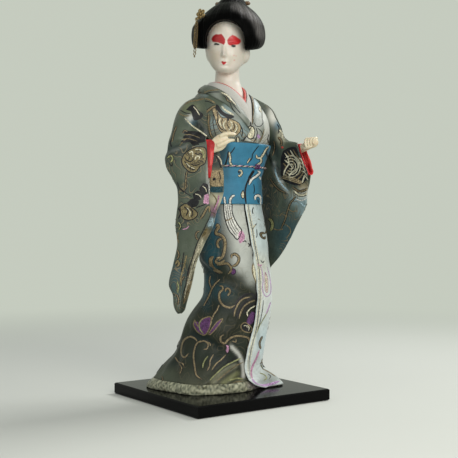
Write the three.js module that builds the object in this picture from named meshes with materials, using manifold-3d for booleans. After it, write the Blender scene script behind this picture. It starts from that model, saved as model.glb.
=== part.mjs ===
// A geisha doll on a square lacquered board, in millimetres.
// The origin is the middle of the board's underside, and +Z is up.
// The doll's body faces -Y, so its right is -X and its left is +X.
// Heights on the doll are measured from the top of the board.
// Angles round the doll are in degrees from the front, positive towards its left.

import * as THREE from 'three';
import { mergeVertices } from 'three/addons/utils/BufferGeometryUtils.js';
import Module from 'manifold-3d';

const wasm = await Module();
wasm.setup();

// Clearances
const gap = 0.35;
const seatGap = 0.3;
const neckClearance = 2.2;

// Board and what fastens the doll to it
const boardSide = 180;
const boardThickness = 13;
const boardBevel = 1.2;
const legDiameter = 9;
const legSpacing = 28;
const legHeight = 150;
const legMiddleX = 9;
const legMiddleY = -2;
const screwHeadDiameter = 8;
const screwHeadHeight = 3;
const screwRecess = 1;
const screwDiameter = 3.6;
const screwBite = 14;

// Outline of the dressed figure: an ellipse that shifts and swells from the hem to the armpits
const figureStations = [
  { height: 0, middleX: -5, middleY: 2, halfWidth: 65, halfDepth: 53 },
  { height: 9, middleX: -5, middleY: 2, halfWidth: 64, halfDepth: 52 },
  { height: 17, middleX: -5.2, middleY: 2.4, halfWidth: 60.5, halfDepth: 50.5 },
  { height: 24, middleX: -5.7, middleY: 3, halfWidth: 57, halfDepth: 49.5 },
  { height: 40, middleX: -1, middleY: 0.5, halfWidth: 53, halfDepth: 46 },
  { height: 67, middleX: 5.9, middleY: -2, halfWidth: 51.5, halfDepth: 41 },
  { height: 90, middleX: 13.8, middleY: -6.4, halfWidth: 46.5, halfDepth: 36 },
  { height: 109, middleX: 18, middleY: -9.2, halfWidth: 41.5, halfDepth: 33 },
  { height: 134, middleX: 17.5, middleY: -9, halfWidth: 40.5, halfDepth: 32.5 },
  { height: 147, middleX: 14, middleY: -6.4, halfWidth: 43, halfDepth: 34.5 },
  { height: 164, middleX: 13.2, middleY: -6, halfWidth: 43, halfDepth: 35 },
  { height: 191, middleX: 10.2, middleY: -5, halfWidth: 42, halfDepth: 33.5 },
  { height: 211, middleX: 8, middleY: -3.6, halfWidth: 41.5, halfDepth: 32 },
  { height: 239, middleX: 8, middleY: -3.6, halfWidth: 40.5, halfDepth: 31 },
  { height: 262, middleX: 8.3, middleY: -4, halfWidth: 46, halfDepth: 33.5 },
  { height: 280, middleX: 8.5, middleY: -5, halfWidth: 52, halfDepth: 37 },
  { height: 300, middleX: 8, middleY: -6, halfWidth: 55, halfDepth: 38.5 },
];

// Corners of the trailing hem, as reach beyond the ellipse at board level
const hemCorners = [
  { angle: 56, reach: 15, spread: 15, fadeHeight: 22 },
  { angle: 25, reach: -5, spread: 13, fadeHeight: 30 },
  { angle: -50, reach: 6, spread: 17, fadeHeight: 36 },
  { angle: -128, reach: 18, spread: 24, fadeHeight: 42 },
  { angle: 135, reach: 9, spread: 26, fadeHeight: 42 },
];

// Creases and ridges of the skirt, each along a line of angles and heights
const skirtFolds = [
  { path: [[-118, 152], [-86, 134], [-57, 127], [-5, 116]], depth: -4.2, width: 7.5 },
  { path: [[-104, 166], [-78, 152], [-50, 146], [-20, 138]], depth: 2.2, width: 12 },
  { path: [[-92, 66], [-52, 57], [-34, 47]], depth: -4, width: 7 },
  { path: [[-110, 84], [-60, 78], [-24, 70]], depth: 2.6, width: 12 },
  { path: [[-17, 48], [-9, 38], [-5, 30]], depth: 4, width: 5 },
  { path: [[-14, 30], [-30, 20], [-44, 10]], depth: 2.6, width: 4 },
  { path: [[-6, 22], [-18, 10], [-24, 3]], depth: 2.4, width: 4 },
  { path: [[-95, 40], [-84, 24], [-76, 8]], depth: -2.4, width: 7 },
];

// Kimono skirt, its overlapping front panel and its padded hem
const liningDepth = 6;
const panelThickness = 1.5;
const panelFirstColumn = 0;
const panelColumns = 6;
const panelHemLift = 3.2;
const panelHemHeight = 20;
const panelHemClearance = 1.5;
const seamTwist = 7;
const seamTwistTop = 205;
const seamTwistBottom = 110;
const waistSeamHeight = 225;
const hemHeight = 11;
const hemBulge = 2;

// Padded body inside the dress
const bodyBottomHeight = 6;
const bodyClearance = 0.9;
const bodyTopHeight = 317;
const shoulderStartHeight = 277;
const shoulderInset = 25;

// Obi, its cord and its tie at the back
const obiBottomHeight = 210.7;
const obiTopHeight = 279.8;
const obiThickness = 3;
const cordHeight = 253.5;
const cordRadius = 1.3;
const knotAngle = 20;
const knotHalfWidth = 4.6;
const knotHalfHeight = 4;
const bowBottomHeight = 222;
const bowTopHeight = 288;
const bowHalfWidth = 36;
const bowHalfDepth = 12;
const bowMiddleY = 43;
const tailBottomHeight = 97;
const tailMiddleX = 18.5;
const tailWidth = 33;
const tailThickness = 3;

// Neck, and the collars that cross in front of it
const neckX = 6;
const neckY = -6.5;
const neckRadius = 13.4;
const neckBottomHeight = 320;
const neckPostDiameter = 8;
const neckPostBottomHeight = 292;
const neckPostTopHeight = 345;
const collarFall = 40;
const collarSpread = 30;
const outerCollar = { napeReach: 22.5, napeHeight: 351, frontReach: 37.5, frontHeight: 299, frontAngle: 12 };
const whiteCollar = { napeReach: 19.4, napeHeight: 352.5, frontReach: 28, frontHeight: 325, frontAngle: 15 };
const redCollar = { napeReach: 17, napeHeight: 352.5, frontReach: 25, frontHeight: 329, frontAngle: 15 };
const outerCollarWidth = 17;
const outerCollarNapeWidth = 12;
const outerCollarThickness = 2.4;
const outerCollarLip = 3;
const innerCollarThickness = 1.3;
const redCollarTuck = 3;
const collarTailStart = 0.1;
const collarTailEnd = 0.8;
const collarTailLow = { innerAngle: -10, outerAngle: 21 };
const collarTailHigh = { innerAngle: 10, outerAngle: 36 };

// Bodice
const bodiceWall = 5.6;
const necklineWall = 1.6;
const bodiceCurveStart = 280.4;
const shoulderLift = 0.3;
const shoulderSwell = 1.15;

// Sleeves: each hangs in a plane of its own, with its stations given along and across that plane
const rightSleeve = {
  side: -1,
  heading: 35.4,
  originX: 0,
  originY: 0,
  stations: [
    { height: 88.5, rear: -46.5, fold: -44, front: -42, across: 50, thickness: 4 },
    { height: 92, rear: -49, fold: -43.5, front: -38.5, across: 50, thickness: 8 },
    { height: 99, rear: -51, fold: -42, front: -36.5, across: 50.5, thickness: 9.5 },
    { height: 108, rear: -51.5, fold: -40, front: -34, across: 51, thickness: 10.5 },
    { height: 121, rear: -56, fold: -36.5, front: -30.5, across: 52, thickness: 11.5 },
    { height: 144, rear: -51, fold: -31, front: -25.5, across: 52.5, thickness: 12 },
    { height: 168, rear: -46.5, fold: -23, front: -15.5, across: 53.5, thickness: 13 },
    { height: 186, rear: -48.5, fold: -14, front: -6.5, across: 54.5, thickness: 14 },
    { height: 201, rear: -47, fold: -9, front: -3, across: 56, thickness: 15 },
    { height: 213, rear: -45.5, fold: -11, front: 2, across: 57, thickness: 15.5 },
    { height: 225, rear: -46, fold: -11.5, front: 5, across: 57.5, thickness: 16 },
    { height: 238, rear: -51.5, fold: -12, front: 5, across: 58, thickness: 16.5 },
    { height: 251, rear: -58.5, fold: -12.5, front: 4, across: 58, thickness: 17 },
    { height: 260, rear: -59.8, fold: -12.7, front: 2, across: 58, thickness: 18 },
    { height: 268, rear: -57.5, fold: -13, front: 0, across: 57.5, thickness: 19 },
    { height: 278, rear: -56, fold: -14, front: -9, across: 56, thickness: 21 },
    { height: 290, rear: -53, fold: -22, front: -12, across: 50, thickness: 24 },
    { height: 303, rear: -50.5, fold: -26, front: -13, across: 44, thickness: 26 },
    { height: 316, rear: -46, fold: -24, front: -12, across: 37, thickness: 23 },
    { height: 325, rear: -39, fold: -22, front: -12, across: 32, thickness: 18 },
    { height: 331, rear: -29, fold: -20, front: -12, across: 29, thickness: 10 },
  ],
};
const leftSleeve = {
  side: 1,
  heading: 87,
  originX: 66,
  originY: 0,
  stations: [
    { height: 108, rear: -13, fold: -11, front: -8, across: 0, thickness: 4 },
    { height: 115, rear: -16, fold: -10, front: -5, across: 0, thickness: 6 },
    { height: 127, rear: -17, fold: -4, front: 3, across: 0, thickness: 7.5 },
    { height: 139, rear: -18, fold: 9, front: 15.5, across: 0, thickness: 8.5 },
    { height: 151, rear: -18.5, fold: 23, front: 30, across: 0, thickness: 9.5 },
    { height: 169, rear: -19, fold: 38, front: 45.5, across: 0.5, thickness: 10.5 },
    { height: 188, rear: -19, fold: 51, front: 59, across: 1, thickness: 11.5 },
    { height: 204, rear: -19.5, fold: 63, front: 71, across: 1, thickness: 12.5 },
    { height: 212, rear: -20, fold: 67, front: 75, across: 1, thickness: 13 },
    { height: 224, rear: -21, fold: 67, front: 75.5, across: 1.5, thickness: 14 },
    { height: 237, rear: -22, fold: 70, front: 78, across: 2, thickness: 15.5 },
    { height: 245, rear: -23, fold: 71, front: 78.5, across: 2, thickness: 17 },
    { height: 257, rear: -24, fold: 67, front: 74, across: 2, thickness: 18 },
    { height: 272, rear: -24, fold: 59, front: 66, across: 2, thickness: 18 },
    { height: 282, rear: -23, fold: 50, front: 60, across: 1.5, thickness: 18 },
    { height: 286, rear: -21, fold: 30, front: 42, across: 1, thickness: 21 },
    { height: 293, rear: -20, fold: 20, front: 33, across: 0.8, thickness: 24 },
    { height: 303, rear: -18, fold: 18, front: 29, across: 0.4, thickness: 27 },
    { height: 314, rear: -14, fold: 15, front: 24, across: -2.5, thickness: 28 },
    { height: 323, rear: -9, fold: 13, front: 21, across: -6, thickness: 27 },
    { height: 329, rear: -5, fold: 10, front: 17, across: -11, thickness: 26 },
    { height: 334, rear: -1, fold: 8, front: 13, across: -19, thickness: 18 },
    { height: 337, rear: 1, fold: 7, front: 11, across: -25, thickness: 9 },
  ],
};

// Red cuff linings, in the same planes as their sleeves
const cuffWall = 1;
const handRoom = 3.5;
const rightCuff = {
  height: 263, halfHeight: 20.3, halfThickness: 7, across: 58, inner: -34, top: -6.8, bottom: -9.5,
};
const leftCuff = {
  height: 263, halfHeight: 19.5, halfThickness: 7, across: 2, inner: 36, top: 62, bottom: 79,
};

// Arms and hands: a wire's points are along and across its sleeve, with heights from its shoulder or cuff
const wireRadius = 1.6;
const shoulderWireHeight = 304;
const rightArm = {
  fromShoulder: [[-26, 24, 2], [-38, 38, -4]],
  fromCuff: [[-48, 53, 19], [-44, 58, 7], [-30, 58.5, 8], [-14, 59, 9]],
};
const leftArm = {
  fromShoulder: [[2, -38, 0], [5, -18, -4]],
  fromCuff: [[4, -1, 22], [14, 2, 10], [34, 2.5, 9], [58, 3, 13]],
};
const rightHandPlace = { along: -20, across: 58, rise: 7, turn: 0, tilt: 6 };
const leftHandPlace = { along: 52, across: 3, rise: 11, turn: 4, tilt: 5 };
const wristHalfHeight = 6.2;
const wristHalfThickness = 4.2;

// Head, in its own frame on the neck: it faces -Y and is turned to the doll's right
const headTurn = 42.4;
const skullStations = [
  { height: 360, middleY: -16, halfWidth: 5, halfDepth: 5 },
  { height: 363, middleY: -14.5, halfWidth: 10.5, halfDepth: 11.5 },
  { height: 368, middleY: -11.5, halfWidth: 15.5, halfDepth: 17 },
  { height: 375, middleY: -8, halfWidth: 20, halfDepth: 21.5 },
  { height: 383, middleY: -4.5, halfWidth: 23.8, halfDepth: 25.5 },
  { height: 391, middleY: -2, halfWidth: 25.4, halfDepth: 28 },
  { height: 400, middleY: 0, halfWidth: 25.8, halfDepth: 30 },
  { height: 413, middleY: 0.5, halfWidth: 25.2, halfDepth: 29.5 },
  { height: 424, middleY: 1, halfWidth: 22.5, halfDepth: 26 },
  { height: 432, middleY: 1.5, halfWidth: 17, halfDepth: 20 },
  { height: 437, middleY: 2, halfWidth: 10, halfDepth: 12 },
  { height: 439, middleY: 2, halfWidth: 4, halfDepth: 5 },
];
const noseTipHeight = 378.5;
const noseBridgeHeight = 396;
const noseReach = 4.2;
const noseHalfWidth = 3;
const mouthHeight = 370.5;
const mouthReach = 1.3;
const mouthHalfWidth = 4;
const eyeSpacing = 18.6;
const eyeHeight = 391;
const eyeForward = 27.2;
const eyeHalfWidth = 3;
const eyeHalfHeight = 1.4;
const eyeHalfDepth = 1.8;

// Hair: one set shape, parted into its front roll, two wings and the back
const hairStations = [
  { height: 388, middleX: 0, middleY: 4, halfWidth: 31, halfDepth: 31 },
  { height: 390, middleX: 0, middleY: 3.5, halfWidth: 36.5, halfDepth: 36.5 },
  { height: 395, middleX: 0.6, middleY: 3, halfWidth: 41.5, halfDepth: 41 },
  { height: 405, middleX: 1.2, middleY: 2, halfWidth: 43.2, halfDepth: 43 },
  { height: 415, middleX: 1.2, middleY: 2, halfWidth: 42.4, halfDepth: 43 },
  { height: 423, middleX: 2.4, middleY: 2, halfWidth: 39, halfDepth: 41 },
  { height: 429, middleX: 3.4, middleY: 2.5, halfWidth: 35.5, halfDepth: 38 },
  { height: 434, middleX: 3.6, middleY: 3, halfWidth: 31, halfDepth: 33 },
  { height: 439, middleX: 3.8, middleY: 4, halfWidth: 25.5, halfDepth: 27 },
  { height: 443.5, middleX: 4.2, middleY: 6, halfWidth: 18, halfDepth: 19 },
  { height: 446, middleX: 4.4, middleY: 7, halfWidth: 9, halfDepth: 9.5 },
];
const hairHemSlope = 0.25;
const hairHemFrontY = -22;
const hairHemFadeHeight = 30;
const hairParting = 0.6;
const faceOpeningHalfWidth = 21.6;
const faceOpeningTopHeight = 417;
const faceOpeningSpringHeight = 397;
const frontRollLowHeight = 411;
const frontRollBackY = -4;
const wingBackY = -13;
const belowHair = 380;
const aboveHair = 470;
const belowFace = 350;
const faceOpeningBackY = -10;
const faceOpeningDepth = 60;
const topknot = { x: 5, y: 15, rise: 0.5, halfWidth: 15, halfDepth: 17.5, halfHeight: 9 };

// Ornaments
const stickLength = 42;
const stickRadius = 1.9;
const stickEndRadius = 3;
const stickRise = 2;
const stickMiddleX = 4.6;
const ornamentAngle = -45;
const flowerTurn = 19.5;
const flowerReach = 38;
const flowerHeight = 427;
const flowerRadius = 5.6;
const flowerThickness = 3.2;
const petalCount = 5;
const pinRadius = 1;
const pinLength = 13;
const hangerReach = 44;
const hangerHeight = 420;
const hangerRadius = 0.9;
const hangerArmWidth = 1.8;
const ringThickness = 1.2;
const ringBand = 0.9;
const hangerSide = ringThickness / 2 + gap;
const beadCount = 9;
const beadPitch = 3.9;
const beadRadius = 2.3;
const beadCordRadius = 0.9;
const dropLength = 5;

// How finely round shapes are divided
const figureSides = 28;
const sleeveSides = 16;
const headSides = 24;
const smallSides = 8;

// Finishes
const lacquer = { color: 0x0b0b0d, roughness: 0.12, metalness: 0 };
const steel = { color: 0x9a9a9a, roughness: 0.4, metalness: 1 };
const wood = { color: 0xb08a5a, roughness: 0.7, metalness: 0 };
const straw = { color: 0xc9b27a, roughness: 0.95, metalness: 0 };
const brocade = { color: 0x74836f, roughness: 0.7, metalness: 0.1 };
const paleBrocade = { color: 0x9fb2ac, roughness: 0.7, metalness: 0.1 };
const obiCloth = { color: 0x3a80a8, roughness: 0.75, metalness: 0 };
const tealCloth = { color: 0x24505c, roughness: 0.75, metalness: 0 };
const cordCloth = { color: 0x9c8fb0, roughness: 0.8, metalness: 0 };
const redSatin = { color: 0xb01218, roughness: 0.45, metalness: 0 };
const coral = { color: 0xd9594c, roughness: 0.7, metalness: 0 };
const whiteCloth = { color: 0xece9e2, roughness: 0.85, metalness: 0 };
const shellWhite = { color: 0xe4e1da, roughness: 0.45, metalness: 0 };
const ivory = { color: 0xe6d8ad, roughness: 0.5, metalness: 0 };
const blackHair = { color: 0x0c0c0d, roughness: 0.35, metalness: 0 };
const gold = { color: 0xa88b4a, roughness: 0.4, metalness: 0.9 };
const tortoise = { color: 0x5a3a1c, roughness: 0.3, metalness: 0 };

// Meshes and solids

const upward = new THREE.Vector3(0, 0, 1);

function vector(x, y, z) {
  return new THREE.Vector3(x, y, z);
}

function radians(angle) {
  return THREE.MathUtils.degToRad(angle);
}

function meshFrom(positions, triangles) {
  const geometry = new THREE.BufferGeometry();
  geometry.setAttribute('position', new THREE.Float32BufferAttribute(positions, 3));
  geometry.setIndex(triangles);
  return geometry;
}

function signedVolume(points, triangles) {
  let sum = 0;
  for (let i = 0; i < triangles.length; i += 3) {
    const a = points[triangles[i]];
    const b = points[triangles[i + 1]];
    const c = points[triangles[i + 2]];
    sum += a.dot(b.clone().cross(c));
  }
  return sum / 6;
}

// Closes a list of points and triangles into a geometry whose faces point outward
function closedGeometry(points, triangles) {
  const outward = [...triangles];
  if (signedVolume(points, triangles) < 0) outward.reverse();
  return meshFrom(points.flatMap((point) => point.toArray()), outward);
}

function bandTriangles(first, second, sides) {
  const triangles = [];
  for (let j = 0; j < sides; j += 1) {
    const next = (j + 1) % sides;
    triangles.push(first + j, first + next, second + next);
    triangles.push(first + j, second + next, second + j);
  }
  return triangles;
}

function middleOf(ring) {
  return ring.reduce((sum, point) => sum.add(point), vector(0, 0, 0)).divideScalar(ring.length);
}

// Skins a row of rings and closes both ends
function loft(rings) {
  const sides = rings[0].length;
  const points = rings.flat();
  const triangles = [];
  for (let i = 0; i + 1 < rings.length; i += 1) {
    triangles.push(...bandTriangles(i * sides, (i + 1) * sides, sides));
  }
  const bottom = points.length;
  const last = (rings.length - 1) * sides;
  points.push(middleOf(rings[0]), middleOf(rings.at(-1)));
  for (let j = 0; j < sides; j += 1) {
    const next = (j + 1) % sides;
    triangles.push(bottom, next, j);
    triangles.push(bottom + 1, last + j, last + next);
  }
  return closedGeometry(points, triangles);
}

// Skins a row of rings and joins the last to the first, as round a hoop or a thick shell
function hoop(rings) {
  const sides = rings[0].length;
  const triangles = [];
  for (let i = 0; i < rings.length; i += 1) {
    const next = (i + 1) % rings.length;
    triangles.push(...bandTriangles(i * sides, next * sides, sides));
  }
  return closedGeometry(rings.flat(), triangles);
}

// A sheet with thickness: two faces given over a unit square, and the four edges between them
function sheet(across, along, outerFace, innerFace) {
  const points = [];
  for (const face of [outerFace, innerFace]) {
    for (let i = 0; i <= along; i += 1) {
      for (let j = 0; j <= across; j += 1) points.push(face(j / across, i / along));
    }
  }
  const row = across + 1;
  const inner = row * (along + 1);
  const triangles = [];
  for (let i = 0; i < along; i += 1) {
    for (let j = 0; j < across; j += 1) {
      const at = i * row + j;
      triangles.push(at, at + 1, at + row + 1, at, at + row + 1, at + row);
      triangles.push(inner + at, inner + at + row + 1, inner + at + 1);
      triangles.push(inner + at, inner + at + row, inner + at + row + 1);
    }
  }
  const rim = [];
  for (let j = 0; j < across; j += 1) rim.push(j);
  for (let i = 0; i < along; i += 1) rim.push(i * row + across);
  for (let j = across; j > 0; j -= 1) rim.push(along * row + j);
  for (let i = along; i > 0; i -= 1) rim.push(i * row);
  rim.forEach((at, index) => {
    const next = rim[(index + 1) % rim.length];
    triangles.push(next, at, inner + at, next, inner + at, inner + next);
  });
  return closedGeometry(points, triangles);
}

function toSolid(geometry) {
  const bare = geometry.clone();
  bare.deleteAttribute('normal');
  bare.deleteAttribute('uv');
  const merged = mergeVertices(bare, 1e-4);
  const vertProperties = new Float32Array(merged.attributes.position.array);
  const triVerts = new Uint32Array(merged.index.array);
  return new wasm.Manifold(new wasm.Mesh({ numProp: 3, vertProperties, triVerts }));
}

function toGeometry(solid) {
  const mesh = solid.getMesh();
  return meshFrom([...mesh.vertProperties], [...mesh.triVerts]);
}

function cut(geometry, ...tools) {
  return toGeometry(tools.reduce((solid, tool) => solid.subtract(toSolid(tool)), toSolid(geometry)));
}

function join(...parts) {
  return toGeometry(parts.slice(1).reduce((solid, part) => solid.add(toSolid(part)), toSolid(parts[0])));
}

function common(first, second) {
  return toGeometry(toSolid(first).intersect(toSolid(second)));
}

// Curves and sections

// A smooth curve through stations, one for each measure, that never overshoots them
function measuresOf(stations) {
  const heights = stations.map((station) => station.height);
  const slopes = {};
  for (const name of Object.keys(stations[0])) {
    const values = stations.map((station) => station[name]);
    const steps = heights.slice(1).map((height, i) => (values[i + 1] - values[i]) / (height - heights[i]));
    slopes[name] = values.map((value, i) => {
      if (i === 0) return steps[0];
      if (i === values.length - 1) return steps.at(-1);
      if (steps[i - 1] * steps[i] <= 0) return 0;
      return (2 * steps[i - 1] * steps[i]) / (steps[i - 1] + steps[i]);
    });
  }
  return (height) => {
    const held = THREE.MathUtils.clamp(height, heights[0], heights.at(-1));
    let i = 0;
    while (i < heights.length - 2 && held > heights[i + 1]) i += 1;
    const span = heights[i + 1] - heights[i];
    const t = (held - heights[i]) / span;
    const measures = {};
    for (const name of Object.keys(stations[0])) {
      const from = stations[i][name];
      const to = stations[i + 1][name];
      measures[name] =
        from * (2 * t ** 3 - 3 * t ** 2 + 1) +
        slopes[name][i] * span * (t ** 3 - 2 * t ** 2 + t) +
        to * (3 * t ** 2 - 2 * t ** 3) +
        slopes[name][i + 1] * span * (t ** 3 - t ** 2);
    }
    return measures;
  };
}

function range(count, map) {
  return Array.from({ length: count }, (unused, i) => map(i));
}

function evenly(from, to, count) {
  return range(count, (i) => from + ((to - from) * i) / (count - 1));
}

function angleApart(a, b) {
  return ((((a - b + 180) % 360) + 360) % 360) - 180;
}

function around(sides, pointAt) {
  return range(sides, (j) => pointAt((360 * j) / sides));
}

function hill(distance, spread) {
  return Math.exp(-((distance / spread) ** 2));
}

function ellipsoid(middle, halfWidth, halfDepth, halfHeight, sides) {
  const ball = new THREE.SphereGeometry(1, sides, Math.round(sides * 0.6));
  ball.rotateX(Math.PI / 2);
  ball.scale(halfWidth, halfDepth, halfHeight);
  ball.translate(middle.x, middle.y, middle.z);
  return ball;
}

function post(diameter, x, y, bottom, top, sides) {
  const rod = new THREE.CylinderGeometry(diameter / 2, diameter / 2, top - bottom, sides);
  rod.rotateX(Math.PI / 2);
  rod.translate(x, y, (bottom + top) / 2);
  return rod;
}

// A tube of round section along a smooth path
function tube(points, radius, steps, sides) {
  const section = new THREE.Shape(around(sides, (angle) =>
    new THREE.Vector2(radius * Math.cos(radians(angle)), radius * Math.sin(radians(angle)))));
  return new THREE.ExtrudeGeometry(section, {
    steps,
    bevelEnabled: false,
    extrudePath: new THREE.CatmullRomCurve3(points),
  });
}

// A rounded limb through stations of place, half height and half thickness
function limb(stations, sides) {
  const places = stations.map((station) => vector(...station.at));
  const rings = stations.map((station, i) => {
    const before = places[Math.max(i - 1, 0)];
    const after = places[Math.min(i + 1, places.length - 1)];
    const along = after.clone().sub(before).normalize();
    const sideways = upward.clone().cross(along).normalize();
    const up = along.clone().cross(sideways);
    return around(sides, (angle) => places[i].clone()
      .addScaledVector(sideways, station.halfThickness * Math.cos(radians(angle)))
      .addScaledVector(up, station.halfHeight * Math.sin(radians(angle))));
  });
  return loft(rings);
}

// The dressed figure

const figure = measuresOf(figureStations);

function hemReach(angle, height) {
  return hemCorners.reduce((sum, corner) => {
    const level = THREE.MathUtils.clamp(1 - height / corner.fadeHeight, 0, 1);
    return sum + corner.reach * level ** 1.3 * hill(angleApart(angle, corner.angle), corner.spread);
  }, 0);
}

// A point on the smooth outline of the figure, moved outward by a distance
function figurePoint(angle, height, outward) {
  const { middleX, middleY, halfWidth, halfDepth } = figure(height);
  const reach = outward + hemReach(angle, height);
  const turn = radians(angle);
  return vector(
    middleX + (halfWidth + reach) * Math.sin(turn),
    middleY - (halfDepth + reach) * Math.cos(turn),
    height,
  );
}

function distanceToPath(angle, height, path) {
  const girth = figure(height).halfWidth;
  const flat = ([a, h]) => new THREE.Vector2(radians(angleApart(a, angle)) * girth, h - height);
  let nearest = Infinity;
  for (let i = 0; i + 1 < path.length; i += 1) {
    const from = flat(path[i]);
    const step = flat(path[i + 1]).sub(from);
    const t = THREE.MathUtils.clamp(-from.dot(step) / step.lengthSq(), 0, 1);
    nearest = Math.min(nearest, from.addScaledVector(step, t).length());
  }
  return nearest;
}

function foldDepth(angle, height) {
  return skirtFolds.reduce((sum, fold) =>
    sum + fold.depth * hill(distanceToPath(angle, height, fold.path), fold.width), 0);
}

// The skirt's columns drift round the figure, as the front panel's edge does
function skirtPoint(column, height, outward) {
  const angle = column + seamTwist * (1 - THREE.MathUtils.smoothstep(height, seamTwistBottom, seamTwistTop));
  return figurePoint(angle, height, outward + foldDepth(angle, height));
}

// The heights at which every layer of the figure has a ring, between two given ones
function levelsBetween(low, high) {
  const joints = [hemHeight + gap, waistSeamHeight, cordHeight, bodiceCurveStart];
  const inside = [...figureStations.map((station) => station.height), ...joints]
    .filter((height) => height > low + 1 && height < high - 1);
  return [low, ...inside.sort((a, b) => a - b), high];
}

function figureRing(height, outward) {
  return around(figureSides, (angle) => figurePoint(angle, height, outward));
}

function figureSolid(heights, outward) {
  return loft(heights.map((height) => figureRing(height, outward)));
}

// Board

function bevelledPlate(side, thickness, bevel) {
  const corners = [];
  const half = side / 2;
  for (const [x, y] of [[-1, -1], [1, -1], [1, 1], [-1, 1]]) {
    corners.push(new THREE.Vector2(x * (half - bevel), y * (half - bevel)));
  }
  const plate = new THREE.ExtrudeGeometry(new THREE.Shape(corners), {
    depth: thickness - 2 * bevel,
    bevelThickness: bevel,
    bevelSize: bevel,
    bevelSegments: 1,
    steps: 1,
  });
  plate.translate(0, 0, bevel);
  return plate;
}

const legPlaces = [legMiddleX - legSpacing / 2, legMiddleX + legSpacing / 2];

function baseBoard() {
  const recesses = legPlaces.flatMap((x) => [
    post(screwHeadDiameter + 2 * gap, x, legMiddleY, -1, screwRecess + screwHeadHeight + gap, 24),
    post(screwDiameter + 2 * gap, x, legMiddleY, 0, boardThickness + 1, 16),
  ]);
  return cut(bevelledPlate(boardSide, boardThickness, boardBevel), ...recesses);
}

function baseScrew(x) {
  const headTop = screwRecess + screwHeadHeight;
  const head = post(screwHeadDiameter, x, legMiddleY, screwRecess, headTop, 20);
  const shank = post(screwDiameter, x, legMiddleY, headTop - 0.5, boardThickness + screwBite, 12);
  const slotWidth = screwHeadDiameter * 0.15;
  const slot = new THREE.BoxGeometry(screwHeadDiameter * 1.2, slotWidth, screwHeadHeight * 0.8);
  slot.translate(x, legMiddleY, screwRecess);
  return cut(join(head, shank), slot);
}

// Inside the dress

function legPost(x) {
  const bore = post(screwDiameter + 2 * gap, x, legMiddleY, seatGap - 1, screwBite + seatGap + 1, 12);
  return cut(post(legDiameter, x, legMiddleY, seatGap, legHeight, 16), bore);
}

function armWire(shape, cuff, arm, outward) {
  const placed = (points, level) => points.map(([along, across, rise]) =>
    sleevePoint(shape, along, across, level + rise));
  const path = [...placed(arm.fromShoulder, shoulderWireHeight), ...placed(arm.fromCuff, cuff.height)];
  return tube(path, wireRadius + outward, 16, 6);
}

function rightWire(outward) {
  return armWire(rightSleeve, rightCuff, rightArm, outward);
}

function leftWire(outward) {
  return armWire(leftSleeve, leftCuff, leftArm, outward);
}

function neckPost() {
  return post(neckPostDiameter, neckX, neckY, neckPostBottomHeight, neckPostTopHeight, 16);
}

function bodyCore() {
  const inset = -(liningDepth + bodyClearance);
  const levels = levelsBetween(bodyBottomHeight, shoulderStartHeight);
  const rings = levels.map((height) => figureRing(height, inset));
  for (const t of [0.35, 0.65, 0.88, 1]) {
    const height = THREE.MathUtils.lerp(shoulderStartHeight, bodyTopHeight, t);
    rings.push(figureRing(height, inset - shoulderInset * t ** 1.4));
  }
  const slimmed = rings.map((ring) => ring.filter((unused, j) => j % 2 === 0));
  const legs = legPlaces.map((x) => post(legDiameter + 2 * gap, x, legMiddleY, 0, legHeight + gap, 16));
  const socketDiameter = neckPostDiameter + 2 * gap;
  const neckSocket = post(socketDiameter, neckX, neckY, neckPostBottomHeight - gap, bodyTopHeight + 9, 16);
  return cut(
    loft(slimmed),
    ...legs,
    neckSocket,
    rightWire(gap),
    leftWire(gap),
  );
}

// Skirt

// The heights of the skirt's rings above its padded hem
const skirtLevels = [hemHeight + gap, ...evenly(hemHeight + 7, obiBottomHeight - gap, 14)];

function kimonoSkirt() {
  const waist = waistSeamHeight - gap / 2;
  const inner = levelsBetween(hemHeight + gap, waist).reverse();
  return hoop([
    ...skirtLevels.map((height) => around(figureSides, (angle) => skirtPoint(angle, height, 0))),
    ...levelsBetween(obiBottomHeight, waist).map((height) => figureRing(height, 0)),
    ...inner.map((height) => figureRing(height, -liningDepth)),
  ]);
}

function hemRoll() {
  const profile = [
    [hemBulge - 1.5, seatGap], [hemBulge, hemHeight * 0.3],
    [hemBulge - 0.4, hemHeight * 0.7], [0, hemHeight],
  ];
  const outerRing = ([outward, height]) => around(figureSides, (angle) => skirtPoint(angle, height, outward));
  return hoop([
    ...profile.map(outerRing),
    ...levelsBetween(seatGap, hemHeight).reverse().map((height) => figureRing(height, -liningDepth)),
  ]);
}

// The panel's rows and columns lie on the skirt's own, so the two stay a gap apart
function frontPanel() {
  const levels = [seatGap + panelHemClearance, hemHeight * 0.5, ...skirtLevels];
  const face = (outward) => (across, along) => {
    const height = levels[Math.round(along * (levels.length - 1))];
    const lift = panelHemLift * THREE.MathUtils.smoothstep(panelHemHeight - height, 0, hemHeight);
    const angle = (360 / figureSides) * (panelFirstColumn + Math.round(across * panelColumns));
    return skirtPoint(angle, height, gap + lift + outward);
  };
  return sheet(panelColumns, levels.length - 1, face(panelThickness), face(0));
}

// Obi

function obiBand() {
  const heights = levelsBetween(obiBottomHeight, obiTopHeight);
  const band = hoop([
    ...heights.map((height) => figureRing(height, gap + obiThickness)),
    ...heights.reverse().map((height) => figureRing(height, gap)),
  ]);
  return cut(band, rightWire(gap), leftWire(gap));
}

function obiSpace() {
  return figureSolid(levelsBetween(obiBottomHeight - gap, obiTopHeight + gap), 2 * gap + obiThickness);
}

function cordMiddle(angle) {
  return figurePoint(angle, cordHeight, gap + obiThickness + gap + cordRadius);
}

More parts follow.
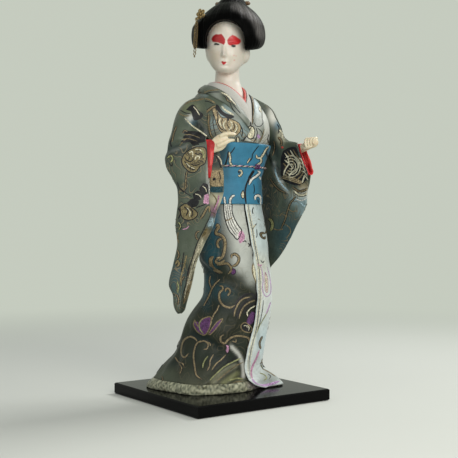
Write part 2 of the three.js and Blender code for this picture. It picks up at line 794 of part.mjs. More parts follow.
function obiCord(outward) {
  const radius = cordRadius + outward;
  return hoop(around(figureSides, (angle) => {
    const middle = cordMiddle(angle);
    const inside = figurePoint(angle, cordHeight, 0);
    const outwardDirection = figurePoint(angle, cordHeight, 1).sub(inside).normalize();
    return around(6, (turn) => middle.clone()
      .addScaledVector(outwardDirection, radius * Math.cos(radians(turn)))
      .addScaledVector(upward, radius * Math.sin(radians(turn))));
  }));
}

function cordKnot() {
  const knot = ellipsoid(vector(0, 0, 0), knotHalfWidth, cordRadius + 2, knotHalfHeight, 12);
  knot.rotateZ(radians(knotAngle));
  const middle = cordMiddle(knotAngle);
  knot.translate(middle.x, middle.y, middle.z);
  return cut(knot, obiCord(gap), obiSpace());
}

function roundedBlock(halfWidth, halfDepth, bottom, top, middleX, middleY) {
  const middle = (bottom + top) / 2;
  const half = (top - bottom) / 2;
  return loft([-1, -0.93, -0.75, -0.3, 0.3, 0.75, 0.93, 1].map((level) => {
    const swell = Math.sqrt(1 - 0.75 * level ** 6);
    return around(24, (angle) => {
      const turn = radians(angle);
      const square = (value) => Math.sign(value) * Math.abs(value) ** 0.6;
      return vector(
        middleX + halfWidth * (0.75 + 0.25 * swell) * square(Math.sin(turn)),
        middleY - halfDepth * swell * square(Math.cos(turn)),
        middle + half * level,
      );
    });
  }));
}

function obiBow() {
  const { middleX } = figure(cordHeight);
  const tied = roundedBlock(bowHalfWidth, bowHalfDepth, bowBottomHeight, bowTopHeight, middleX, bowMiddleY);
  return cut(tied, obiSpace(), obiCord(gap), bodiceSpace(gap));
}

function obiTail() {
  const top = bowBottomHeight - gap;
  const back = figurePoint(180, obiBottomHeight, gap + obiThickness).y + gap;
  const face = (outward) => (across, along) => {
    const height = THREE.MathUtils.lerp(tailBottomHeight, top, along);
    const ripple = 0.8 * Math.sin(across * Math.PI * 3) * (1 - along);
    return vector(tailMiddleX + (across - 0.5) * tailWidth, back + outward + ripple, height);
  };
  return sheet(8, 8, face(tailThickness + 0.8), face(0.8));
}

// Collars and bodice

// A line round the neck that falls and spreads towards the crossing at the front
function collarLine(collar, angle) {
  const apart = Math.abs(angleApart(angle, collar.frontAngle));
  const fall = Math.exp(-apart / collarFall);
  const spread = Math.exp(-apart / collarSpread);
  const reach = THREE.MathUtils.lerp(collar.napeReach, collar.frontReach, spread);
  const turn = radians(angle);
  return vector(
    neckX + reach * Math.sin(turn),
    neckY - reach * Math.cos(turn),
    THREE.MathUtils.lerp(collar.napeHeight, collar.frontHeight, fall),
  );
}

function collarSlope(angle) {
  return collarLine(outerCollar, angle).sub(collarLine(whiteCollar, angle)).normalize();
}

function neckline(angle) {
  return collarLine(outerCollar, angle).addScaledVector(collarSlope(angle), outerCollarLip);
}

// The bodice's outer face from the top of the obi over the chest and shoulders to the neckline
function chestPoint(angle, along) {
  const from = figurePoint(angle, bodiceCurveStart, 0);
  const to = neckline(angle);
  const rise = to.z - from.z;
  const neck = vector(neckX, neckY, 0);
  const control = from.clone().sub(neck).multiplyScalar(shoulderSwell).add(neck);
  control.z = to.z - shoulderLift * rise;
  return new THREE.QuadraticBezierCurve3(from, control, to).getPoint(along);
}

function chestNormal(angle, along) {
  const low = Math.min(along, 0.98);
  const round = chestPoint(angle + 1, low).sub(chestPoint(angle - 1, low));
  const up = chestPoint(angle, low + 0.02).sub(chestPoint(angle, low));
  return round.cross(up).normalize();
}

function chestOut(angle, along, outward) {
  return chestPoint(angle, along).addScaledVector(chestNormal(angle, along), outward);
}

const chestLevels = [0.16, 0.32, 0.48, 0.64, 0.82, 1];

function kimonoBodice() {
  const lower = levelsBetween(waistSeamHeight + gap / 2, bodiceCurveStart);
  const outer = [
    ...lower.map((height) => figureRing(height, 0)),
    ...chestLevels.map((along) => around(figureSides, (angle) => chestPoint(angle, along))),
  ];
  const innerChestRing = (along) => {
    const wall = THREE.MathUtils.lerp(bodiceWall, necklineWall, THREE.MathUtils.smoothstep(along, 0.3, 1));
    return around(figureSides, (angle) => chestOut(angle, along, -wall));
  };
  const inner = [
    ...[...chestLevels].reverse().map(innerChestRing),
    ...[...lower].reverse().map((height) => figureRing(height, -bodiceWall)),
  ];
  return cut(hoop([...outer, ...inner]),
    rightWire(gap),
    leftWire(gap));
}

// The room that the bodice takes up, filled and with its clearance
function bodiceSpace(outward) {
  return loft([
    figureRing(waistSeamHeight, outward),
    figureRing(bodiceCurveStart - 12, outward),
    ...[0, ...chestLevels].map((along) => around(figureSides, (angle) => chestOut(angle, along, outward))),
  ]);
}

function chestLength(angle) {
  const halfway = chestPoint(angle, 0.5);
  return chestPoint(angle, 0).distanceTo(halfway) + halfway.distanceTo(chestPoint(angle, 1));
}

function outerCollarBand(outward) {
  return hoop(around(figureSides, (angle) => {
    const frontness = Math.exp(-Math.abs(angleApart(angle, outerCollar.frontAngle)) / collarSpread);
    const width = THREE.MathUtils.lerp(outerCollarNapeWidth, outerCollarWidth, Math.sqrt(frontness));
    const low = 1 - Math.min((width + outward) / chestLength(angle), 0.9);
    const lip = (outward) => collarLine(outerCollar, angle).addScaledVector(chestNormal(angle, 1), outward);
    const sunk = -gap;
    const over = gap + outerCollarThickness + outward;
    return [
      chestOut(angle, low, sunk), chestOut(angle, (low + 1) / 2, sunk),
      chestOut(angle, 1, gap / 2), lip(gap), lip(over), chestOut(angle, 1, over),
      chestOut(angle, (low + 1) / 2, over), chestOut(angle, low, over),
    ];
  }));
}

// The overlapping front edge runs from the crossing down to the obi
function collarTail() {
  const face = (outward) => (across, along) => {
    const inner = THREE.MathUtils.lerp(collarTailLow.innerAngle, collarTailHigh.innerAngle, along ** 0.6);
    const outer = THREE.MathUtils.lerp(collarTailLow.outerAngle, collarTailHigh.outerAngle, along ** 0.8);
    const angle = THREE.MathUtils.lerp(inner, outer, across);
    return chestOut(angle, THREE.MathUtils.lerp(collarTailStart, collarTailEnd, along), outward);
  };
  return sheet(4, 6, face(2 * gap + outerCollarThickness), face(-2 * gap));
}

function kimonoCollar() {
  return cut(join(outerCollarBand(0), collarTail()), bodiceSpace(2 * gap), obiSpace());
}

// A flat collar ring between two lines, sunk below the collar outside it
function innerCollarBand(innerLine, outerLine, sunk) {
  return hoop(around(figureSides, (angle) => {
    const inner = innerLine(angle);
    const outer = outerLine(angle);
    const slope = outer.clone().sub(inner).normalize();
    const sideways = vector(-Math.cos(radians(angle)), -Math.sin(radians(angle)), 0);
    const down = slope.clone().cross(sideways).normalize();
    if (down.z > 0) down.negate();
    const top = (point) => point.clone().addScaledVector(down, sunk);
    const low = (point) => point.clone().addScaledVector(down, sunk + innerCollarThickness);
    return [top(inner), top(outer), low(outer), low(inner)];
  }));
}

function whiteCollarBand() {
  return innerCollarBand(
    (angle) => collarLine(whiteCollar, angle),
    (angle) => neckline(angle).addScaledVector(collarSlope(angle), -4 * gap),
    gap / 2,
  );
}

function redCollarBand() {
  return innerCollarBand(
    (angle) => collarLine(redCollar, angle),
    (angle) => collarLine(whiteCollar, angle).addScaledVector(collarSlope(angle), redCollarTuck),
    innerCollarThickness + 2 * gap,
  );
}

// Sleeves

function sleevePoint(sleeve, along, across, height) {
  const turn = radians(sleeve.heading);
  return vector(
    sleeve.originX + along * Math.cos(turn) + sleeve.side * across * Math.sin(turn),
    sleeve.originY - along * Math.sin(turn) + sleeve.side * across * Math.cos(turn),
    height,
  );
}

function sleeveRing(sleeve, height) {
  const { rear, fold, front, across, thickness } = measuresOf(sleeve.stations)(height);
  const half = thickness / 2;
  const corners = [
    [rear, across], [(rear * 3 + fold) / 4, across + half * 0.8], [(rear + fold) / 2, across + half],
    [fold, across + half], [front, across - half * 0.3], [(fold + front) / 2, across - half * 0.8],
    [(rear + front) / 2, across - half], [(rear * 3 + front) / 4, across - half * 0.8],
  ];
  const outline = new THREE.CatmullRomCurve3(
    corners.map(([along, sideways]) => sleevePoint(sleeve, along, sideways, height)), true, 'centripetal');
  return range(sleeveSides, (i) => outline.getPoint(i / sleeveSides));
}

function sleeve(shape, cuff, wireSpace) {
  const rings = shape.stations.map((station) => sleeveRing(shape, station.height));
  return cut(
    loft(rings),
    bodiceSpace(gap),
    outerCollarBand(gap),
    obiSpace(),
    cuffSpace(shape, cuff),
    wireSpace,
  );
}

function cuffRing(shape, cuff, along, shrink) {
  return around(16, (angle) => {
    const square = (value) => Math.sign(value) * Math.abs(value) ** 0.6;
    const level = square(Math.sin(radians(angle)));
    const mouth = THREE.MathUtils.lerp(cuff.bottom, cuff.top, (level + 1) / 2);
    return sleevePoint(
      shape,
      THREE.MathUtils.lerp(cuff.inner, mouth, along),
      cuff.across + (cuff.halfThickness - shrink) * square(Math.cos(radians(angle))),
      cuff.height + (cuff.halfHeight - shrink) * level,
    );
  });
}

function cuffLining(shape, cuff) {
  return hoop([
    cuffRing(shape, cuff, 0, 0), cuffRing(shape, cuff, 0.5, 0), cuffRing(shape, cuff, 1, 0),
    cuffRing(shape, cuff, 1, cuffWall), cuffRing(shape, cuff, 0.5, cuffWall),
    cuffRing(shape, cuff, 0, cuffWall),
  ]);
}

// The room for a cuff, wider in front of its mouth for the hand
function cuffSpace(shape, cuff) {
  return loft([
    cuffRing(shape, cuff, -0.02, -gap), cuffRing(shape, cuff, 1, -gap),
    cuffRing(shape, cuff, 1.02, -handRoom), cuffRing(shape, cuff, 2.2, -handRoom),
  ]);
}

// Hands

function wrist(places) {
  const stations = places.map(([x, z, halfHeight, halfThickness]) =>
    ({ at: [x, 0, z], halfHeight, halfThickness }));
  return limb(stations, 12);
}

function finger(places, sides) {
  const stations = places.map(([x, y, z, radius]) =>
    ({ at: [x, y, z], halfHeight: radius, halfThickness: radius }));
  return limb(stations, sides);
}

// An open hand with the fingers together above the thumb
function openHand() {
  const palm = wrist([
    [-2, -1, wristHalfHeight, wristHalfThickness], [6, 0, wristHalfHeight, wristHalfThickness],
    [13, 1, 7, 4.6], [20, 4, 9.2, 5], [26, 7.5, 8.4, 4.6], [30.5, 9.5, 5.6, 3.6], [32.5, 10, 2.4, 1.8],
  ]);
  const fingers = finger([
    [24, 0, 12, 3.6], [30, 0, 13.6, 3.3], [35, 0, 13.8, 2.6], [38, 0, 13, 1.6], [39, 0, 12.7, 0.6],
  ], 10);
  const thumb = finger([
    [22, 0, 1.5, 3.4], [28, 0, 4, 3], [34, 0, 5.4, 2.2], [37.6, 0, 5.4, 1.4], [38.6, 0, 5.3, 0.6],
  ], 10);
  return join(palm, fingers, thumb);
}

// A half-closed hand with four fingers curled beside each other
function closedHand() {
  const palm = wrist([
    [-2, -1, wristHalfHeight, wristHalfThickness], [8, 0, wristHalfHeight * 0.85, wristHalfThickness],
    [16, 1, 5.6, 4.4], [24, 2.4, 6.6, 5], [32, 3.4, 6.4, 4.8], [36, 3.6, 4.6, 3.6], [38, 3.6, 2, 1.6],
  ]);
  const curls = range(4, (i) => {
    const x = 25 + 3.7 * i;
    return finger([
      [x - 0.4, 2.4, 8 - 0.3 * i, 1.3], [x, -1.6, 9 - 0.4 * i, 2.1], [x + 0.2, -5, 6.4 - 0.3 * i, 2.1],
      [x + 0.2, -5.8, 2.8, 2], [x, -4.4, -0.4 + 0.3 * i, 1.7], [x - 0.3, -2.6, -1.2 + 0.3 * i, 0.9],
    ], 6);
  });
  return join(palm, ...curls);
}

function placedHand(geometry, shape, cuff, place, wireSpace) {
  const placed = geometry.clone();
  placed.rotateY(-radians(place.tilt));
  placed.rotateZ(-radians(shape.heading + place.turn));
  const at = sleevePoint(shape, place.along, place.across, cuff.height + place.rise);
  placed.translate(at.x, at.y, at.z);
  return cut(placed, wireSpace);
}

// Head

const skull = measuresOf(skullStations);

function facePoint(angle, height, outward) {
  const { middleY, halfWidth, halfDepth } = skull(height);
  const turn = radians(angle);
  const x = (halfWidth + outward) * Math.sin(turn);
  const y = middleY - (halfDepth + outward) * Math.cos(turn);
  const facing = Math.max(Math.cos(turn), 0);
  const rise = THREE.MathUtils.clamp((noseBridgeHeight - height) / (noseBridgeHeight - noseTipHeight), 0, 1);
  const under = THREE.MathUtils.clamp((height - noseTipHeight + 4) / 4, 0, 1);
  const nose = noseReach * rise * under * hill(x, noseHalfWidth);
  const mouth = mouthReach * hill(height - mouthHeight, 3.4) * hill(x, mouthHalfWidth);
  return vector(x, y - (nose + mouth) * facing, height);
}

// The heights of the head's rings, closest together round the nose and mouth
const headLevels = [360, 362, 365, 369, 372, 375, 378.5, 381, 385, 390, 396, 403, 411, 419, 427, 434, 439];

function skullSolid(outward) {
  const ring = (height) => around(headSides, (angle) => facePoint(angle - 180, height, outward));
  return loft(headLevels.map(ring));
}

function headSolid() {
  const face = skullSolid(0);
  const neck = post(neckRadius * 2, 0, 0, neckBottomHeight, skull(378).height, 24);
  const bore = post(neckPostDiameter + 2 * gap, 0, 0, neckBottomHeight - 1, neckPostTopHeight + gap, 16);
  return cut(join(face, neck), bore, eye(-1, gap), eye(1, gap));
}

function eye(side, outward) {
  return ellipsoid(
    vector((side * eyeSpacing) / 2, -eyeForward, eyeHeight),
    eyeHalfWidth + outward, eyeHalfDepth + outward, eyeHalfHeight + outward, 12,
  );
}

// Hair, in the head's frame

const hairShape = measuresOf(hairStations);
const hairTopHeight = hairStations.at(-1).height;

function hairSpace(outward) {
  const bottomHeight = hairStations[0].height;
  return loft(hairStations.map(({ height }, i) => {
    const { middleX, middleY, halfWidth, halfDepth } = hairShape(height);
    const isTop = i === hairStations.length - 1;
    const lift = (isTop ? outward : 0) - (i === 0 ? outward : 0);
    const low = THREE.MathUtils.clamp(1 - (height - bottomHeight) / hairHemFadeHeight, 0, 1);
    return around(headSides, (angle) => {
      const y = middleY - (halfDepth + outward) * Math.cos(radians(angle));
      const x = middleX + (halfWidth + outward) * Math.sin(radians(angle));
      return vector(x, y, height + lift + low * hairHemSlope * (y - hairHemFrontY));
    });
  }));
}

function headSpace() {
  const neck = post((neckRadius + neckClearance) * 2, 0, 0, neckBottomHeight, eyeHeight, 24);
  const crown = skullSolid(gap);
  crown.translate(0, 0, gap);
  return join(skullSolid(gap), crown, neck);
}

// The arch through which the face shows
function faceOpening() {
  const outline = [new THREE.Vector2(-faceOpeningHalfWidth, belowFace)];
  for (const angle of evenly(180, 0, 13)) {
    outline.push(new THREE.Vector2(
      faceOpeningHalfWidth * Math.cos(radians(angle)),
      faceOpeningSpringHeight + (faceOpeningTopHeight - faceOpeningSpringHeight) * Math.sin(radians(angle)),
    ));
  }
  outline.push(new THREE.Vector2(faceOpeningHalfWidth, belowFace));
  const extent = { depth: faceOpeningDepth, bevelEnabled: false };
  const arch = new THREE.ExtrudeGeometry(new THREE.Shape(outline), extent);
  arch.rotateX(Math.PI / 2);
  arch.translate(0, faceOpeningBackY, 0);
  return arch;
}

function block(from, to) {
  const size = to.clone().sub(from);
  const box = new THREE.BoxGeometry(size.x, size.y, size.z);
  const middle = from.clone().add(to).divideScalar(2);
  box.translate(middle.x, middle.y, middle.z);
  return box;
}

const hairShell = cut(hairSpace(0), headSpace(), faceOpening(), flowerSpace());
const far = 90;
const half = hairParting / 2;

function hairFront() {
  const low = vector(-far, -far, frontRollLowHeight + half);
  return common(hairShell, block(low, vector(far, frontRollBackY - half, aboveHair)));
}

function hairWing(side) {
  const inner = side < 0 ? -far : hairParting;
  const outer = side < 0 ? -hairParting : far;
  const high = vector(outer, wingBackY - half, frontRollLowHeight - half);
  return common(hairShell, block(vector(inner, -far, belowHair), high));
}

function hairBack() {
  const lowFrom = vector(-far, wingBackY + half, belowHair);
  const highFrom = vector(-far, frontRollBackY + half, frontRollLowHeight - half);
  const low = block(lowFrom, vector(far, far, frontRollLowHeight + half));
  const high = block(highFrom, vector(far, far, aboveHair));
  return common(hairShell, join(low, high));
}

function hairTopknot() {
  const bun = ellipsoid(vector(topknot.x, topknot.y, hairTopHeight + topknot.rise),
    topknot.halfWidth, topknot.halfDepth, topknot.halfHeight, 14);
  return cut(bun, hairSpace(gap), hairStick(gap));
}

// Ornaments, in the head's frame

function hairStick(outward) {
  const half = stickLength / 2 + outward;
  const profile = [
    [0, -half], [stickEndRadius - 1, -half], [stickEndRadius, -half + 1.5],
    [stickEndRadius, -half + 5], [stickRadius, -half + 8], [stickRadius, half - 8],
    [stickEndRadius, half - 5], [stickEndRadius, half - 1.5], [stickEndRadius - 1, half], [0, half],
  ].map(([radius, along]) => new THREE.Vector2(radius === 0 ? 0 : radius + outward, along));
  const stick = new THREE.LatheGeometry(profile, smallSides);
  stick.rotateZ(Math.PI / 2);
  stick.translate(stickMiddleX, topknot.y, hairTopHeight + stickRise);
  return stick;
}

function flowerOutline(outward) {
  return new THREE.Shape(around(petalCount * 6, (angle) => {
    const petal = Math.abs(Math.cos(radians((angle * petalCount) / 2)));
    const radius = outward + flowerRadius * (0.82 + 0.18 * petal);
    return new THREE.Vector2(radius * Math.cos(radians(angle)), radius * Math.sin(radians(angle)));
  }));
}

// Turns a shape made in front of the head to the ornament's place beside the face
function besideFace(geometry) {
  geometry.rotateZ(radians(ornamentAngle));
  return geometry;
}

// Turns a shape made along +Z to face outward at the flower's place
function facingFlower(geometry) {
  geometry.rotateX(Math.PI / 2);
  geometry.rotateZ(radians(flowerTurn));
  geometry.translate(0, -flowerReach, flowerHeight);
  return besideFace(geometry);
}

function flowerDisc(outward) {
  const disc = new THREE.ExtrudeGeometry(flowerOutline(outward), {
    depth: flowerThickness + 2 * outward, bevelEnabled: false,
  });
  disc.translate(0, 0, -flowerThickness / 2 - outward);
  return facingFlower(disc);
}

function flowerStem(outward) {
  const radius = pinRadius + outward;
  const stem = new THREE.CylinderGeometry(radius, radius, pinLength + outward, smallSides);
  stem.rotateX(Math.PI / 2);
  stem.translate(0, 0, -(pinLength + outward) / 2);
  return facingFlower(stem);
}

function flowerSpace() {
  return join(flowerDisc(gap), cut(flowerStem(gap), headSpace()), hangerArm(gap));
}

function hangerArm(outward) {
  const low = hangerHeight - hangerRadius;
  return besideFace(block(
    vector(-hangerSide - hangerArmWidth - outward, -hangerReach - hangerRadius - outward, low - outward),
    vector(-hangerSide + outward, -flowerReach + outward, flowerHeight - flowerRadius * 0.6 + outward),
  ));
}

// A short arm with a knob, on which the strand's ring hangs
function hanger() {
  const length = 2 * hangerSide + 2;
  const peg = new THREE.CylinderGeometry(hangerRadius, hangerRadius, length, smallSides);
  peg.rotateZ(Math.PI / 2);
  peg.translate(0, -hangerReach, hangerHeight);
  const knob = ellipsoid(vector(hangerSide + 0.9, -hangerReach, hangerHeight), 0.8, 1.5, 1.5, smallSides);
  return join(hangerArm(0), besideFace(peg), besideFace(knob));
}

function flowerPin() {
  return join(flowerDisc(0), cut(flowerStem(0), headSpace()), hanger());
}

function beadStrand() {
  const innerRadius = hangerRadius + gap;
  const outerRadius = innerRadius + ringBand;
  const half = ringThickness / 2;
  const ring = new THREE.LatheGeometry([
    [innerRadius, -half], [outerRadius, -half], [outerRadius, half],
    [innerRadius, half], [innerRadius, -half],
  ].map(([radius, along]) => new THREE.Vector2(radius, along)), 16);
  ring.rotateZ(Math.PI / 2);
  ring.translate(0, -hangerReach, hangerHeight);
  const top = hangerHeight - outerRadius + 0.3;
  const profile = [new THREE.Vector2(0, top), new THREE.Vector2(beadCordRadius, top)];
  for (let i = 0; i < beadCount; i += 1) {
    const middle = top - 1.2 - beadPitch * (i + 0.5);
    for (const [radius, offset] of [[0.85, 0.28], [1, 0], [0.85, -0.28]]) {
      profile.push(new THREE.Vector2(radius * beadRadius, middle + offset * beadPitch));
    }
    profile.push(new THREE.Vector2(beadCordRadius, middle - beadPitch / 2));
  }
  const low = profile.at(-1).y;
  profile.push(new THREE.Vector2(beadRadius * 0.9, low - dropLength * 0.45));
  profile.push(new THREE.Vector2(beadRadius * 0.7, low - dropLength * 0.8));
  profile.push(new THREE.Vector2(0, low - dropLength));
  const beads = new THREE.LatheGeometry(profile.reverse(), 6);
  beads.rotateX(Math.PI / 2);
  beads.translate(0, -hangerReach, 0);
  return besideFace(join(ring, beads));
}

// Assembly

function piece(name, geometry, finish) {
  const mesh = new THREE.Mesh(geometry, new THREE.MeshStandardMaterial(finish));
  mesh.name = name;
  return mesh;
}

const board = new THREE.Group();
board.add(piece('base_board', baseBoard(), lacquer));
legPlaces.forEach((x, i) => board.add(piece(`base_screw_${i + 1}`, baseScrew(x), steel)));

const dress = new THREE.Group();
dress.position.z = boardThickness;
legPlaces.forEach((x, i) => dress.add(piece(`leg_post_${i + 1}`, legPost(x), wood)));
dress.add(
  piece('body_core', bodyCore(), straw),
  piece('neck_post', neckPost(), wood),
  piece('arm_wire_right', rightWire(0), steel),
  piece('arm_wire_left', leftWire(0), steel),
  piece('hand_right', placedHand(openHand(), rightSleeve, rightCuff, rightHandPlace, rightWire(gap)), ivory),
  piece('hand_left', placedHand(closedHand(), leftSleeve, leftCuff, leftHandPlace, leftWire(gap)), ivory),
  piece('kimono_skirt', kimonoSkirt(), brocade),
  piece('hem_roll', hemRoll(), paleBrocade),
  piece('front_panel', frontPanel(), paleBrocade),
  piece('obi_band', obiBand(), obiCloth),
  piece('obi_cord', obiCord(0), cordCloth),
  piece('obi_cord_knot', cordKnot(), cordCloth),
  piece('obi_bow', obiBow(), obiCloth),
  piece('obi_tail', obiTail(), tealCloth),
  piece('kimono_bodice', kimonoBodice(), brocade),
  piece('kimono_collar', kimonoCollar(), paleBrocade),
  piece('collar_white', whiteCollarBand(), whiteCloth),
  piece('collar_red', redCollarBand(), coral),
  piece('sleeve_right', sleeve(rightSleeve, rightCuff, rightWire(gap)), brocade),
  piece('sleeve_left', sleeve(leftSleeve, leftCuff, leftWire(gap)), brocade),
  piece('cuff_lining_right', cuffLining(rightSleeve, rightCuff), redSatin),
  piece('cuff_lining_left', cuffLining(leftSleeve, leftCuff), redSatin),
);

const head = new THREE.Group();
head.position.set(neckX, neckY, 0);
head.rotation.z = -radians(headTurn);
head.add(
  piece('head', headSolid(), shellWhite),
  piece('eye_right', eye(-1, 0), blackHair),
  piece('eye_left', eye(1, 0), blackHair),
  piece('hair_front', hairFront(), blackHair),
  piece('hair_wing_right', hairWing(-1), blackHair),
  piece('hair_wing_left', hairWing(1), blackHair),
  piece('hair_back', hairBack(), blackHair),
  piece('hair_topknot', hairTopknot(), blackHair),
  piece('hair_stick', hairStick(0), tortoise),
  piece('flower_pin', flowerPin(), gold),
  piece('bead_strand', beadStrand(), gold),
);
dress.add(head);

const doll = new THREE.Group();
doll.add(board, dress);

export default doll;
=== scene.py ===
# A geisha doll on a lacquered board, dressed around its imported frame.
# Shapes are worked out in millimetres in the frame's axes, and scaled to metres as a mesh is made.
# Heights on the doll are measured from the top of the board, and angles round it from its front,
# positive towards its left. Pixel coordinates are those of the 458 by 458 photograph.

import math

import bpy
import numpy as np
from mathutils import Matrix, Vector
from mathutils.bvhtree import BVHTree


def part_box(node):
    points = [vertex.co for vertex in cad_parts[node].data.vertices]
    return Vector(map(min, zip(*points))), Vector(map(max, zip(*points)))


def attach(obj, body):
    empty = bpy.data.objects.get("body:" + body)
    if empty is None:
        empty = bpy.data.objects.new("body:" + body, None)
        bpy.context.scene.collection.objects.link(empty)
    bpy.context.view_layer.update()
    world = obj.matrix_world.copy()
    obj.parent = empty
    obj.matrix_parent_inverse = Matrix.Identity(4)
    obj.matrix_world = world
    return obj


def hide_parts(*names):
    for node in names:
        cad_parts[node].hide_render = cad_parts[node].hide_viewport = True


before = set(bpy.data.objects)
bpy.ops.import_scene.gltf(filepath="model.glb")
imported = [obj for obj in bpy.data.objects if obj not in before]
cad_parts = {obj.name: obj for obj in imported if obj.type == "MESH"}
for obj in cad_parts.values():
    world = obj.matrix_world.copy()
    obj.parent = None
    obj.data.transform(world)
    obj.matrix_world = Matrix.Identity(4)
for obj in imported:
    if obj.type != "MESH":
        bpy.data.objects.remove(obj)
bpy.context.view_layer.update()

MM = 0.001

# Camera, fitted to the board's corners in the photograph
FOCAL_PIXELS = 900
IMAGE_SIDE = 458
SENSOR_WIDTH = 36
CAMERA_TURN = 35.4
CAMERA_PLACE = np.array([-598.75, -860.92, 195.4])
FORWARD = np.array([math.sin(math.radians(CAMERA_TURN)), math.cos(math.radians(CAMERA_TURN)), 0])
RIGHTWARD = np.array([FORWARD[1], -FORWARD[0], 0])
UPWARD = np.array([0, 0, 1.0])

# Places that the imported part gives
BOARD_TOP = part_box("base_board")[1].z / MM
GAP = 0.35

# Outline of the dressed figure: height, middle x and y, half width and half depth
FIGURE_STATIONS = [
    (0, -5, 2, 65, 53), (9, -5, 2, 64, 52), (17, -5.2, 2.4, 60.5, 50.5), (24, -5.7, 3, 57, 49.5),
    (40, -1, 0.5, 53, 46), (67, 5.9, -2, 51.5, 41), (90, 13.8, -6.4, 46.5, 36), (109, 18, -9.2, 41.5, 33),
    (134, 17.5, -9, 40.5, 32.5), (147, 14, -6.4, 43, 34.5), (164, 13.2, -6, 43, 35),
    (191, 10.2, -5, 42, 33.5), (211, 8, -3.6, 41.5, 32), (239, 8, -3.6, 40.5, 31),
    (262, 8.3, -4, 46, 33.5), (280, 8.5, -5, 52, 37), (300, 8, -6, 55, 38.5),
]
# Corners of the trailing hem: angle, reach, spread and the height at which it has faded
HEM_CORNERS = [(56, 15, 15, 22), (25, -5, 13, 30), (-50, 6, 17, 36), (-128, 18, 24, 42), (135, 9, 26, 42)]
# Folds of the skirt: depth, width and the line of angles and heights that each follows
SKIRT_FOLDS = [
    (-4.2, 7.5, [(-118, 152), (-86, 134), (-57, 127), (-5, 116)]),
    (2.2, 12, [(-104, 166), (-78, 152), (-50, 146), (-20, 138)]),
    (-4, 7, [(-92, 66), (-52, 57), (-34, 47)]),
    (2.6, 12, [(-110, 84), (-60, 78), (-24, 70)]),
    (4, 5, [(-17, 48), (-9, 38), (-5, 30)]),
    (2.6, 4, [(-14, 30), (-30, 20), (-44, 10)]),
    (2.4, 4, [(-6, 22), (-18, 10), (-24, 3)]),
    (-2.4, 7, [(-95, 40), (-84, 24), (-76, 8)]),
    (-1.6, 3, [(-12, 26), (-28, 15), (-40, 6)]),
    (-1.4, 4, [(-70, 118), (-40, 108), (-12, 104)]),
    (-1.5, 4, [(150, 190), (160, 120), (148, 40)]),
    (1.6, 6, [(180, 200), (186, 110), (180, 30)]),
    (-1.5, 5, [(-150, 180), (-158, 110), (-148, 40)]),
    (-1.2, 4, [(100, 200), (104, 130), (96, 60)]),
    (1.2, 5, [(124, 190), (128, 110), (122, 40)]),
]
HEM_HEIGHT = 11
WAIST_SEAM = 225
OBI_BOTTOM = 210.7
OBI_TOP = 279.8
OBI_THICKNESS = 3
CORD_HEIGHT = 253.5
CORD_RADIUS = 1.3
BODICE_CURVE_START = 280.4

# How thick each cloth is with its lining
CLOTH_THICKNESS = {
    "skirt": 1.2, "panel": 1.1, "obi": 2.2, "tail": 1.6, "bodice": 1.2, "outer collar": 0.8,
    "white collar": 0.9,
    "red collar": 0.8, "sleeve": 1.0, "cuff": 0.8,
}

# Neck and collars
NECK = np.array([6, -6.5])
HEAD_TURN = 42.4
OUTER_COLLAR = {"nape_reach": 22.5, "nape": 351, "front_reach": 37.5, "front": 299, "angle": 12}
WHITE_COLLAR = {"nape_reach": 19.4, "nape": 352.5, "front_reach": 28, "front": 325, "angle": 15}
RED_COLLAR = {"nape_reach": 17, "nape": 352.5, "front_reach": 25, "front": 329, "angle": 15}

# Sleeves, each hanging in a plane of its own: height, rear, fold, front, across and thickness
RIGHT_SLEEVE = {"side": -1, "heading": 35.4, "x": 0, "stations": [
    (88.5, -46.5, -44, -42, 50, 4), (92, -49, -43.5, -38.5, 50, 8), (99, -51, -42, -36.5, 50.5, 9.5),
    (108, -51.5, -40, -34, 51, 10.5), (121, -56, -36.5, -30.5, 52, 11.5), (144, -51, -31, -25.5, 52.5, 12),
    (168, -46.5, -23, -15.5, 53.5, 13), (186, -48.5, -14, -6.5, 54.5, 14), (201, -47, -9, -3, 56, 15),
    (213, -45.5, -11, 2, 57, 15.5), (225, -46, -11.5, 5, 57.5, 16), (238, -51.5, -12, 5, 58, 16.5),
    (251, -58.5, -12.5, 4, 58, 17), (260, -59.8, -12.7, 2, 58, 18), (268, -57.5, -13, 0, 57.5, 19),
    (278, -56, -14, -9, 56, 21), (290, -53, -22, -12, 50, 24), (303, -50.5, -26, -13, 44, 26),
    (316, -46, -24, -12, 37, 23), (325, -39, -22, -12, 32, 18), (331, -29, -20, -12, 29, 10),
]}
LEFT_SLEEVE = {"side": 1, "heading": 87, "x": 66, "stations": [
    (108, -13, -11, -8, 0, 4), (115, -16, -10, -5, 0, 6), (127, -17, -4, 3, 0, 7.5),
    (139, -18, 9, 15.5, 0, 8.5), (151, -18.5, 23, 30, 0, 9.5), (169, -19, 38, 45.5, 0.5, 10.5),
    (188, -19, 51, 59, 1, 11.5), (204, -19.5, 63, 71, 1, 12.5), (212, -20, 67, 75, 1, 13),
    (224, -21, 67, 75.5, 1.5, 14), (237, -22, 70, 78, 2, 15.5), (245, -23, 71, 78.5, 2, 17),
    (257, -24, 67, 74, 2, 18), (272, -24, 59, 66, 2, 18), (282, -23, 50, 60, 1.5, 18),
    (286, -21, 30, 42, 1, 21), (293, -20, 20, 33, 0.8, 24), (303, -18, 18, 29, 0.4, 27),
    (314, -14, 15, 24, -2.5, 28), (323, -9, 13, 21, -6, 27), (329, -5, 10, 17, -11, 26),
    (334, -1, 8, 13, -19, 18), (337, 1, 7, 11, -25, 9),
]}
SLEEVE_CLOSES = 281
CUFF_HEIGHT = 263

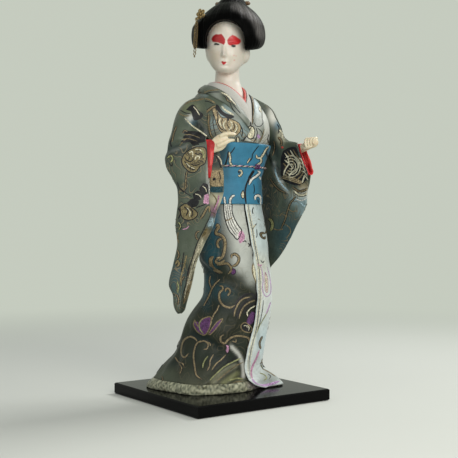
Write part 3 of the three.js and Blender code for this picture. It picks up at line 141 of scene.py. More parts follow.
# Neck in the head's own frame: height and radius, wider where it goes down into the collars
NECK_STATIONS = [
    (322, 22), (330, 21.6), (336, 20), (341, 18.4), (345, 17.2), (348.5, 16.2), (352, 15), (357, 14.1),
    (364, 13.7),
    (386, 13.6),
]
EYE_SPREAD = 9.3
EYE_HEIGHT = 390.7
HEAD_LEAN = 0.107

# Skull and hair in the head's own frame: height, middles, half width and half depth
SKULL_STATIONS = [
    (360, -16, 5, 5), (363, -14.5, 10.5, 11.5), (368, -11.5, 15.5, 17), (375, -8, 20, 21.5),
    (383, -4.5, 23.8, 25.5), (391, -2, 25.4, 28), (400, 0, 25.8, 30), (413, 0.5, 25.2, 29.5),
    (424, 1, 22.5, 26), (432, 1.5, 17, 20), (437, 2, 10, 12), (439, 2, 4, 5),
]
HAIR_STATIONS = [
    (388, 0, 4, 35, 34), (389, 0, 3.8, 38, 37.6), (391.5, 0.3, 3.4, 40.5, 40), (396, 0.8, 3, 42.3, 41.8),
    (405, 1.2, 2, 43.2, 43),
    (415, 1.2, 2, 42.2, 43), (423, 2.4, 2, 38, 40), (429, 3.4, 2.5, 33, 36), (434, 3.6, 3, 28.4, 31),
    (439, 3.8, 4, 22.6, 25.5), (443.5, 4.2, 6, 17.8, 20), (447.5, 4.4, 7, 14.8, 17), (451, 4.6, 9, 12, 14),
    (453, 4.6, 10, 7, 8),
]

# Colours, as linear values of what the photograph shows
COLOURS = {
    "green": (0.072, 0.09, 0.062), "pale": (0.5, 0.52, 0.48), "teal": (0.02, 0.07, 0.09),
    "deep": (0.022, 0.034, 0.032), "blue": (0.035, 0.19, 0.315), "light_blue": (0.38, 0.53, 0.58),
    "gold": (0.21, 0.165, 0.09), "cream": (0.6, 0.57, 0.41), "white": (0.66, 0.66, 0.6),
    "ochre": (0.19, 0.155, 0.075), "sand": (0.35, 0.28, 0.16), "black": (0.012, 0.012, 0.014),
    "purple": (0.1, 0.038, 0.115),
    "pink": (0.5, 0.26, 0.38), "lavender": (0.46, 0.3, 0.5), "olive": (0.26, 0.27, 0.12),
    "red": (0.56, 0.018, 0.022), "coral": (0.52, 0.065, 0.05), "hem": (0.42, 0.42, 0.29),
    "hem_shade": (0.09, 0.1, 0.065), "bark": (0.017, 0.019, 0.011), "marsh": (0.028, 0.034, 0.023),
    # The ash grey on the next line is a painted highlight for the hair.
    "ink": (0.008, 0.016, 0.016), "ash": (0.2, 0.19, 0.18), "jet": (0.001, 0.001, 0.001),
    "mist": (0.62, 0.68, 0.66),
    # These two reds are painted shade and a painted highlight for the cuffs' linings.
    "cuff_painted_shade": (0.17, 0.004, 0.006), "cuff_painted_highlight": (0.7, 0.13, 0.11),
}


# Curves and numbers

def smooth_curve(stations):
    """A smooth curve through stations that never overshoots them, as a function of their first number."""
    table = np.array(stations, float)
    at, values = table[:, 0], table[:, 1:]
    steps = np.diff(values, axis=0) / np.diff(at)[:, None]
    slopes = np.vstack([steps[:1], np.zeros_like(steps[1:]), steps[-1:]])
    before, after = steps[:-1], steps[1:]
    same = before * after > 0
    slopes[1:-1][same] = 2 * (before * after)[same] / (before + after)[same]

    def measure(position):
        held = np.clip(position, at[0], at[-1])
        i = np.clip(np.searchsorted(at, held, side="right") - 1, 0, len(at) - 2)
        span = (at[i + 1] - at[i])[..., None]
        t = (held - at[i])[..., None] / span
        mixed = (
            values[i] * (2 * t**3 - 3 * t**2 + 1) + slopes[i] * span * (t**3 - 2 * t**2 + t)
            + values[i + 1] * (3 * t**2 - 2 * t**3) + slopes[i + 1] * span * (t**3 - t**2)
        )
        return np.moveaxis(mixed, -1, 0)

    return measure


def smoothstep(value, low, high):
    """An even rise from 0 at one value to 1 at another, soft at both ends."""
    t = np.clip((value - low) / (high - low), 0, 1)
    return t * t * (3 - 2 * t)


def apart(a, b):
    """The angle from b to a, between -180 and 180 degrees."""
    return (np.asarray(a) - b + 180) % 360 - 180


def hill(distance, spread):
    """A round bump, 1 in its middle and near 0 from twice its spread."""
    return np.exp(-((distance / spread) ** 2))


def lerp(a, b, t):
    """From a to b, as t goes from 0 to 1."""
    return a + (b - a) * t


def points_of(x, y, z):
    """Points from their x, y and z, any of which may be one value for all."""
    return np.stack(np.broadcast_arrays(x, y, z), -1).astype(float)


def parts_of(points):
    """The x, y and z of points, each as an array of its own."""
    return np.moveaxis(np.asarray(points, float), -1, 0)


def spun(x, y, degrees):
    """Flat coordinates turned about their origin."""
    turn = math.radians(degrees)
    return x * math.cos(turn) - y * math.sin(turn), x * math.sin(turn) + y * math.cos(turn)


def around(columns, start=0, whole=360):
    """Angles all the way round, as one row."""
    return np.linspace(start, start + whole, columns, endpoint=False)[None, :]


def levels(*spans):
    """One column of levels, from spans that each have a start, an end and a count."""
    return np.concatenate([np.linspace(*span) for span in spans])[:, None]


def squared(wave, sharpness):
    """A sine or cosine whose round becomes squarer as the sharpness falls below 1."""
    return np.sign(wave) * np.abs(wave) ** sharpness


def line_distance(x, y, line):
    """How far flat places lie from a line of points."""
    nearest = np.full(np.shape(x), np.inf)
    for (x0, y0), (x1, y1) in zip(line, line[1:]):
        step_x, step_y = x1 - x0, y1 - y0
        t = np.clip(((x - x0) * step_x + (y - y0) * step_y) / (step_x**2 + step_y**2), 0, 1)
        nearest = np.minimum(nearest, np.hypot(x - x0 - step_x * t, y - y0 - step_y * t))
    return nearest


def ripples(seed, *coordinates, waves=7, low=1.0, high=3.0):
    """A smooth seeded wobble between about -1 and 1 over any coordinates."""
    random = np.random.RandomState(seed)
    total = 0
    for i in range(waves):
        turns = random.uniform(low, high, len(coordinates)) * random.choice([-1, 1], len(coordinates))
        total = total + np.sin(sum(c * k for c, k in zip(coordinates, turns)) + random.uniform(0, 6.28))
    return total / waves * 1.6


def round_ripples(seed, angle, lobes, *others, **settings):
    """Ripples that join up round the doll, where more lobes make them finer."""
    turn = np.radians(angle)
    return ripples(seed, np.sin(turn) * lobes, np.cos(turn) * lobes, *others, **settings)


def spline(points, step=0.8):
    """Points close together on a smooth line through the given ones."""
    points = np.array(points, float)
    if len(points) == 2:
        count = max(2, int(np.linalg.norm(points[1] - points[0]) / step) + 1)
        return points[0] + (points[1] - points[0]) * np.linspace(0, 1, count)[:, None]
    padded = np.vstack([2 * points[0] - points[1], points, 2 * points[-1] - points[-2]])
    line = []
    for i in range(1, len(padded) - 2):
        a, b, c, d = padded[i - 1 : i + 3]
        count = max(2, int(np.linalg.norm(c - b) / step) + 1)
        t = np.linspace(0, 1, count, endpoint=False)[:, None]
        square, cube = 2 * a - 5 * b + 4 * c - d, 3 * b - a - 3 * c + d
        line.append(0.5 * (2 * b + (c - a) * t + square * t**2 + cube * t**3))
    return np.vstack(line + [points[-1:]])


# Surfaces of the dressed figure

figure = smooth_curve(FIGURE_STATIONS)


def hem_reach(angle, height):
    """How far the trailing corners carry the hem outward."""
    return sum(
        reach * np.clip(1 - height / fade, 0, 1) ** 1.3 * hill(apart(angle, corner), spread)
        for corner, reach, spread, fade in HEM_CORNERS
    )


def figure_point(angle, height, outward=0.0):
    """A place on the dressed figure, or so far outward from it."""
    angle, height, outward = np.broadcast_arrays(np.asarray(angle, float), height, outward)
    middle_x, middle_y, half_width, half_depth = figure(height)
    reach = outward + hem_reach(angle, height)
    turn = np.radians(angle)
    return points_of(
        middle_x + (half_width + reach) * np.sin(turn), middle_y - (half_depth + reach) * np.cos(turn), height
    )


def distance_to_line(angle, height, line):
    """How far places on the figure lie from a line of angles and heights, measured round the body."""
    girth = figure(height)[2]
    nearest = np.full(np.shape(angle), np.inf)
    for (a0, h0), (a1, h1) in zip(line, line[1:]):
        from_x, from_y = np.radians(apart(a0, angle)) * girth, h0 - height
        step_x, step_y = np.radians(apart(a1, angle)) * girth - from_x, h1 - height - from_y
        t = np.clip(-(from_x * step_x + from_y * step_y) / (step_x**2 + step_y**2), 0, 1)
        nearest = np.minimum(nearest, np.hypot(from_x + step_x * t, from_y + step_y * t))
    return nearest


def skirt_point(angle, height, outward=0.0):
    """The skirt's surface with its folds."""
    angle, height, outward = np.broadcast_arrays(np.asarray(angle, float), np.asarray(height, float), outward)
    folds = sum(
        depth * hill(distance_to_line(angle, height, line), width) for depth, width, line in SKIRT_FOLDS
    )
    return figure_point(angle, height, outward + folds)


def collar_line(collar, angle):
    """A collar's rim round the neck, lowest where its two ends cross in front."""
    away = np.abs(apart(angle, collar["angle"]))
    reach = lerp(collar["nape_reach"], collar["front_reach"], np.exp(-away / 30))
    turn = np.radians(angle)
    height = lerp(collar["nape"], collar["front"], np.exp(-away / 40))
    return points_of(NECK[0] + reach * np.sin(turn), NECK[1] - reach * np.cos(turn), height)


def unit(vectors):
    """Vectors of the same direction, 1 long."""
    return vectors / np.maximum(np.linalg.norm(vectors, axis=-1, keepdims=True), 1e-9)


def neckline(angle):
    """Where the bodice ends, just below the outer collar's rim."""
    slope = unit(collar_line(OUTER_COLLAR, angle) - collar_line(WHITE_COLLAR, angle))
    return collar_line(OUTER_COLLAR, angle) + 3 * slope


def chest_point(angle, along):
    """The bodice's outer face from the top of the obi over the chest and shoulders to the neckline."""
    angle, along = np.broadcast_arrays(np.asarray(angle, float), np.asarray(along, float))
    start, end = figure_point(angle, BODICE_CURVE_START), neckline(angle)
    neck = np.array([NECK[0], NECK[1], 0])
    control = (start - neck) * 1.15 + neck
    control[..., 2] = end[..., 2] - 0.3 * (end[..., 2] - start[..., 2])
    t = along[..., None]
    return start * (1 - t) ** 2 + 2 * control * t * (1 - t) + end * t**2


def chest_out(angle, along, outward):
    """A place so far outward from the bodice's face."""
    low = np.minimum(along, 0.98)
    round_it = chest_point(np.add(angle, 1), low) - chest_point(np.add(angle, -1), low)
    up = chest_point(angle, low + 0.02) - chest_point(angle, low)
    normal = unit(np.cross(round_it, up))
    return chest_point(angle, along) + normal * np.asarray(outward, float)[..., None]


def chest_length(angle):
    """How far the bodice's face runs at an angle, from its foot to the neckline."""
    halfway = chest_point(angle, 0.5)
    return (
        np.linalg.norm(chest_point(angle, 0) - halfway, axis=-1)
        + np.linalg.norm(chest_point(angle, 1) - halfway, axis=-1)
    )


def sleeve_point(sleeve, along, across, height):
    """From a sleeve's own plane to its place on the doll."""
    x, y = spun(along, sleeve["side"] * across, -sleeve["heading"])
    return points_of(sleeve["x"] + x, y, height)


# Meshes

def on_board(points):
    """From heights above the board to the frame's own."""
    return np.asarray(points) + np.array([0, 0, BOARD_TOP])


def on_head(points):
    """From the head's own frame, in which it faces -Y, to its turned place on the neck."""
    x, y, z = parts_of(points)
    x, y = spun(x, y, -HEAD_TURN)
    return points_of(NECK[0] + x, NECK[1] + y, z + BOARD_TOP)


def make_piece(name, points, faces, material, smooth=True):
    """A mesh in the scene from points in millimetres."""
    mesh = bpy.data.meshes.new(name)
    mesh.from_pydata((np.asarray(points).reshape(-1, 3) * MM).tolist(), [], [tuple(f) for f in faces])
    mesh.materials.append(material)
    if smooth:
        mesh.polygons.foreach_set("use_smooth", [True] * len(mesh.polygons))
    mesh.update()
    piece = bpy.data.objects.new(name, mesh)
    bpy.context.scene.collection.objects.link(piece)
    return piece


def grid_faces(rows, columns, wrap=False, start=0):
    """The quads of a grid whose columns may join up into a ring."""
    i, j = np.meshgrid(np.arange(rows - 1), np.arange(columns if wrap else columns - 1), indexing="ij")
    after = (j + 1) % columns
    corners = [i * columns + j, i * columns + after, (i + 1) * columns + after, (i + 1) * columns + j]
    return (np.stack(corners, -1).reshape(-1, 4) + start).tolist()


def grid_piece(name, points, material, wrap=False, caps=False):
    """One piece from one grid of points."""
    return join_grids(name, [points], material, wrap, caps)


def solid_grid(name, points, material):
    """A closed solid from rings of points."""
    return grid_piece(name, points, material, wrap=True, caps=True)


def modify(piece, kind, **settings):
    """Adds a modifier to a piece."""
    modifier = piece.modifiers.new(kind.title(), kind)
    for key, value in settings.items():
        setattr(modifier, key, value)
    return modifier


def thicken(piece, cloth, offset=-1):
    """Gives a sheet its thickness: inward from its face, or half to each side with an offset of 0."""
    modify(piece, "SOLIDIFY", thickness=CLOTH_THICKNESS[cloth] * MM, offset=offset)
    return piece


def baked(piece):
    """Applies every modifier of a piece."""
    evaluated = piece.evaluated_get(bpy.context.evaluated_depsgraph_get())
    mesh = bpy.data.meshes.new_from_object(evaluated)
    piece.modifiers.clear()
    piece.data = mesh
    return piece


def remeshed(piece, voxel, smoothing):
    """One closed skin round everything in the piece, with its edges softened."""
    modify(piece, "REMESH", mode="VOXEL", voxel_size=voxel * MM, use_smooth_shade=True)
    modify(piece, "SMOOTH", factor=0.5, iterations=smoothing)
    return baked(piece)


def vertices_of(piece):
    """A piece's vertices in millimetres, and their normals."""
    mesh = piece.data
    places, normals = np.zeros(len(mesh.vertices) * 3), np.zeros(len(mesh.vertices) * 3)
    mesh.vertices.foreach_get("co", places)
    mesh.vertices.foreach_get("normal", normals)
    return places.reshape(-1, 3) / MM, normals.reshape(-1, 3)


def tube_points(line, radius, sides=8):
    """Rings of a round tube along a line, whose radius may change along it."""
    line = np.asarray(line, float)
    along = unit(np.gradient(line, axis=0))
    across = unit(np.cross(along, UPWARD + np.array([0.01, 0.02, 0])))
    up = np.cross(across, along)
    turn = np.linspace(0, 2 * math.pi, sides, endpoint=False)
    radius = np.broadcast_to(radius, len(line))[:, None, None]
    return line[:, None] + radius * (
        across[:, None] * np.cos(turn)[:, None] + up[:, None] * np.sin(turn)[:, None]
    )


def join_grids(name, grids, material, wrap=True, caps=True):
    """One piece from several grids of points."""
    faces, start = [], 0
    for grid in grids:
        rows, columns = grid.shape[:2]
        faces += grid_faces(rows, columns, wrap, start)
        if caps:
            last = start + (rows - 1) * columns
            faces += [list(range(start, start + columns))[::-1], list(range(last, last + columns))]
        start += rows * columns
    return make_piece(name, np.vstack([grid.reshape(-1, 3) for grid in grids]), faces, material)


def ball_turns(rows, columns, first, last):
    """The angles round and down a ball, whose two ends stay open for a flat cap."""
    return np.meshgrid(np.linspace(0, 2 * math.pi, columns, endpoint=False), np.linspace(first, last, rows))


def ball_grid(middle, radii, rows=10, columns=12):
    """A ball or an egg, from its middle and its radii."""
    turn, tilt = ball_turns(rows, columns, 0.12, 3.02)
    ball = points_of(np.sin(tilt) * np.cos(turn), np.sin(tilt) * np.sin(turn), -np.cos(tilt))
    return np.asarray(middle) + ball * np.broadcast_to(radii, 3)


# Materials

BLACK, WHITE = (0, 0, 0), (1, 1, 1)


class Nodes:
    """A material's node tree, with short calls for adding to it."""

    def __init__(self, name, roughness, **settings):
        self.material = bpy.data.materials.new(name)
        self.material.use_nodes = True
        self.tree = self.material.node_tree
        self.surface = self.tree.nodes["Principled BSDF"]
        self.surface.inputs["Roughness"].default_value = roughness
        for key, value in settings.items():
            self.surface.inputs[key.replace("_", " ")].default_value = value
        self.place = self.add("ShaderNodeTexCoord").outputs["Object"]

    def add(self, kind, inputs=None, **settings):
        node = self.tree.nodes.new(kind)
        for key, value in settings.items():
            setattr(node, key, value)
        for key, value in (inputs or {}).items():
            self.join(value, node.inputs[key])
        return node

    def join(self, value, socket):
        if isinstance(value, bpy.types.NodeSocket):
            self.tree.links.new(value, socket)
        else:
            socket.default_value = value

    def math(self, operation, *values):
        node = self.add("ShaderNodeMath", operation=operation)
        for value, socket in zip(values, node.inputs):
            self.join(value, socket)
        return node.outputs[0]

    def noise(self, scale, detail=3.0, place=None, rough=0.55):
        inputs = {"Vector": place or self.place, "Scale": scale, "Detail": detail, "Roughness": rough}
        return self.add("ShaderNodeTexNoise", inputs).outputs["Fac"]

    def stretched(self, x, y, z):
        return self.add("ShaderNodeMapping", {"Vector": self.place, "Scale": (x, y, z)}).outputs["Vector"]

    def ramp(self, value, *stops):
        node = self.add("ShaderNodeValToRGB", {"Fac": value})
        elements = node.color_ramp.elements
        while len(elements) < len(stops):
            elements.new(0.5)
        for element, (position, colour) in zip(elements, stops):
            element.position = position
            element.color = (*colour, 1) if len(colour) == 3 else colour
        return node.outputs["Color"]

    def between(self, value, low, high):
        """Black up to one value, white from another, and grey between them."""
        return self.ramp(value, (low, BLACK), (high, WHITE))

    def mix(self, amount, a, b, blend="MIX"):
        node = self.add("ShaderNodeMix", data_type="RGBA", blend_type=blend)
        self.join(amount, node.inputs["Factor"])
        for value, key in ((a, "A"), (b, "B")):
            socket = [s for s in node.inputs if s.name == key and s.type == "RGBA"][0]
            self.join((*value, 1) if isinstance(value, tuple) and len(value) == 3 else value, socket)
        return [s for s in node.outputs if s.type == "RGBA"][0]

    def attribute(self, name):
        return self.add("ShaderNodeAttribute", attribute_name=name).outputs["Color"]

    def colour(self, value):
        self.join((*value, 1) if isinstance(value, tuple) else value, self.surface.inputs["Base Color"])

    def bump(self, height, distance, strength=1.0):
        inputs = {"Height": height, "Distance": distance, "Strength": strength}
        earlier = self.surface.inputs["Normal"].links
        node = self.add("ShaderNodeBump", inputs)
        if earlier:
            self.tree.links.new(earlier[0].from_socket, node.inputs["Normal"])
        self.tree.links.new(node.outputs["Normal"], self.surface.inputs["Normal"])

    def weave(self, pitch):
        """The over and under of crossing threads, about 0 to 1."""
        inputs = {"Vector": self.place, "Scale": 0.32 / pitch, "Distortion": 1.5, "Detail": 2.0}
        waves = [
            self.add("ShaderNodeTexWave", inputs, wave_type="BANDS", bands_direction=direction).outputs["Fac"]
            for direction in ("X", "Z")
        ]
        return self.math("MULTIPLY", *waves)


def figured(nodes, base, amount):
    """Fine woven figures: thin dark and golden lines that swirl in patches over the ground."""
    field = nodes.noise(42, 1.5)
    place = nodes.math("FRACT", nodes.math("MULTIPLY", field, 13))
    patches = nodes.between(nodes.noise(26, 1), 0.5, 0.56)
    dark = nodes.ramp(place, (0.36, BLACK), (0.5, WHITE), (0.58, BLACK))
    bright = nodes.ramp(place, (0.54, BLACK), (0.64, WHITE), (0.76, BLACK))
    amount = nodes.math("MULTIPLY", patches, amount)
    inked = nodes.mix(nodes.math("MULTIPLY", dark, amount), base, (0.03, 0.035, 0.035))
    return nodes.mix(nodes.math("MULTIPLY", bright, amount), inked, COLOURS["gold"])


THREAD_DEPTH = 0.00008


def woven_cloth(name, colour=None, roughness=0.55, sheen=0.25, pitch=0.0007, mottle=0.5, figures=0.0,
                shine=0.35):
    """Woven cloth in one colour, or in the colours painted on the mesh."""
    nodes = Nodes(name, roughness, Sheen_Weight=sheen, Sheen_Roughness=0.4, Specular_IOR_Level=shine)
    base = (*colour, 1) if colour else nodes.attribute("paint")
    if figures:
        base = figured(nodes, base, figures)
    dark = nodes.mix(1.0, base, (0.55, 0.57, 0.55), "MULTIPLY")
    light = nodes.mix(1.0, base, (1.3, 1.3, 1.26), "MULTIPLY")
    cloud = nodes.between(nodes.noise(90, 5), 0.3, 0.7)
    mixed = nodes.mix(nodes.math("MULTIPLY", cloud, mottle), dark, light)
    mixed = nodes.mix(1 - mottle, mixed, base)
    threads = nodes.weave(pitch)
    # Where the weave's threads rise, the colour is lightened: a painted highlight on the raised threads.
    nodes.colour(nodes.mix(nodes.math("MULTIPLY", threads, 0.35), mixed, light))
    nodes.bump(nodes.noise(48, 3), 0.003, 0.3)
    nodes.bump(nodes.noise(150, 4), 0.0012, 0.45)
    nodes.bump(threads, THREAD_DEPTH, 0.8)
    return nodes.material


def thread(name, colour, metallic):
    """Satin stitches: short ridges across the line of thread, painted bright on their tops as highlights and
    dull between them as shade, worn dull in patches.
    """
    nodes = Nodes(name, 0.5, Metallic=metallic, Specular_IOR_Level=0.25)
    dull, bright = tuple(c * 0.5 for c in colour), tuple(min(1, c * 1.35) for c in colour)
    strands, worn = nodes.noise(750, 2), nodes.noise(180, 4)
    stitches = nodes.between(strands, 0.38, 0.6)
    wear = nodes.ramp(worn, (0.4, BLACK), (0.7, (0.6, 0.6, 0.6)))
    nodes.colour(nodes.mix(wear, nodes.mix(stitches, dull, bright), dull))
    nodes.bump(strands, 0.00012, 0.6)
    return nodes.material


def lacquer():
    """Black lacquer with a little dust on it."""
    nodes = Nodes("lacquer", 0.12, IOR=1.14)
    dust = nodes.ramp(nodes.noise(900, 6), (0.6, BLACK), (0.9, (0.25, 0.25, 0.25)))
    nodes.colour(nodes.mix(dust, (0.003, 0.003, 0.003), (0.018, 0.017, 0.016)))
    nodes.bump(nodes.noise(60, 2), 0.0002, 0.15)
    return nodes.material


def gofun():
    """Polished shell white with painted red make-up and painted shade, a little yellowed."""
    nodes = Nodes("gofun", 0.38, Subsurface_Weight=0.05, Subsurface_Scale=0.002, Specular_IOR_Level=0.5)
    age = nodes.between(nodes.noise(55, 5), 0.42, 0.75)
    skin = nodes.mix(nodes.math("MULTIPLY", age, 0.35), (0.61, 0.56, 0.49), (0.45, 0.39, 0.29))
    painted = nodes.add("ShaderNodeAttribute", attribute_name="paint").outputs
    nodes.colour(nodes.mix(painted["Alpha"], skin, painted["Color"]))
    nodes.bump(nodes.noise(700, 4), 0.0001, 0.3)
    return nodes.material


def ivory():
    """The yellowed gesso of the hands."""
    nodes = Nodes("ivory", 0.42, Subsurface_Weight=0.08, Subsurface_Scale=0.002)
    nodes.colour(nodes.ramp(nodes.noise(120, 4), (0.35, (0.58, 0.48, 0.32)), (0.65, (0.69, 0.62, 0.45))))
    nodes.bump(nodes.noise(900, 3), 0.0001, 0.4)
    return nodes.material


def combed_hair():
    """Fine strands that run down from the topknot, in the hair's own round direction."""
    nodes = Nodes("combed_hair", 0.34, Specular_IOR_Level=0.02)
    round_it = nodes.attribute("comb")
    strands = nodes.noise(1.0, 4, place=round_it, rough=0.7)
    coarse = nodes.noise(0.22, 2, place=round_it)
    lit = nodes.ramp(strands, (0.36, (0.1, 0.1, 0.1)), (0.62, WHITE))
    # The painted colour, black with painted highlights, shows only along the brighter strands, so the
    # highlights fall in streaks.
    nodes.colour(nodes.mix(lit, COLOURS["jet"], nodes.attribute("paint")))
    nodes.bump(coarse, 0.002, 0.6)
    nodes.bump(strands, 0.0005, 0.8)
    return nodes.material


def aged_metal(name, colour, dark, roughness):
    """Metal with darker worn patches."""
    nodes = Nodes(name, roughness, Metallic=0.85)
    wear = nodes.between(nodes.noise(700, 5), 0.35, 0.65)
    nodes.colour(nodes.mix(wear, dark, colour))
    nodes.bump(nodes.noise(1200, 3), 0.0001, 0.6)
    return nodes.material


def grained(name, roughness, across, down, detail, dark, light, depth, strength):
    """Wood or straw, whose grain runs up and down."""
    nodes = Nodes(name, roughness)
    grain = nodes.noise(1.0, detail, place=nodes.stretched(across, across, down))
    nodes.colour(nodes.mix(grain, dark, light))
    nodes.bump(grain, depth, strength)
    return nodes.material


def glossy(name, dark, light):
    """Clear polish over two tones."""
    nodes = Nodes(name, 0.12, Coat_Weight=0.6)
    nodes.colour(nodes.mix(nodes.noise(250, 4), dark, light))
    nodes.bump(nodes.noise(500, 2), 0.00005, 0.3)
    return nodes.material


def make_materials():
    """Every material by the name that the pieces use."""
    made = {
        "lacquer": lacquer(), "gofun": gofun(), "ivory": ivory(), "hair": combed_hair(),
        "wood": grained("plain_wood", 0.6, 600, 20, 5, (0.3, 0.17, 0.07), (0.55, 0.37, 0.19), 0.0002, 0.5),
        "straw": grained("packed_straw", 0.9, 900, 60, 4, (0.3, 0.2, 0.07), (0.62, 0.48, 0.22), 0.001, 0.8),
        "brocade": woven_cloth("brocade", roughness=0.42, sheen=0.1, figures=1.0),
        "skirt": woven_cloth("skirt_satin", roughness=0.42, sheen=0.0, figures=0.25, shine=0.16),
        "pale": woven_cloth("pale_brocade", roughness=0.42, sheen=0.1, figures=0.2),
        "obi": woven_cloth("obi_cloth", roughness=0.6, sheen=0.1, pitch=0.0009, mottle=0.6),
        "hem": woven_cloth("hem_cloth", roughness=0.5, sheen=0.1, figures=0.7),
        "satin": woven_cloth("red_satin", roughness=0.34, sheen=0.05, pitch=0.0004, mottle=0.3),
        "coral": woven_cloth("coral_cloth", COLOURS["coral"], pitch=0.0005, mottle=0.3),
        "collar": woven_cloth("white_cloth", (0.46, 0.45, 0.41), roughness=0.8, pitch=0.0006, mottle=0.2),
        "gold": aged_metal("antique_gold", (0.38, 0.27, 0.12), (0.06, 0.04, 0.02), 0.42),
        "steel": aged_metal("bare_steel", (0.55, 0.55, 0.56), (0.3, 0.29, 0.28), 0.35),
        "tortoise": glossy("tortoise", (0.045, 0.02, 0.008), (0.22, 0.12, 0.05)),
        "eye": glossy("eye_black", (0.004, 0.004, 0.004), (0.012, 0.01, 0.01)),
    }
    for name in THREADS:
        metallic = 0.3 if name == "gold" else 0.0
        made["thread_" + name] = thread("thread_" + name, COLOURS[name], metallic)
    return made


THREADS = [
    "black", "gold", "cream", "white", "ochre", "sand", "purple", "pink", "lavender", "light_blue", "teal",
    "olive", "coral",
]


# Camera, and where a pixel of the photograph lies

def make_camera():
    """The camera from which the photograph was taken."""
    data = bpy.data.cameras.new("camera")
    data.sensor_width = SENSOR_WIDTH
    data.lens = FOCAL_PIXELS / IMAGE_SIDE * SENSOR_WIDTH
    data.clip_start = 0.01
    camera = bpy.data.objects.new("camera", data)
    camera.location = Vector(CAMERA_PLACE * MM)
    camera.rotation_euler = (math.pi / 2, 0, -math.radians(CAMERA_TURN))
    bpy.context.scene.collection.objects.link(camera)
    bpy.context.scene.camera = camera


def in_picture(points):
    """The pixels at which points in the row frame are seen."""
    offset = np.asarray(points) - CAMERA_PLACE
    depth = offset @ FORWARD
    middle = IMAGE_SIDE / 2
    return np.stack([
        middle + FOCAL_PIXELS * (offset @ RIGHTWARD) / depth, middle - FOCAL_PIXELS * offset[..., 2] / depth,
    ], -1)


def faces_camera(points, normals):
    """From 0 where a surface turns away from the camera to 1 where it faces it."""
    toward = unit(CAMERA_PLACE - points)
    return np.clip((toward * normals).sum(-1) * 4, 0, 1)


def paint(piece, base, spots=(), mask=None, inner_spots=()):
    """Gives each vertex a colour: a base, then soft spots seen at pixels of the photograph.

    The inner spots are seen on the cloth's inner face."""
    points, normals = vertices_of(piece)
    colour = np.array(base if np.ndim(base) == 2 else [base] * len(points), float)
    seen = in_picture(points)
    facing = faces_camera(points, normals)
    for listed, shown in ((spots, facing), (inner_spots, faces_camera(points, -normals))):
        for x, y, radius_x, radius_y, name, strength in listed:
            away = ((seen[:, 0] - x) / radius_x) ** 2 + ((seen[:, 1] - y) / radius_y) ** 2
            amount = (np.exp(-(away**1.5)) * strength * shown)[:, None]
            colour = colour * (1 - amount) + np.array(COLOURS[name]) * amount
    alpha = np.ones(len(points)) if mask is None else mask
    attribute = piece.data.color_attributes.new("paint", "FLOAT_COLOR", "POINT")
    attribute.data.foreach_set("color", np.column_stack([colour, alpha]).ravel())


def cloudy(points, seed, *names):
    """A base of two or three colours that drift into each other over a cloth."""
    x, y, z = (points * 0.045).T
    first = (ripples(seed, x, y, z) * 0.5 + 0.5).clip(0, 1)[:, None]
    second = (ripples(seed + 1, x, y, z, low=1.5, high=4) * 0.9).clip(0, 1)[:, None]
    colours = [np.array(COLOURS[name]) for name in names]
    mixed = colours[0] * (1 - first) + colours[1] * first
    return mixed * (1 - second * 0.6) + colours[2] * second * 0.6


# Pieces of the dress

def put_on(piece, body="figure", replaced=()):
    """Says which body a piece rides with and which nodes it stands for."""
    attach(piece, body)
    if replaced:
        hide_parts(*replaced)
    return piece


def make_skirt(materials):
    """The skirt, with fine wrinkles, and a broad drape towards its hem."""
    angle = around(260)
    height = levels((HEM_HEIGHT + GAP, 24, 12), (26, WAIST_SEAM, 110))
    wrinkle = 0.55 * round_ripples(3, angle, 3, height / 16) * smoothstep(220 - height, 0, 30)
    drape = 0.7 * round_ripples(4, angle, 6, height / 60) * smoothstep(120 - height, 0, 90)
    surface = on_board(skirt_point(angle, height, wrinkle + drape))
    skirt = grid_piece("kimono_skirt_cloth", surface, materials["skirt"], True)
    places = vertices_of(skirt)[0]
    low = 0.16 * smoothstep(BOARD_TOP + 34 - places[:, 2:], 0, 30)
    # The spots give the skirt's colours, with painted shade in its folds and painted highlights on its satin.
    paint(skirt, lerp(cloudy(places, 11, "bark", "marsh", "ink"), np.array(COLOURS["hem"]), low), SKIRT_SPOTS)
    return put_on(thicken(skirt, "skirt"), replaced=["kimono_skirt"])


def streak(places, radius, name, strength):
    """Soft spots close together along a line of pixels."""
    return [(x, y, radius, radius, name, strength) for x, y in spline(places, radius * 0.7)]


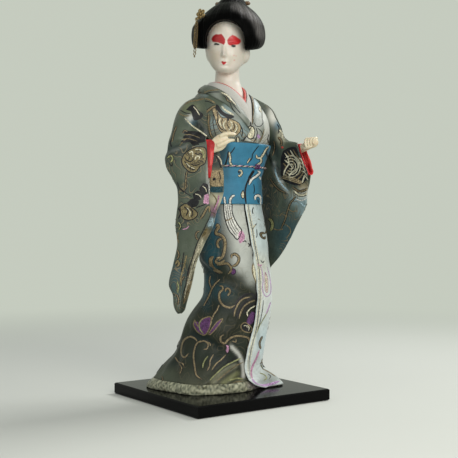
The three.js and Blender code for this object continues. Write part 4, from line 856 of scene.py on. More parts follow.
SKIRT_SPOTS = [
    # The pale spots, with the white one among them, are the pale satin at the front: its own colour, partly
    # painted light where it faces the lamp.
    (237, 215, 16, 26, "pale", 0.95), (241, 232, 9, 30, "white", 0.4), (243, 245, 13, 26, "pale", 0.95),
    (243, 264, 12, 10, "pale", 0.7),
    (251, 277, 7, 9, "pale", 0.75), (212, 252, 9, 26, "teal", 0.9), (206, 285, 6, 24, "teal", 0.8),
    # The marsh spot at 243, 289 is painted shade in a fold below the pale satin.
    (215, 220, 6, 16, "blue", 0.4), (222, 292, 13, 9, "teal", 0.55), (243, 289, 8, 4, "marsh", 0.6),
    # The ink and bark streaks below are painted shade in the deep folds under the knee and under the tulip.
    *streak([(198, 258), (204, 268), (212, 275), (222, 279)], 4, "ink", 0.45),
    *streak([(222, 279), (230, 283), (240, 289), (250, 293)], 3.4, "bark", 0.3),
    *streak([(190, 333), (201, 337), (211, 342), (221, 349)], 3.6, "ink", 0.35),
    (208, 322, 20, 8, "marsh", 0.6), (196, 355, 16, 10, "marsh", 0.6), (165, 376, 14, 10, "green", 0.5),
    # Painted highlight: a thin white streak down a satin fold.
    *streak([(231, 346.5), (235, 350), (239, 355), (242, 362), (243.6, 370), (243.4, 377)], 2, "white", 0.42),
    # Painted shade: a dark streak in the folds beside it.
    *streak([(227, 362), (231, 362), (235, 359), (237, 356)], 2, "jet", 0.25),
    *streak([(212, 383), (219, 376), (227, 370), (236, 365.6)], 2.6, "hem", 0.24),
    *streak([(222, 384), (230, 378), (238, 373)], 2.6, "olive", 0.22),
    *streak([(231, 387), (237, 384), (243, 382)], 2.2, "hem", 0.22),
    (186, 320, 8, 14, "green", 0.35),
]


PANEL_EDGE = smooth_curve([
    (1.8, 30), (3.5, 23), (6, 15), (9, 10), (14, 6.5), (22, 6.5), (34, 5.5), (45, 5.4), (56, 7.4),
    (72, 9.2), (96, 5.4),
    (110, 5.3), (120, 5.6), (135, 3.8), (151, 4), (167, 1.2), (183, 0.8), (211, 1.2), (226, 0.8),
])
PANEL_FAR_ANGLE = 78


def make_front_panel(materials):
    """The pale panel that laps over the skirt in front, rolled and lifted along its edge."""
    height = levels((1.8, 22, 18), (24, OBI_BOTTOM + 6, 90))
    across = np.linspace(0, 1, 70)[None, :]
    near = PANEL_EDGE(height)[0]
    angle = lerp(near, PANEL_FAR_ANGLE, across)
    lift = 3.2 * smoothstep(20 - height, 0, HEM_HEIGHT) + 1.9
    lift = lerp(0.5, lift, smoothstep(1 - across, 0, 0.25))
    wave = 0.9 * ripples(8, across * 7, height / 40) * smoothstep(200 - height, 0, 60)
    rolled = 0.7 * hill(across, 0.04) - 1.1 * hill(across, 0.012)
    curl = 2.2 * hill(across, 0.12) * smoothstep(26 - height, 0, 20)
    surface = on_board(skirt_point(angle, height, lift + wave + rolled + curl))
    panel = grid_piece("front_panel_cloth", surface, materials["pale"])
    paint(panel, COLOURS["mist"], [
        (262, 232, 8, 26, "light_blue", 0.3), (264, 300, 7, 18, "white", 0.35),
        (266, 343, 9, 20, "light_blue", 0.6),
        (271, 376, 12, 9, "green", 0.6), (261, 202, 9, 14, "light_blue", 0.5),
        (262, 268, 7, 14, "cream", 0.4),
        (258, 320, 2, 34, "teal", 0.3),
    ])
    return put_on(thicken(panel, "panel"), replaced=["front_panel"])


def make_hem(materials):
    """The padded hem, crinkled where its two cloths are drawn together."""
    turn = around(720, whole=2 * math.pi)
    angle = np.degrees(turn)
    profile = np.array([
        (-5.5, 0.4), (-2, 0.3), (0.6, 0.4), (1.8, 2), (2.3, 4.5), (2.1, 7), (1.4, 9), (0.4, 10.6),
        (-1, 11.3), (-4, 11.2),
    ])
    rows = spline(profile, 0.9)
    outward, height = rows[:, :1], rows[:, 1:]
    drawn = ripples(21, np.sin(turn) * 40, np.cos(turn) * 40, height / 5, waves=11)
    crinkle = 0.5 * drawn * hill(height - 6, 5)
    crinkle = crinkle + ripples(22, np.sin(turn) * 17, np.cos(turn) * 17, height / 2.6)
    swell = np.where(outward > 0, crinkle * 0.75, 0)
    surface = on_board(skirt_point(angle, height, outward + swell))
    hem = grid_piece("hem_padding", surface, materials["hem"], True)
    # Colour from the shade tone to the hem's own: partly painted shade in the hollows of the gathers and
    # paler on their ridges, following the wobble that crinkles the cloth, and partly a random wobble of tone.
    tones = 0.8 * ripples(23, np.sin(turn) * 27, np.cos(turn) * 27, height / 2, waves=13) + 0.6 * drawn
    pale = (tones.ravel() * 0.9 + 0.55).clip(0, 1)[:, None]
    base = lerp(np.array(COLOURS["hem_shade"]), np.array(COLOURS["hem"]), pale)
    paint(hem, base, [(262, 384, 12, 6, "lavender", 0.6)])
    put_on(hem, replaced=["hem_roll"])


def make_body_core(materials):
    """The straw body: bundled stalks bound tight, narrowing under the shoulders."""
    turn = around(120, whole=2 * math.pi)
    height = levels((6, 277, 60), (280, 317, 12))
    inset = -7.2 - 25 * np.clip((height - 277) / 40, 0, 1) ** 1.4
    stalks = 0.5 * np.abs(np.sin(turn * 30 + 0.6 * ripples(31, height / 30)))
    binding = -1.2 * sum(hill(height - at, 1.6) for at in (60, 120, 180, 240, 290))
    surface = on_board(figure_point(np.degrees(turn), height, inset + stalks + binding - 0.6))
    core = solid_grid("straw_body", surface, materials["straw"])
    put_on(core, replaced=["body_core"])


def make_obi(materials):
    """The wide sash, lapped in front and drawn in under the cord."""
    angle = around(240)
    height = levels((OBI_BOTTOM, OBI_TOP, 60))
    lap_angle = 9 - 17 * smoothstep(255 - height, 0, 40)
    lap = 0.9 * smoothstep(apart(angle, lap_angle), -0.6, 0.6) * smoothstep(60 - apart(angle, 0), 0, 30)
    lap = lap * smoothstep(256 - height, 0, 4)
    creases = 0.35 * round_ripples(41, angle, 2.2, height / 6)
    rim = -0.5 * (hill(height - OBI_BOTTOM, 0.8) + hill(height - OBI_TOP, 0.8))
    waist = -0.5 * hill(height - CORD_HEIGHT, 2.5)
    outward = GAP + OBI_THICKNESS + lap * 0.8 + creases + rim + waist - 0.3
    obi = grid_piece("obi_cloth_band", on_board(figure_point(angle, height, outward)), materials["obi"], True)
    paint(obi, COLOURS["blue"], OBI_SPOTS)
    put_on(thicken(obi, "obi"), replaced=["obi_band"])
    return obi


OBI_SPOTS = [
    (224, 150, 5, 14, "teal", 0.8), (268, 160, 4, 16, "teal", 0.6), (262, 188, 5, 14, "teal", 0.35),
    (226, 172, 4, 10, "teal", 0.5), (221, 150, 5, 18, "deep", 0.5),
]


def cord_middle(angle):
    """The line of the cord round the obi."""
    return figure_point(angle, CORD_HEIGHT, 2 * GAP + OBI_THICKNESS + CORD_RADIUS)


def make_obi_cord(materials):
    """Three strands plaited round the obi, and the flat knot in front."""
    angle = around(900)[0]
    middle = cord_middle(angle)
    outward = unit(figure_point(angle, CORD_HEIGHT, 1) - figure_point(angle, CORD_HEIGHT, 0))
    twist = np.radians(angle) * 38
    for i, tone in enumerate(("pink", "cream", "black")):
        phase = twist + i * 2 * math.pi / 3
        line = middle + 0.4 * outward * np.cos(phase)[:, None] + 0.5 * UPWARD * np.sin(phase)[:, None]
        round_line = on_board(tube_points(np.vstack([line, line[:1]]), 0.45, 6))
        strand = grid_piece(f"obi_cord_strand_{i + 1}", round_line, materials["thread_" + tone], True)
        put_on(strand, replaced=["obi_cord"] if i == 0 else ())
    knot_middle = cord_middle(np.array([20.0]))[0]
    outward = unit(figure_point(20, CORD_HEIGHT, 1) - figure_point(20, CORD_HEIGHT, 0))
    sideways = np.cross(UPWARD, outward)
    turn = np.linspace(0, 2 * math.pi, 90)
    loops = []
    for phase, depth in ((0, 0.4), (math.pi, 1.2)):
        line = knot_middle + points_of(*(
            sideways * (3.4 * np.sin(turn + phase))[:, None] + UPWARD * (2.3 * np.sin(2 * turn))[:, None]
            + outward * (depth + 0.7 * np.cos(3 * turn))[:, None]
        ).T)
        loops.append(on_board(tube_points(line, 0.7, 8)))
    for side in (-1, 1):
        hang = np.outer(np.linspace(0, 1, 8), sideways * 2.5 * side - UPWARD * 2.5)
        line = knot_middle + outward * 0.8 + sideways * 3 * side + hang
        loops.append(on_board(tube_points(line, np.linspace(0.7, 0.45, 8), 8)))
    knot = join_grids("obi_cord_bow", loops, materials["thread_purple"])
    put_on(knot, replaced=["obi_cord_knot"])


def make_bow(materials):
    """The folded drum of the obi at the back, soft at its edges."""
    middle_x = figure(np.array(250.0))[0]
    turn = around(120, whole=2 * math.pi)
    level = levels((-1, -1, 1), (-0.985, 0.985, 46), (1, 1, 1))
    swell = np.sqrt(1 - 0.8 * level**6)
    across, depth = squared(np.sin(turn), 0.6), squared(np.cos(turn), 0.6)
    folds = 1 + 0.03 * np.sin(level * 14 + 2 * across) + 0.02 * ripples(51, across * 3, level * 4)
    sag = 2.2 * hill(level - 0.1, 0.5) * hill(across, 0.3)
    points = points_of(
        middle_x + 35.5 * (0.75 + 0.25 * swell) * across * folds,
        43 - (11.8 * swell * depth * folds) - sag * (depth < 0),
        255 + 33 * level + 1.2 * np.sin(across * 2.5) * level,
    )
    inner = figure_point(180, np.clip(points[..., 2], OBI_BOTTOM, OBI_TOP), GAP + OBI_THICKNESS + 0.5)[..., 1]
    points[..., 1] = np.maximum(points[..., 1], np.minimum(inner, 43) * (1 - 0.12 * np.abs(across)))
    bow = solid_grid("obi_bow_cloth", on_board(points), materials["obi"])
    paint(bow, COLOURS["blue"])
    put_on(bow, replaced=["obi_bow"])
    return bow


TAIL = {"bottom": 97, "top": 222, "x": 18.5, "width": 33, "behind the obi": 3.2}


def make_tail(materials):
    """The strip of the obi that hangs from the bow, still at its top and waved at its end."""
    across = np.linspace(0, 1, 30)[None, :]
    height = levels((TAIL["bottom"], TAIL["top"] - GAP, 60))
    back = figure_point(180, OBI_BOTTOM, GAP + OBI_THICKNESS)[1] + TAIL["behind the obi"]
    wave = np.sin(across * 9.4) + 0.7 * ripples(52, across * 3, height / 20)
    wave = wave * smoothstep(TAIL["top"] - height, 0, 90)
    points = points_of(TAIL["x"] + (across - 0.5) * TAIL["width"], back + wave, height)
    tail = grid_piece("obi_tail_cloth", on_board(points), materials["obi"])
    paint(tail, COLOURS["teal"])
    return put_on(thicken(tail, "tail", 0), replaced=["obi_tail"])


def make_bodice(materials):
    """The bodice, from the seam at the waist up to the neckline."""
    angle = around(220)
    low = figure_point(angle, levels((WAIST_SEAM + 1, BODICE_CURVE_START, 10))[:-1])
    along = levels((0, 1, 44))
    creases = 0.8 * round_ripples(61, angle, 4, along * 3) * np.sin(along * math.pi)
    chest = chest_out(angle, along, creases * np.ones_like(angle))
    bodice = grid_piece("kimono_bodice_cloth", on_board(np.vstack([low, chest])), materials["brocade"], True)
    paint(bodice, cloudy(vertices_of(bodice)[0], 62, "green", "green", "light_blue"), BODICE_SPOTS)
    return put_on(thicken(bodice, "bodice"), replaced=["kimono_bodice"])


BODICE_SPOTS = [
    (262, 118, 9, 16, "pale", 0.9), (258, 138, 10, 8, "white", 0.7), (228, 128, 12, 12, "pale", 0.35),
    (269, 110, 6, 9, "white", 0.7), (238, 112, 7, 14, "pale", 0.45), (270, 130, 6, 14, "white", 0.7),
    (262, 104, 5, 6, "light_blue", 0.4),
    # The deep spot at 206, 128 is painted shade in the hollow by the right sleeve's fold.
    (206, 128, 4, 10, "deep", 0.5), (240, 128, 6, 8, "light_blue", 0.4),
]


def collar_band(angle):
    """The outer collar's section round the neck: under its fall, over its fold and in at the neck."""
    frontness = np.exp(-np.abs(apart(angle, OUTER_COLLAR["angle"])) / 30)
    width = lerp(12, 17, np.sqrt(frontness))
    low = 1 - np.minimum(width / chest_length(angle), 0.9)
    lip = collar_line(OUTER_COLLAR, angle)
    section = ((low, 0.1), (low + 0.01, 1.6), (lerp(low, 1, 0.3), 2.5), (lerp(low, 1, 0.65), 2.9),
               (np.ones_like(low), 2.8))
    rows = [chest_out(angle, along, outward) for along, outward in section]
    across = unit(np.cross(chest_point(angle + 1, 0.98) - chest_point(angle - 1, 0.98), UPWARD))
    rows += [lip - across * 2.4, lip - across * 1.4 + UPWARD * 0.5, lip - across * 0.4, lip - UPWARD * 2.2]
    return np.stack(rows)


def make_outer_collar(materials):
    """The outer collar round the neck, and the end of it that hangs down in front."""
    angle = around(240)[0]
    band = collar_band(angle)
    across = np.linspace(0, 1, 16)[None, :]
    along = np.linspace(0.0, 1, 44)[:, None]
    inner = lerp(-10, 10, along**0.6)
    outer = lerp(21, 36, along**0.8)
    lift = 2.2 * (1 - (2 * across - 1) ** 8) + 0.6
    tail = chest_out(lerp(inner, outer, across), lerp(0.04, 0.8, along), lift * np.ones_like(along))
    points = [on_board(band.reshape(-1, 3)), on_board(tail.reshape(-1, 3))]
    faces = grid_faces(*band.shape[:2], wrap=True) + grid_faces(*tail.shape[:2], start=len(points[0]))
    collar = make_piece("kimono_collar_cloth", np.vstack(points), faces, materials["brocade"])
    paint(collar, cloudy(vertices_of(collar)[0], 71, "green", "green", "pale"), COLLAR_SPOTS)
    return put_on(thicken(collar, "outer collar"), replaced=["kimono_collar"])


COLLAR_SPOTS = [
    (258, 112, 7, 14, "pale", 0.8), (256, 106, 4, 10, "light_blue", 0.5), (252, 136, 7, 12, "white", 0.7),
    (240, 120, 6, 12, "pale", 0.5),
    (245, 152, 8, 8, "light_blue", 0.6),
]


def make_inner_collars(materials):
    """The white collar and the red one inside it, each folded over at its rim."""
    angle = around(220)[0]
    slope = unit(collar_line(OUTER_COLLAR, angle) - collar_line(WHITE_COLLAR, angle))
    white, outer = collar_line(WHITE_COLLAR, angle), neckline(angle) - 1.4 * slope
    sideways = points_of(-np.cos(np.radians(angle)), -np.sin(np.radians(angle)), 0)
    down = unit(np.cross(slope, sideways))
    down = down * -np.sign(down[:, 2:])
    fold = [white + down * 0.2, white - down * 0.35 + slope * 0.8, lerp(white, outer, 0.4) - down * 0.2,
            lerp(white, outer, 0.8), outer + down * 0.3]
    collar = grid_piece("white_collar_cloth", on_board(np.stack(fold)), materials["collar"], True)
    put_on(thicken(collar, "white collar"), replaced=["collar_white"])
    red, under = collar_line(RED_COLLAR, angle), white + 3 * slope
    fold = [red + down * 1.2, red - down * 0.5 + slope * 0.2, lerp(red, white, 0.6) + down * 0.3,
            white + down * 1.5, under + down * 2.1]
    lining = grid_piece("red_collar_cloth", on_board(np.stack(fold)), materials["coral"], True)
    put_on(thicken(lining, "red collar"), replaced=["collar_red"])
    return collar, lining


# Sleeves: each is one cloth folded at the rear, with its two edges open in front below the cuff

def sleeve_section(sleeve, height, columns):
    """Points of the cloth at a height, from the near edge round the rear fold to the far edge."""
    rear, fold, front, across, thickness = smooth_curve(sleeve["stations"])(np.asarray(height, float))
    half = thickness / 2
    closed = smoothstep(height, SLEEVE_CLOSES - 1, SLEEVE_CLOSES + 6)
    near = lerp(fold, lerp(fold, front, 0.92), closed), across + half * lerp(0.85, 0.1, closed)
    corners = [
        near, (lerp(rear, fold, 0.82), across + half), (lerp(rear, fold, 0.5), across + half),
        (lerp(rear, fold, 0.22), across + half * 0.85), (lerp(rear, fold, 0.03), across + half * 0.35),
        (rear, across - half * 0.15),
        (lerp(rear, front, 0.06), across - half * 0.6), (lerp(rear, front, 0.25), across - half * 0.9),
        (lerp(rear, front, 0.55), across - half), (lerp(rear, front, 0.82), across - half * 0.8),
        (front, across - half * lerp(lerp(0.45, 0.9, hill(height - CUFF_HEIGHT, 20)), 0.1, closed)),
    ]
    line = spline(np.array(corners), 0.05)
    length = np.concatenate([[0], np.cumsum(np.linalg.norm(np.diff(line, axis=0), axis=1))])
    even = np.linspace(0, length[-1], columns)
    along, sideways = np.interp(even, length, line[:, 0]), np.interp(even, length, line[:, 1])
    return sleeve_point(sleeve, along, sideways, height)


def sleeve_grid(sleeve, columns=110, rows=130):
    """The whole cloth of a sleeve, from its foot to its top."""
    low, high = sleeve["stations"][0][0], sleeve["stations"][-1][0]
    return np.stack([sleeve_section(sleeve, height, columns) for height in np.linspace(low, high, rows)])


def sideways_of(sleeve):
    """The way across a sleeve's plane."""
    turn = math.radians(sleeve["heading"])
    return sleeve["side"] * np.array([math.sin(turn), math.cos(turn), 0])


def folded(points, sleeve, folds):
    """Pushes a sleeve's cloth in or out of its plane along lines of places and heights in that plane."""
    x, y, height = parts_of(points)
    along = spun(x - sleeve["x"], y, sleeve["heading"])[0]
    middle = np.median((points @ sideways_of(sleeve)).ravel())
    outer = smoothstep(points @ sideways_of(sleeve) - middle, -6, 6) * 2 - 1
    shift = sum(
        depth * hill(line_distance(along, height, line), width) * np.clip(outer * side, 0, 1)
        for depth, width, side, line in folds
    )
    return points + (shift * outer)[..., None] * sideways_of(sleeve)


RIGHT_SLEEVE_FOLDS = [
    (-7, 6, 1, [(-22, 296), (-26, 288), (-32, 283)]),
    (2.6, 3.5, 1, [(-36, 309), (-28, 298), (-18, 291), (-12, 285)]),
    (-3, 3, 1, [(-57, 268), (-46, 276), (-32, 278), (-16, 281)]),
    (1.5, 4, 1, [(-54, 261), (-40, 271), (-26, 272)]),
    (-1.2, 6, 1, [(-34, 240), (-30, 200), (-38, 150), (-46, 110)]),
    (1.4, 7, 1, [(-22, 235), (-24, 200), (-34, 160)]),
    (-1.4, 3, 1, [(-38, 140), (-42, 118), (-44, 100)]),
    (-1.5, 5, -1, [(-30, 260), (-34, 200), (-42, 140)]),
    (-1.4, 4, 1, [(-50, 300), (-44, 290), (-38, 286)]),
]
LEFT_SLEEVE_FOLDS = [
    (3, 3.5, -1, [(20, 272), (26, 262), (42, 250), (52, 242)]),
    (-3.5, 4, -1, [(14, 268), (20, 256), (34, 240), (46, 232)]),
    (-1.6, 5, -1, [(56, 262), (44, 240), (36, 210), (24, 170)]),
    (1.6, 6, -1, [(64, 240), (52, 210), (38, 180)]),
    (-1.8, 5, 1, [(52, 262), (36, 230), (20, 190), (4, 150)]),
    (1.6, 6, 1, [(30, 262), (14, 220), (0, 170)]),
    (-1.6, 4, 1, [(-12, 250), (-10, 200), (-12, 150)]),
]


def make_sleeve(side, sleeve, folds, spots, inner_spots, materials):
    """A sleeve with its folds, and the colours that the photograph shows on both its faces, with painted
    shade and highlights by its folds.
    """
    points = folded(sleeve_grid(sleeve), sleeve, folds)[:, :: sleeve["side"]]
    x, y, z = parts_of(points * 0.09)
    points = points + (0.5 * ripples(81, x, y, z))[..., None] * sideways_of(sleeve)
    cloth = grid_piece("sleeve_cloth_" + side, on_board(points), materials["brocade"])
    base = cloudy(vertices_of(cloth)[0], 82, "green", "green", "deep")
    paint(cloth, base, spots, inner_spots=inner_spots)
    return put_on(thicken(cloth, "sleeve"), replaced=["sleeve_" + side])


RIGHT_SLEEVE_SPOTS = [
    # Most of these spots are painted light and shade: the deep, black and blue ones are painted shade in the
    # dark hollow by the shoulder fold and in the band above the forearm, the ink and jet streaks are painted
    # shade along those folds, and the white spot at 190, 118 and the faint pale streak are painted highlights
    # on the folds' ridges. The teal and ochre spots are the cloth's own colours.
    (176, 280, 9, 18, "teal", 0.6),
    (175, 150, 9, 8, "deep", 0.5), (207.6, 176, 1.6, 14, "pale", 0.5), (190, 108, 12, 6, "olive", 0.3),
    (188, 215, 8, 8, "ochre", 0.3), (203, 118, 5, 8, "deep", 0.5), (199, 126, 5, 5, "black", 0.75),
    (205, 132, 4, 5, "black", 0.75),
    (193, 121, 4, 4, "blue", 0.6), (176, 149, 8, 3, "deep", 0.8), (187, 146, 9, 3, "deep", 0.7),
    (168, 158, 4, 8, "deep", 0.4),
    (190, 118, 4, 4, "white", 0.7),
    *streak([(193, 121), (197, 124), (202, 129), (207, 134)], 3, "ink", 0.4),
    *streak([(170, 154.4), (176, 154), (183, 150.4), (192, 147)], 1.7, "jet", 0.3),
    *streak([(172, 150.6), (180, 148.4), (188, 145)], 1.8, "pale", 0.08),
]
RIGHT_SLEEVE_INNER_SPOTS = [
    (216, 161, 9, 8, "deep", 0.9), (217, 178, 9, 8, "sand", 0.9), (217, 189, 9, 3, "teal", 0.7),
    (216, 200, 10, 8, "cream", 0.9),
    (212, 211, 8, 6, "pink", 0.5), (211, 222, 7, 5, "light_blue", 0.9), (204, 233, 6, 6, "sand", 0.9),
    (199, 247, 7, 10, "cream", 0.9), (194, 264, 5, 9, "cream", 0.8), (189, 285, 5, 14, "sand", 0.8),
]
LEFT_SLEEVE_SPOTS = [
    (290, 238, 20, 26, "teal", 0.75), (276, 160, 5, 22, "deep", 0.7), (274, 115, 6, 10, "white", 0.95),
    # The blue and deep spots on this line are painted shade in a hollow of the upper arm.
    (278, 125, 4, 5, "blue", 0.5), (274, 134, 3, 8, "deep", 0.6),
    (269, 105, 4, 3, "ochre", 0.5),
    (296, 165, 14, 20, "deep", 0.85), (301, 199, 12, 8, "light_blue", 0.6), (300, 193, 9, 5, "cream", 0.5),
    (268, 205, 6, 24, "deep", 0.7), (281, 181, 3, 4, "white", 0.5), (304, 187, 5, 5, "sand", 0.7),
    # Painted highlight: a pale streak down the sleeve's big fold.
    *streak([(273.6, 163), (276, 173), (281, 183), (288, 193)], 2, "pale", 0.3),
    (304, 193, 5, 5, "white", 0.5), (281, 137, 4.5, 8, "cream", 0.55), (303, 212, 6, 6, "light_blue", 0.5),
]


def cuff_grid(sleeve, across, half_thickness, levels, inner, mouth, columns=64):
    """A flattened tube of lining, from inside the sleeve out to its mouth."""
    turn = np.linspace(0, 2 * math.pi, columns, endpoint=False)
    flat_across = squared(np.cos(turn), 0.7)
    level = (squared(np.sin(turn), 0.7) + 1) / 2
    height = lerp(levels[0], levels[1], level)
    reach = np.interp(height, [h for h, _ in mouth], [a for _, a in mouth])
    rings = []
    for t in np.linspace(0, 1, 16):
        flare = 0.6 + 0.4 * smoothstep(t, 0, 0.7)
        pleat = 0.5 * np.sin(turn * 9 + t * 2) * t
        sideways = across + (half_thickness * flare + pleat) * flat_across
        rings.append(sleeve_point(sleeve, lerp(inner, reach, t), sideways, height))
    return np.stack(rings)


# Painted shade and painted highlights on the red linings: darker red streaks down their shaded strips,
# brighter ones along their lit folds.
CUFF_PAINTED_SHADE_AND_HIGHLIGHTS = [
    *streak([(209.4, 141), (209, 150), (209, 160), (209.3, 172)], 1.4, "cuff_painted_shade", 0.35),
    *streak([(212.6, 139.6), (213, 148)], 2.6, "cuff_painted_shade", 0.3),
    *streak([(211.8, 152), (211.4, 158), (210.8, 165)], 1.1, "cuff_painted_highlight", 0.4),
    *streak([(297.4, 144), (299, 150), (302, 157)], 1.4, "cuff_painted_shade", 0.35),
    *streak([(304, 152), (306, 159), (308, 165)], 1.1, "cuff_painted_highlight", 0.4),
    *streak([(308, 156), (311, 163), (313, 170)], 1.0, "cuff_painted_highlight", 0.35),
    *streak([(309, 164), (311, 172)], 1.2, "cuff_painted_shade", 0.4),
]


# Each cuff: its sleeve, place across, half thickness, levels, inner end, and its mouth's heights and reaches
CUFFS = {
    "right": (RIGHT_SLEEVE, 58, 6.2, (239, 280), -20,
              [(239, -10), (250, -8), (266, -6), (275, -4.8), (278, -6), (280, -9)]),
    "left": (LEFT_SLEEVE, 2.4, 5.4, (244, 281), 42, [(244, 79), (252, 76), (266, 69), (281, 62.5)]),
}


def make_cuff(side, materials):
    """The red lining that shows in a sleeve's mouth."""
    cuff = grid_piece("cuff_satin_" + side, on_board(cuff_grid(*CUFFS[side])), materials["satin"], True)
    # The lining's red gets painted shade and painted highlights in streaks, on both its faces.
    paint(cuff, COLOURS["red"], CUFF_PAINTED_SHADE_AND_HIGHLIGHTS, inner_spots=CUFF_PAINTED_SHADE_AND_HIGHLIGHTS)
    return put_on(thicken(cuff, "cuff"), replaced=["cuff_lining_" + side])


# Embroidery, laid where a pixel of the photograph, or a place in a plain side view, meets the cloth

def through_pixels(pixels):
    """Where each line of sight of the camera starts, and its direction."""
    right, down = pixels[:, :1] - IMAGE_SIDE / 2, pixels[:, 1:] - IMAGE_SIDE / 2
    ahead = FORWARD + (right * RIGHTWARD - down * UPWARD) / FOCAL_PIXELS
    return np.broadcast_to(CAMERA_PLACE, ahead.shape), unit(ahead)


def from_side(azimuth):
    """A plain view from an angle round the doll: millimetres across, and heights above the board."""
    turn = math.radians(azimuth)
    toward = np.array([math.sin(turn), -math.cos(turn), 0])
    across = np.array([math.cos(turn), math.sin(turn), 0])

    def look(places):
        start = toward * 400 + places[:, :1] * across + (places[:, 1:] + BOARD_TOP) * UPWARD
        return start, np.broadcast_to(-toward, start.shape)

    return look


class Embroidery:
    """Raised thread work on one garment."""

    LAYER = 0.003
    LONGEST_STITCH = 4.5
    SIGHT = 3

    def __init__(self, garment):
        self.cloth = BVHTree.FromObject(garment, bpy.context.evaluated_depsgraph_get())
        self.points, self.faces, self.tones = [], [], []
        self.count = 0
        self.height = 0.0

    def met(self, start, way):
        """Where a line of sight meets the cloth, and the way outward from the cloth there."""
        hit, normal, _, _ = self.cloth.ray_cast(Vector(start * MM), Vector(way), self.SIGHT)
        if not hit:
            return None
        outward = normal if normal.dot(Vector(way)) < 0 else -normal
        return np.array(hit) / MM, np.array(outward)

    def seated(self, look, places, rise):
        """Points on the cloth, raised by a distance. A place that misses the cloth gives no number."""
        points = np.full((len(places), 3), np.nan)
        for i, (start, way) in enumerate(zip(*look(places))):
            met = self.met(start, way)
            if met:
                points[i] = met[0] + met[1] * rise
        return points

    def faces_photograph(self, look, place):
        """Whether the cloth met at a place turns toward the camera."""
        met = self.met(*(part[0] for part in look(np.array([place]))))
        return met is None or faces_camera(*met) > 0.01

    def add(self, grid, tone, wrap=False):
        """Keeps a grid's faces, but for those that would reach across a gap or off the cloth."""
        rows, columns = grid.shape[:2]
        flat = grid.reshape(-1, 3)
        for face in grid_faces(rows, columns, wrap):
            corners = flat[face]
            edges = np.linalg.norm(corners - np.roll(corners, 1, axis=0), axis=1)
            if edges.max() < self.LONGEST_STITCH:
                self.faces.append([self.count + i for i in face])
                self.tones.append(tone)
        self.points.append(flat)
        self.count += len(flat)

    def ribbon(self, look, tone, width, line, rise=0.3, blunt=False):
        """A raised line of stitches, pointed at its ends unless it is blunt."""
        line = spline(line, 0.6)
        along = unit(np.gradient(line, axis=0))
        side = np.stack([-along[:, 1], along[:, 0]], -1)
        t = np.linspace(0, 1, len(line))
        taper = np.ones(len(line)) if blunt else np.minimum(1, np.minimum(t, 1 - t) * 7 + 0.12) ** 0.6
        half = width / 2 * taper
        self.height += self.LAYER
        edge = rise * 0.2 + self.height
        self.add(np.stack([
            self.seated(look, line + side * (half * across)[:, None], up)
            for across, up in ((-1, edge), (0, rise + self.height), (1, edge))
        ], 1), tone)

    def vine(self, look, tone, width, line, extra=1.3):
        """A line of stitches with a black rim."""
        self.ribbon(look, "black", width + extra, line, 0.12)
        self.ribbon(look, tone, width, line, 0.35)

    def patch(self, look, tone, outline, rise=0.08):
        """A closed shape filled with thread, flat but for its edge."""
        outline = spline(list(outline) + [outline[0]], 0.9)[:-1]
        middle = outline.mean(0)
        size = np.linalg.norm(outline - middle, axis=1).max()
        rings = max(3, int(size / 1.2) + 1)
        self.height += self.LAYER
        self.add(np.stack([
            self.seated(look, middle + (outline - middle) * s, self.height + rise * (1 - s**4) + 0.03)
            for s in np.linspace(0.02, 1, rings)
        ]), tone, wrap=True)

    def filled(self, look, tone, outline, rim, width):
        """A filled shape with a rim of another thread."""
        self.patch(look, tone, outline)
        self.ribbon(look, rim, width, list(outline) + [outline[0]], 0.35, blunt=True)

    def finish(self, name, materials, slot):
        """Makes one piece of all the stitches, without the points that no face uses."""
        used = sorted({i for face in self.faces for i in face})
        place = {old: new for new, old in enumerate(used)}
        points = np.vstack(self.points)[used]
        faces = [[place[i] for i in face] for face in self.faces]
        work = make_piece(name, points, faces, materials["thread_black"])
        tones = sorted(set(self.tones))
        work.data.materials.clear()
        for tone in tones:
            work.data.materials.append(materials["thread_" + tone])
        work.data.polygons.foreach_set("material_index", [tones.index(tone) for tone in self.tones])
        return put_on(work)


def turned(line, place, size, turn):
    """Moves a shape drawn about the origin to its place, size and turn in degrees."""
    line = np.array(line, float) * size
    c, s = math.cos(math.radians(turn)), math.sin(math.radians(turn))
    return [(place[0] + x * c - y * s, place[1] + x * s + y * c) for x, y in line]


# Shapes that return all over the cloth, drawn about 2 units across
CURL = [
    (-1.1, -0.4), (-0.7, 0.5), (0.1, 0.8), (0.75, 0.4), (0.8, -0.25), (0.35, -0.6), (-0.1, -0.4),
    (-0.1, 0.05),
    (0.2, 0.15),
]
BACK_CURL = [(-1.1, -0.4), (-1.5, -0.9), (-1.1, -1.25), (-0.7, -1.0), (-0.85, -0.7)]
LEAF = [(0, -1), (0.35, -0.4), (0.3, 0.3), (0, 1), (-0.3, 0.3), (-0.35, -0.4)]
STEM = [(-1.2, -0.8), (-0.5, -0.1), (0.2, 0.2), (1.2, 0.9)]
TULIP = [
    (-0.8, 0.6), (-0.9, 0), (-0.6, -0.6), (0, -0.9), (0.6, -0.6), (0.9, 0), (0.8, 0.6), (0.3, 0.1), (0, 0.7),
    (-0.3, 0.1),
]
CLOUD = [
    (-1, 0), (-0.8, 0.6), (-0.2, 0.6), (0.1, 0.9), (0.7, 0.7), (1, 0.1), (0.7, -0.4), (0.2, -0.5),
    (-0.2, -0.9),
    (-0.8, -0.6),
]
CLOUD_CURL = [(-0.5, 0), (-0.3, 0.35), (0, 0.2), (-0.1, -0.1), (-0.3, -0.3)]
CLOUD_BOW = [(0.2, -0.2), (0.5, 0.1), (0.35, 0.45), (0.1, 0.5)]


def curl_motif(work, look, place, size, turn):
    """A gold curl, with a smaller one turned back from its foot."""
    work.vine(look, "gold", 2.2, turned(CURL, place, size, turn))
    work.vine(look, "gold", 1.6, turned(BACK_CURL, place, size, turn))


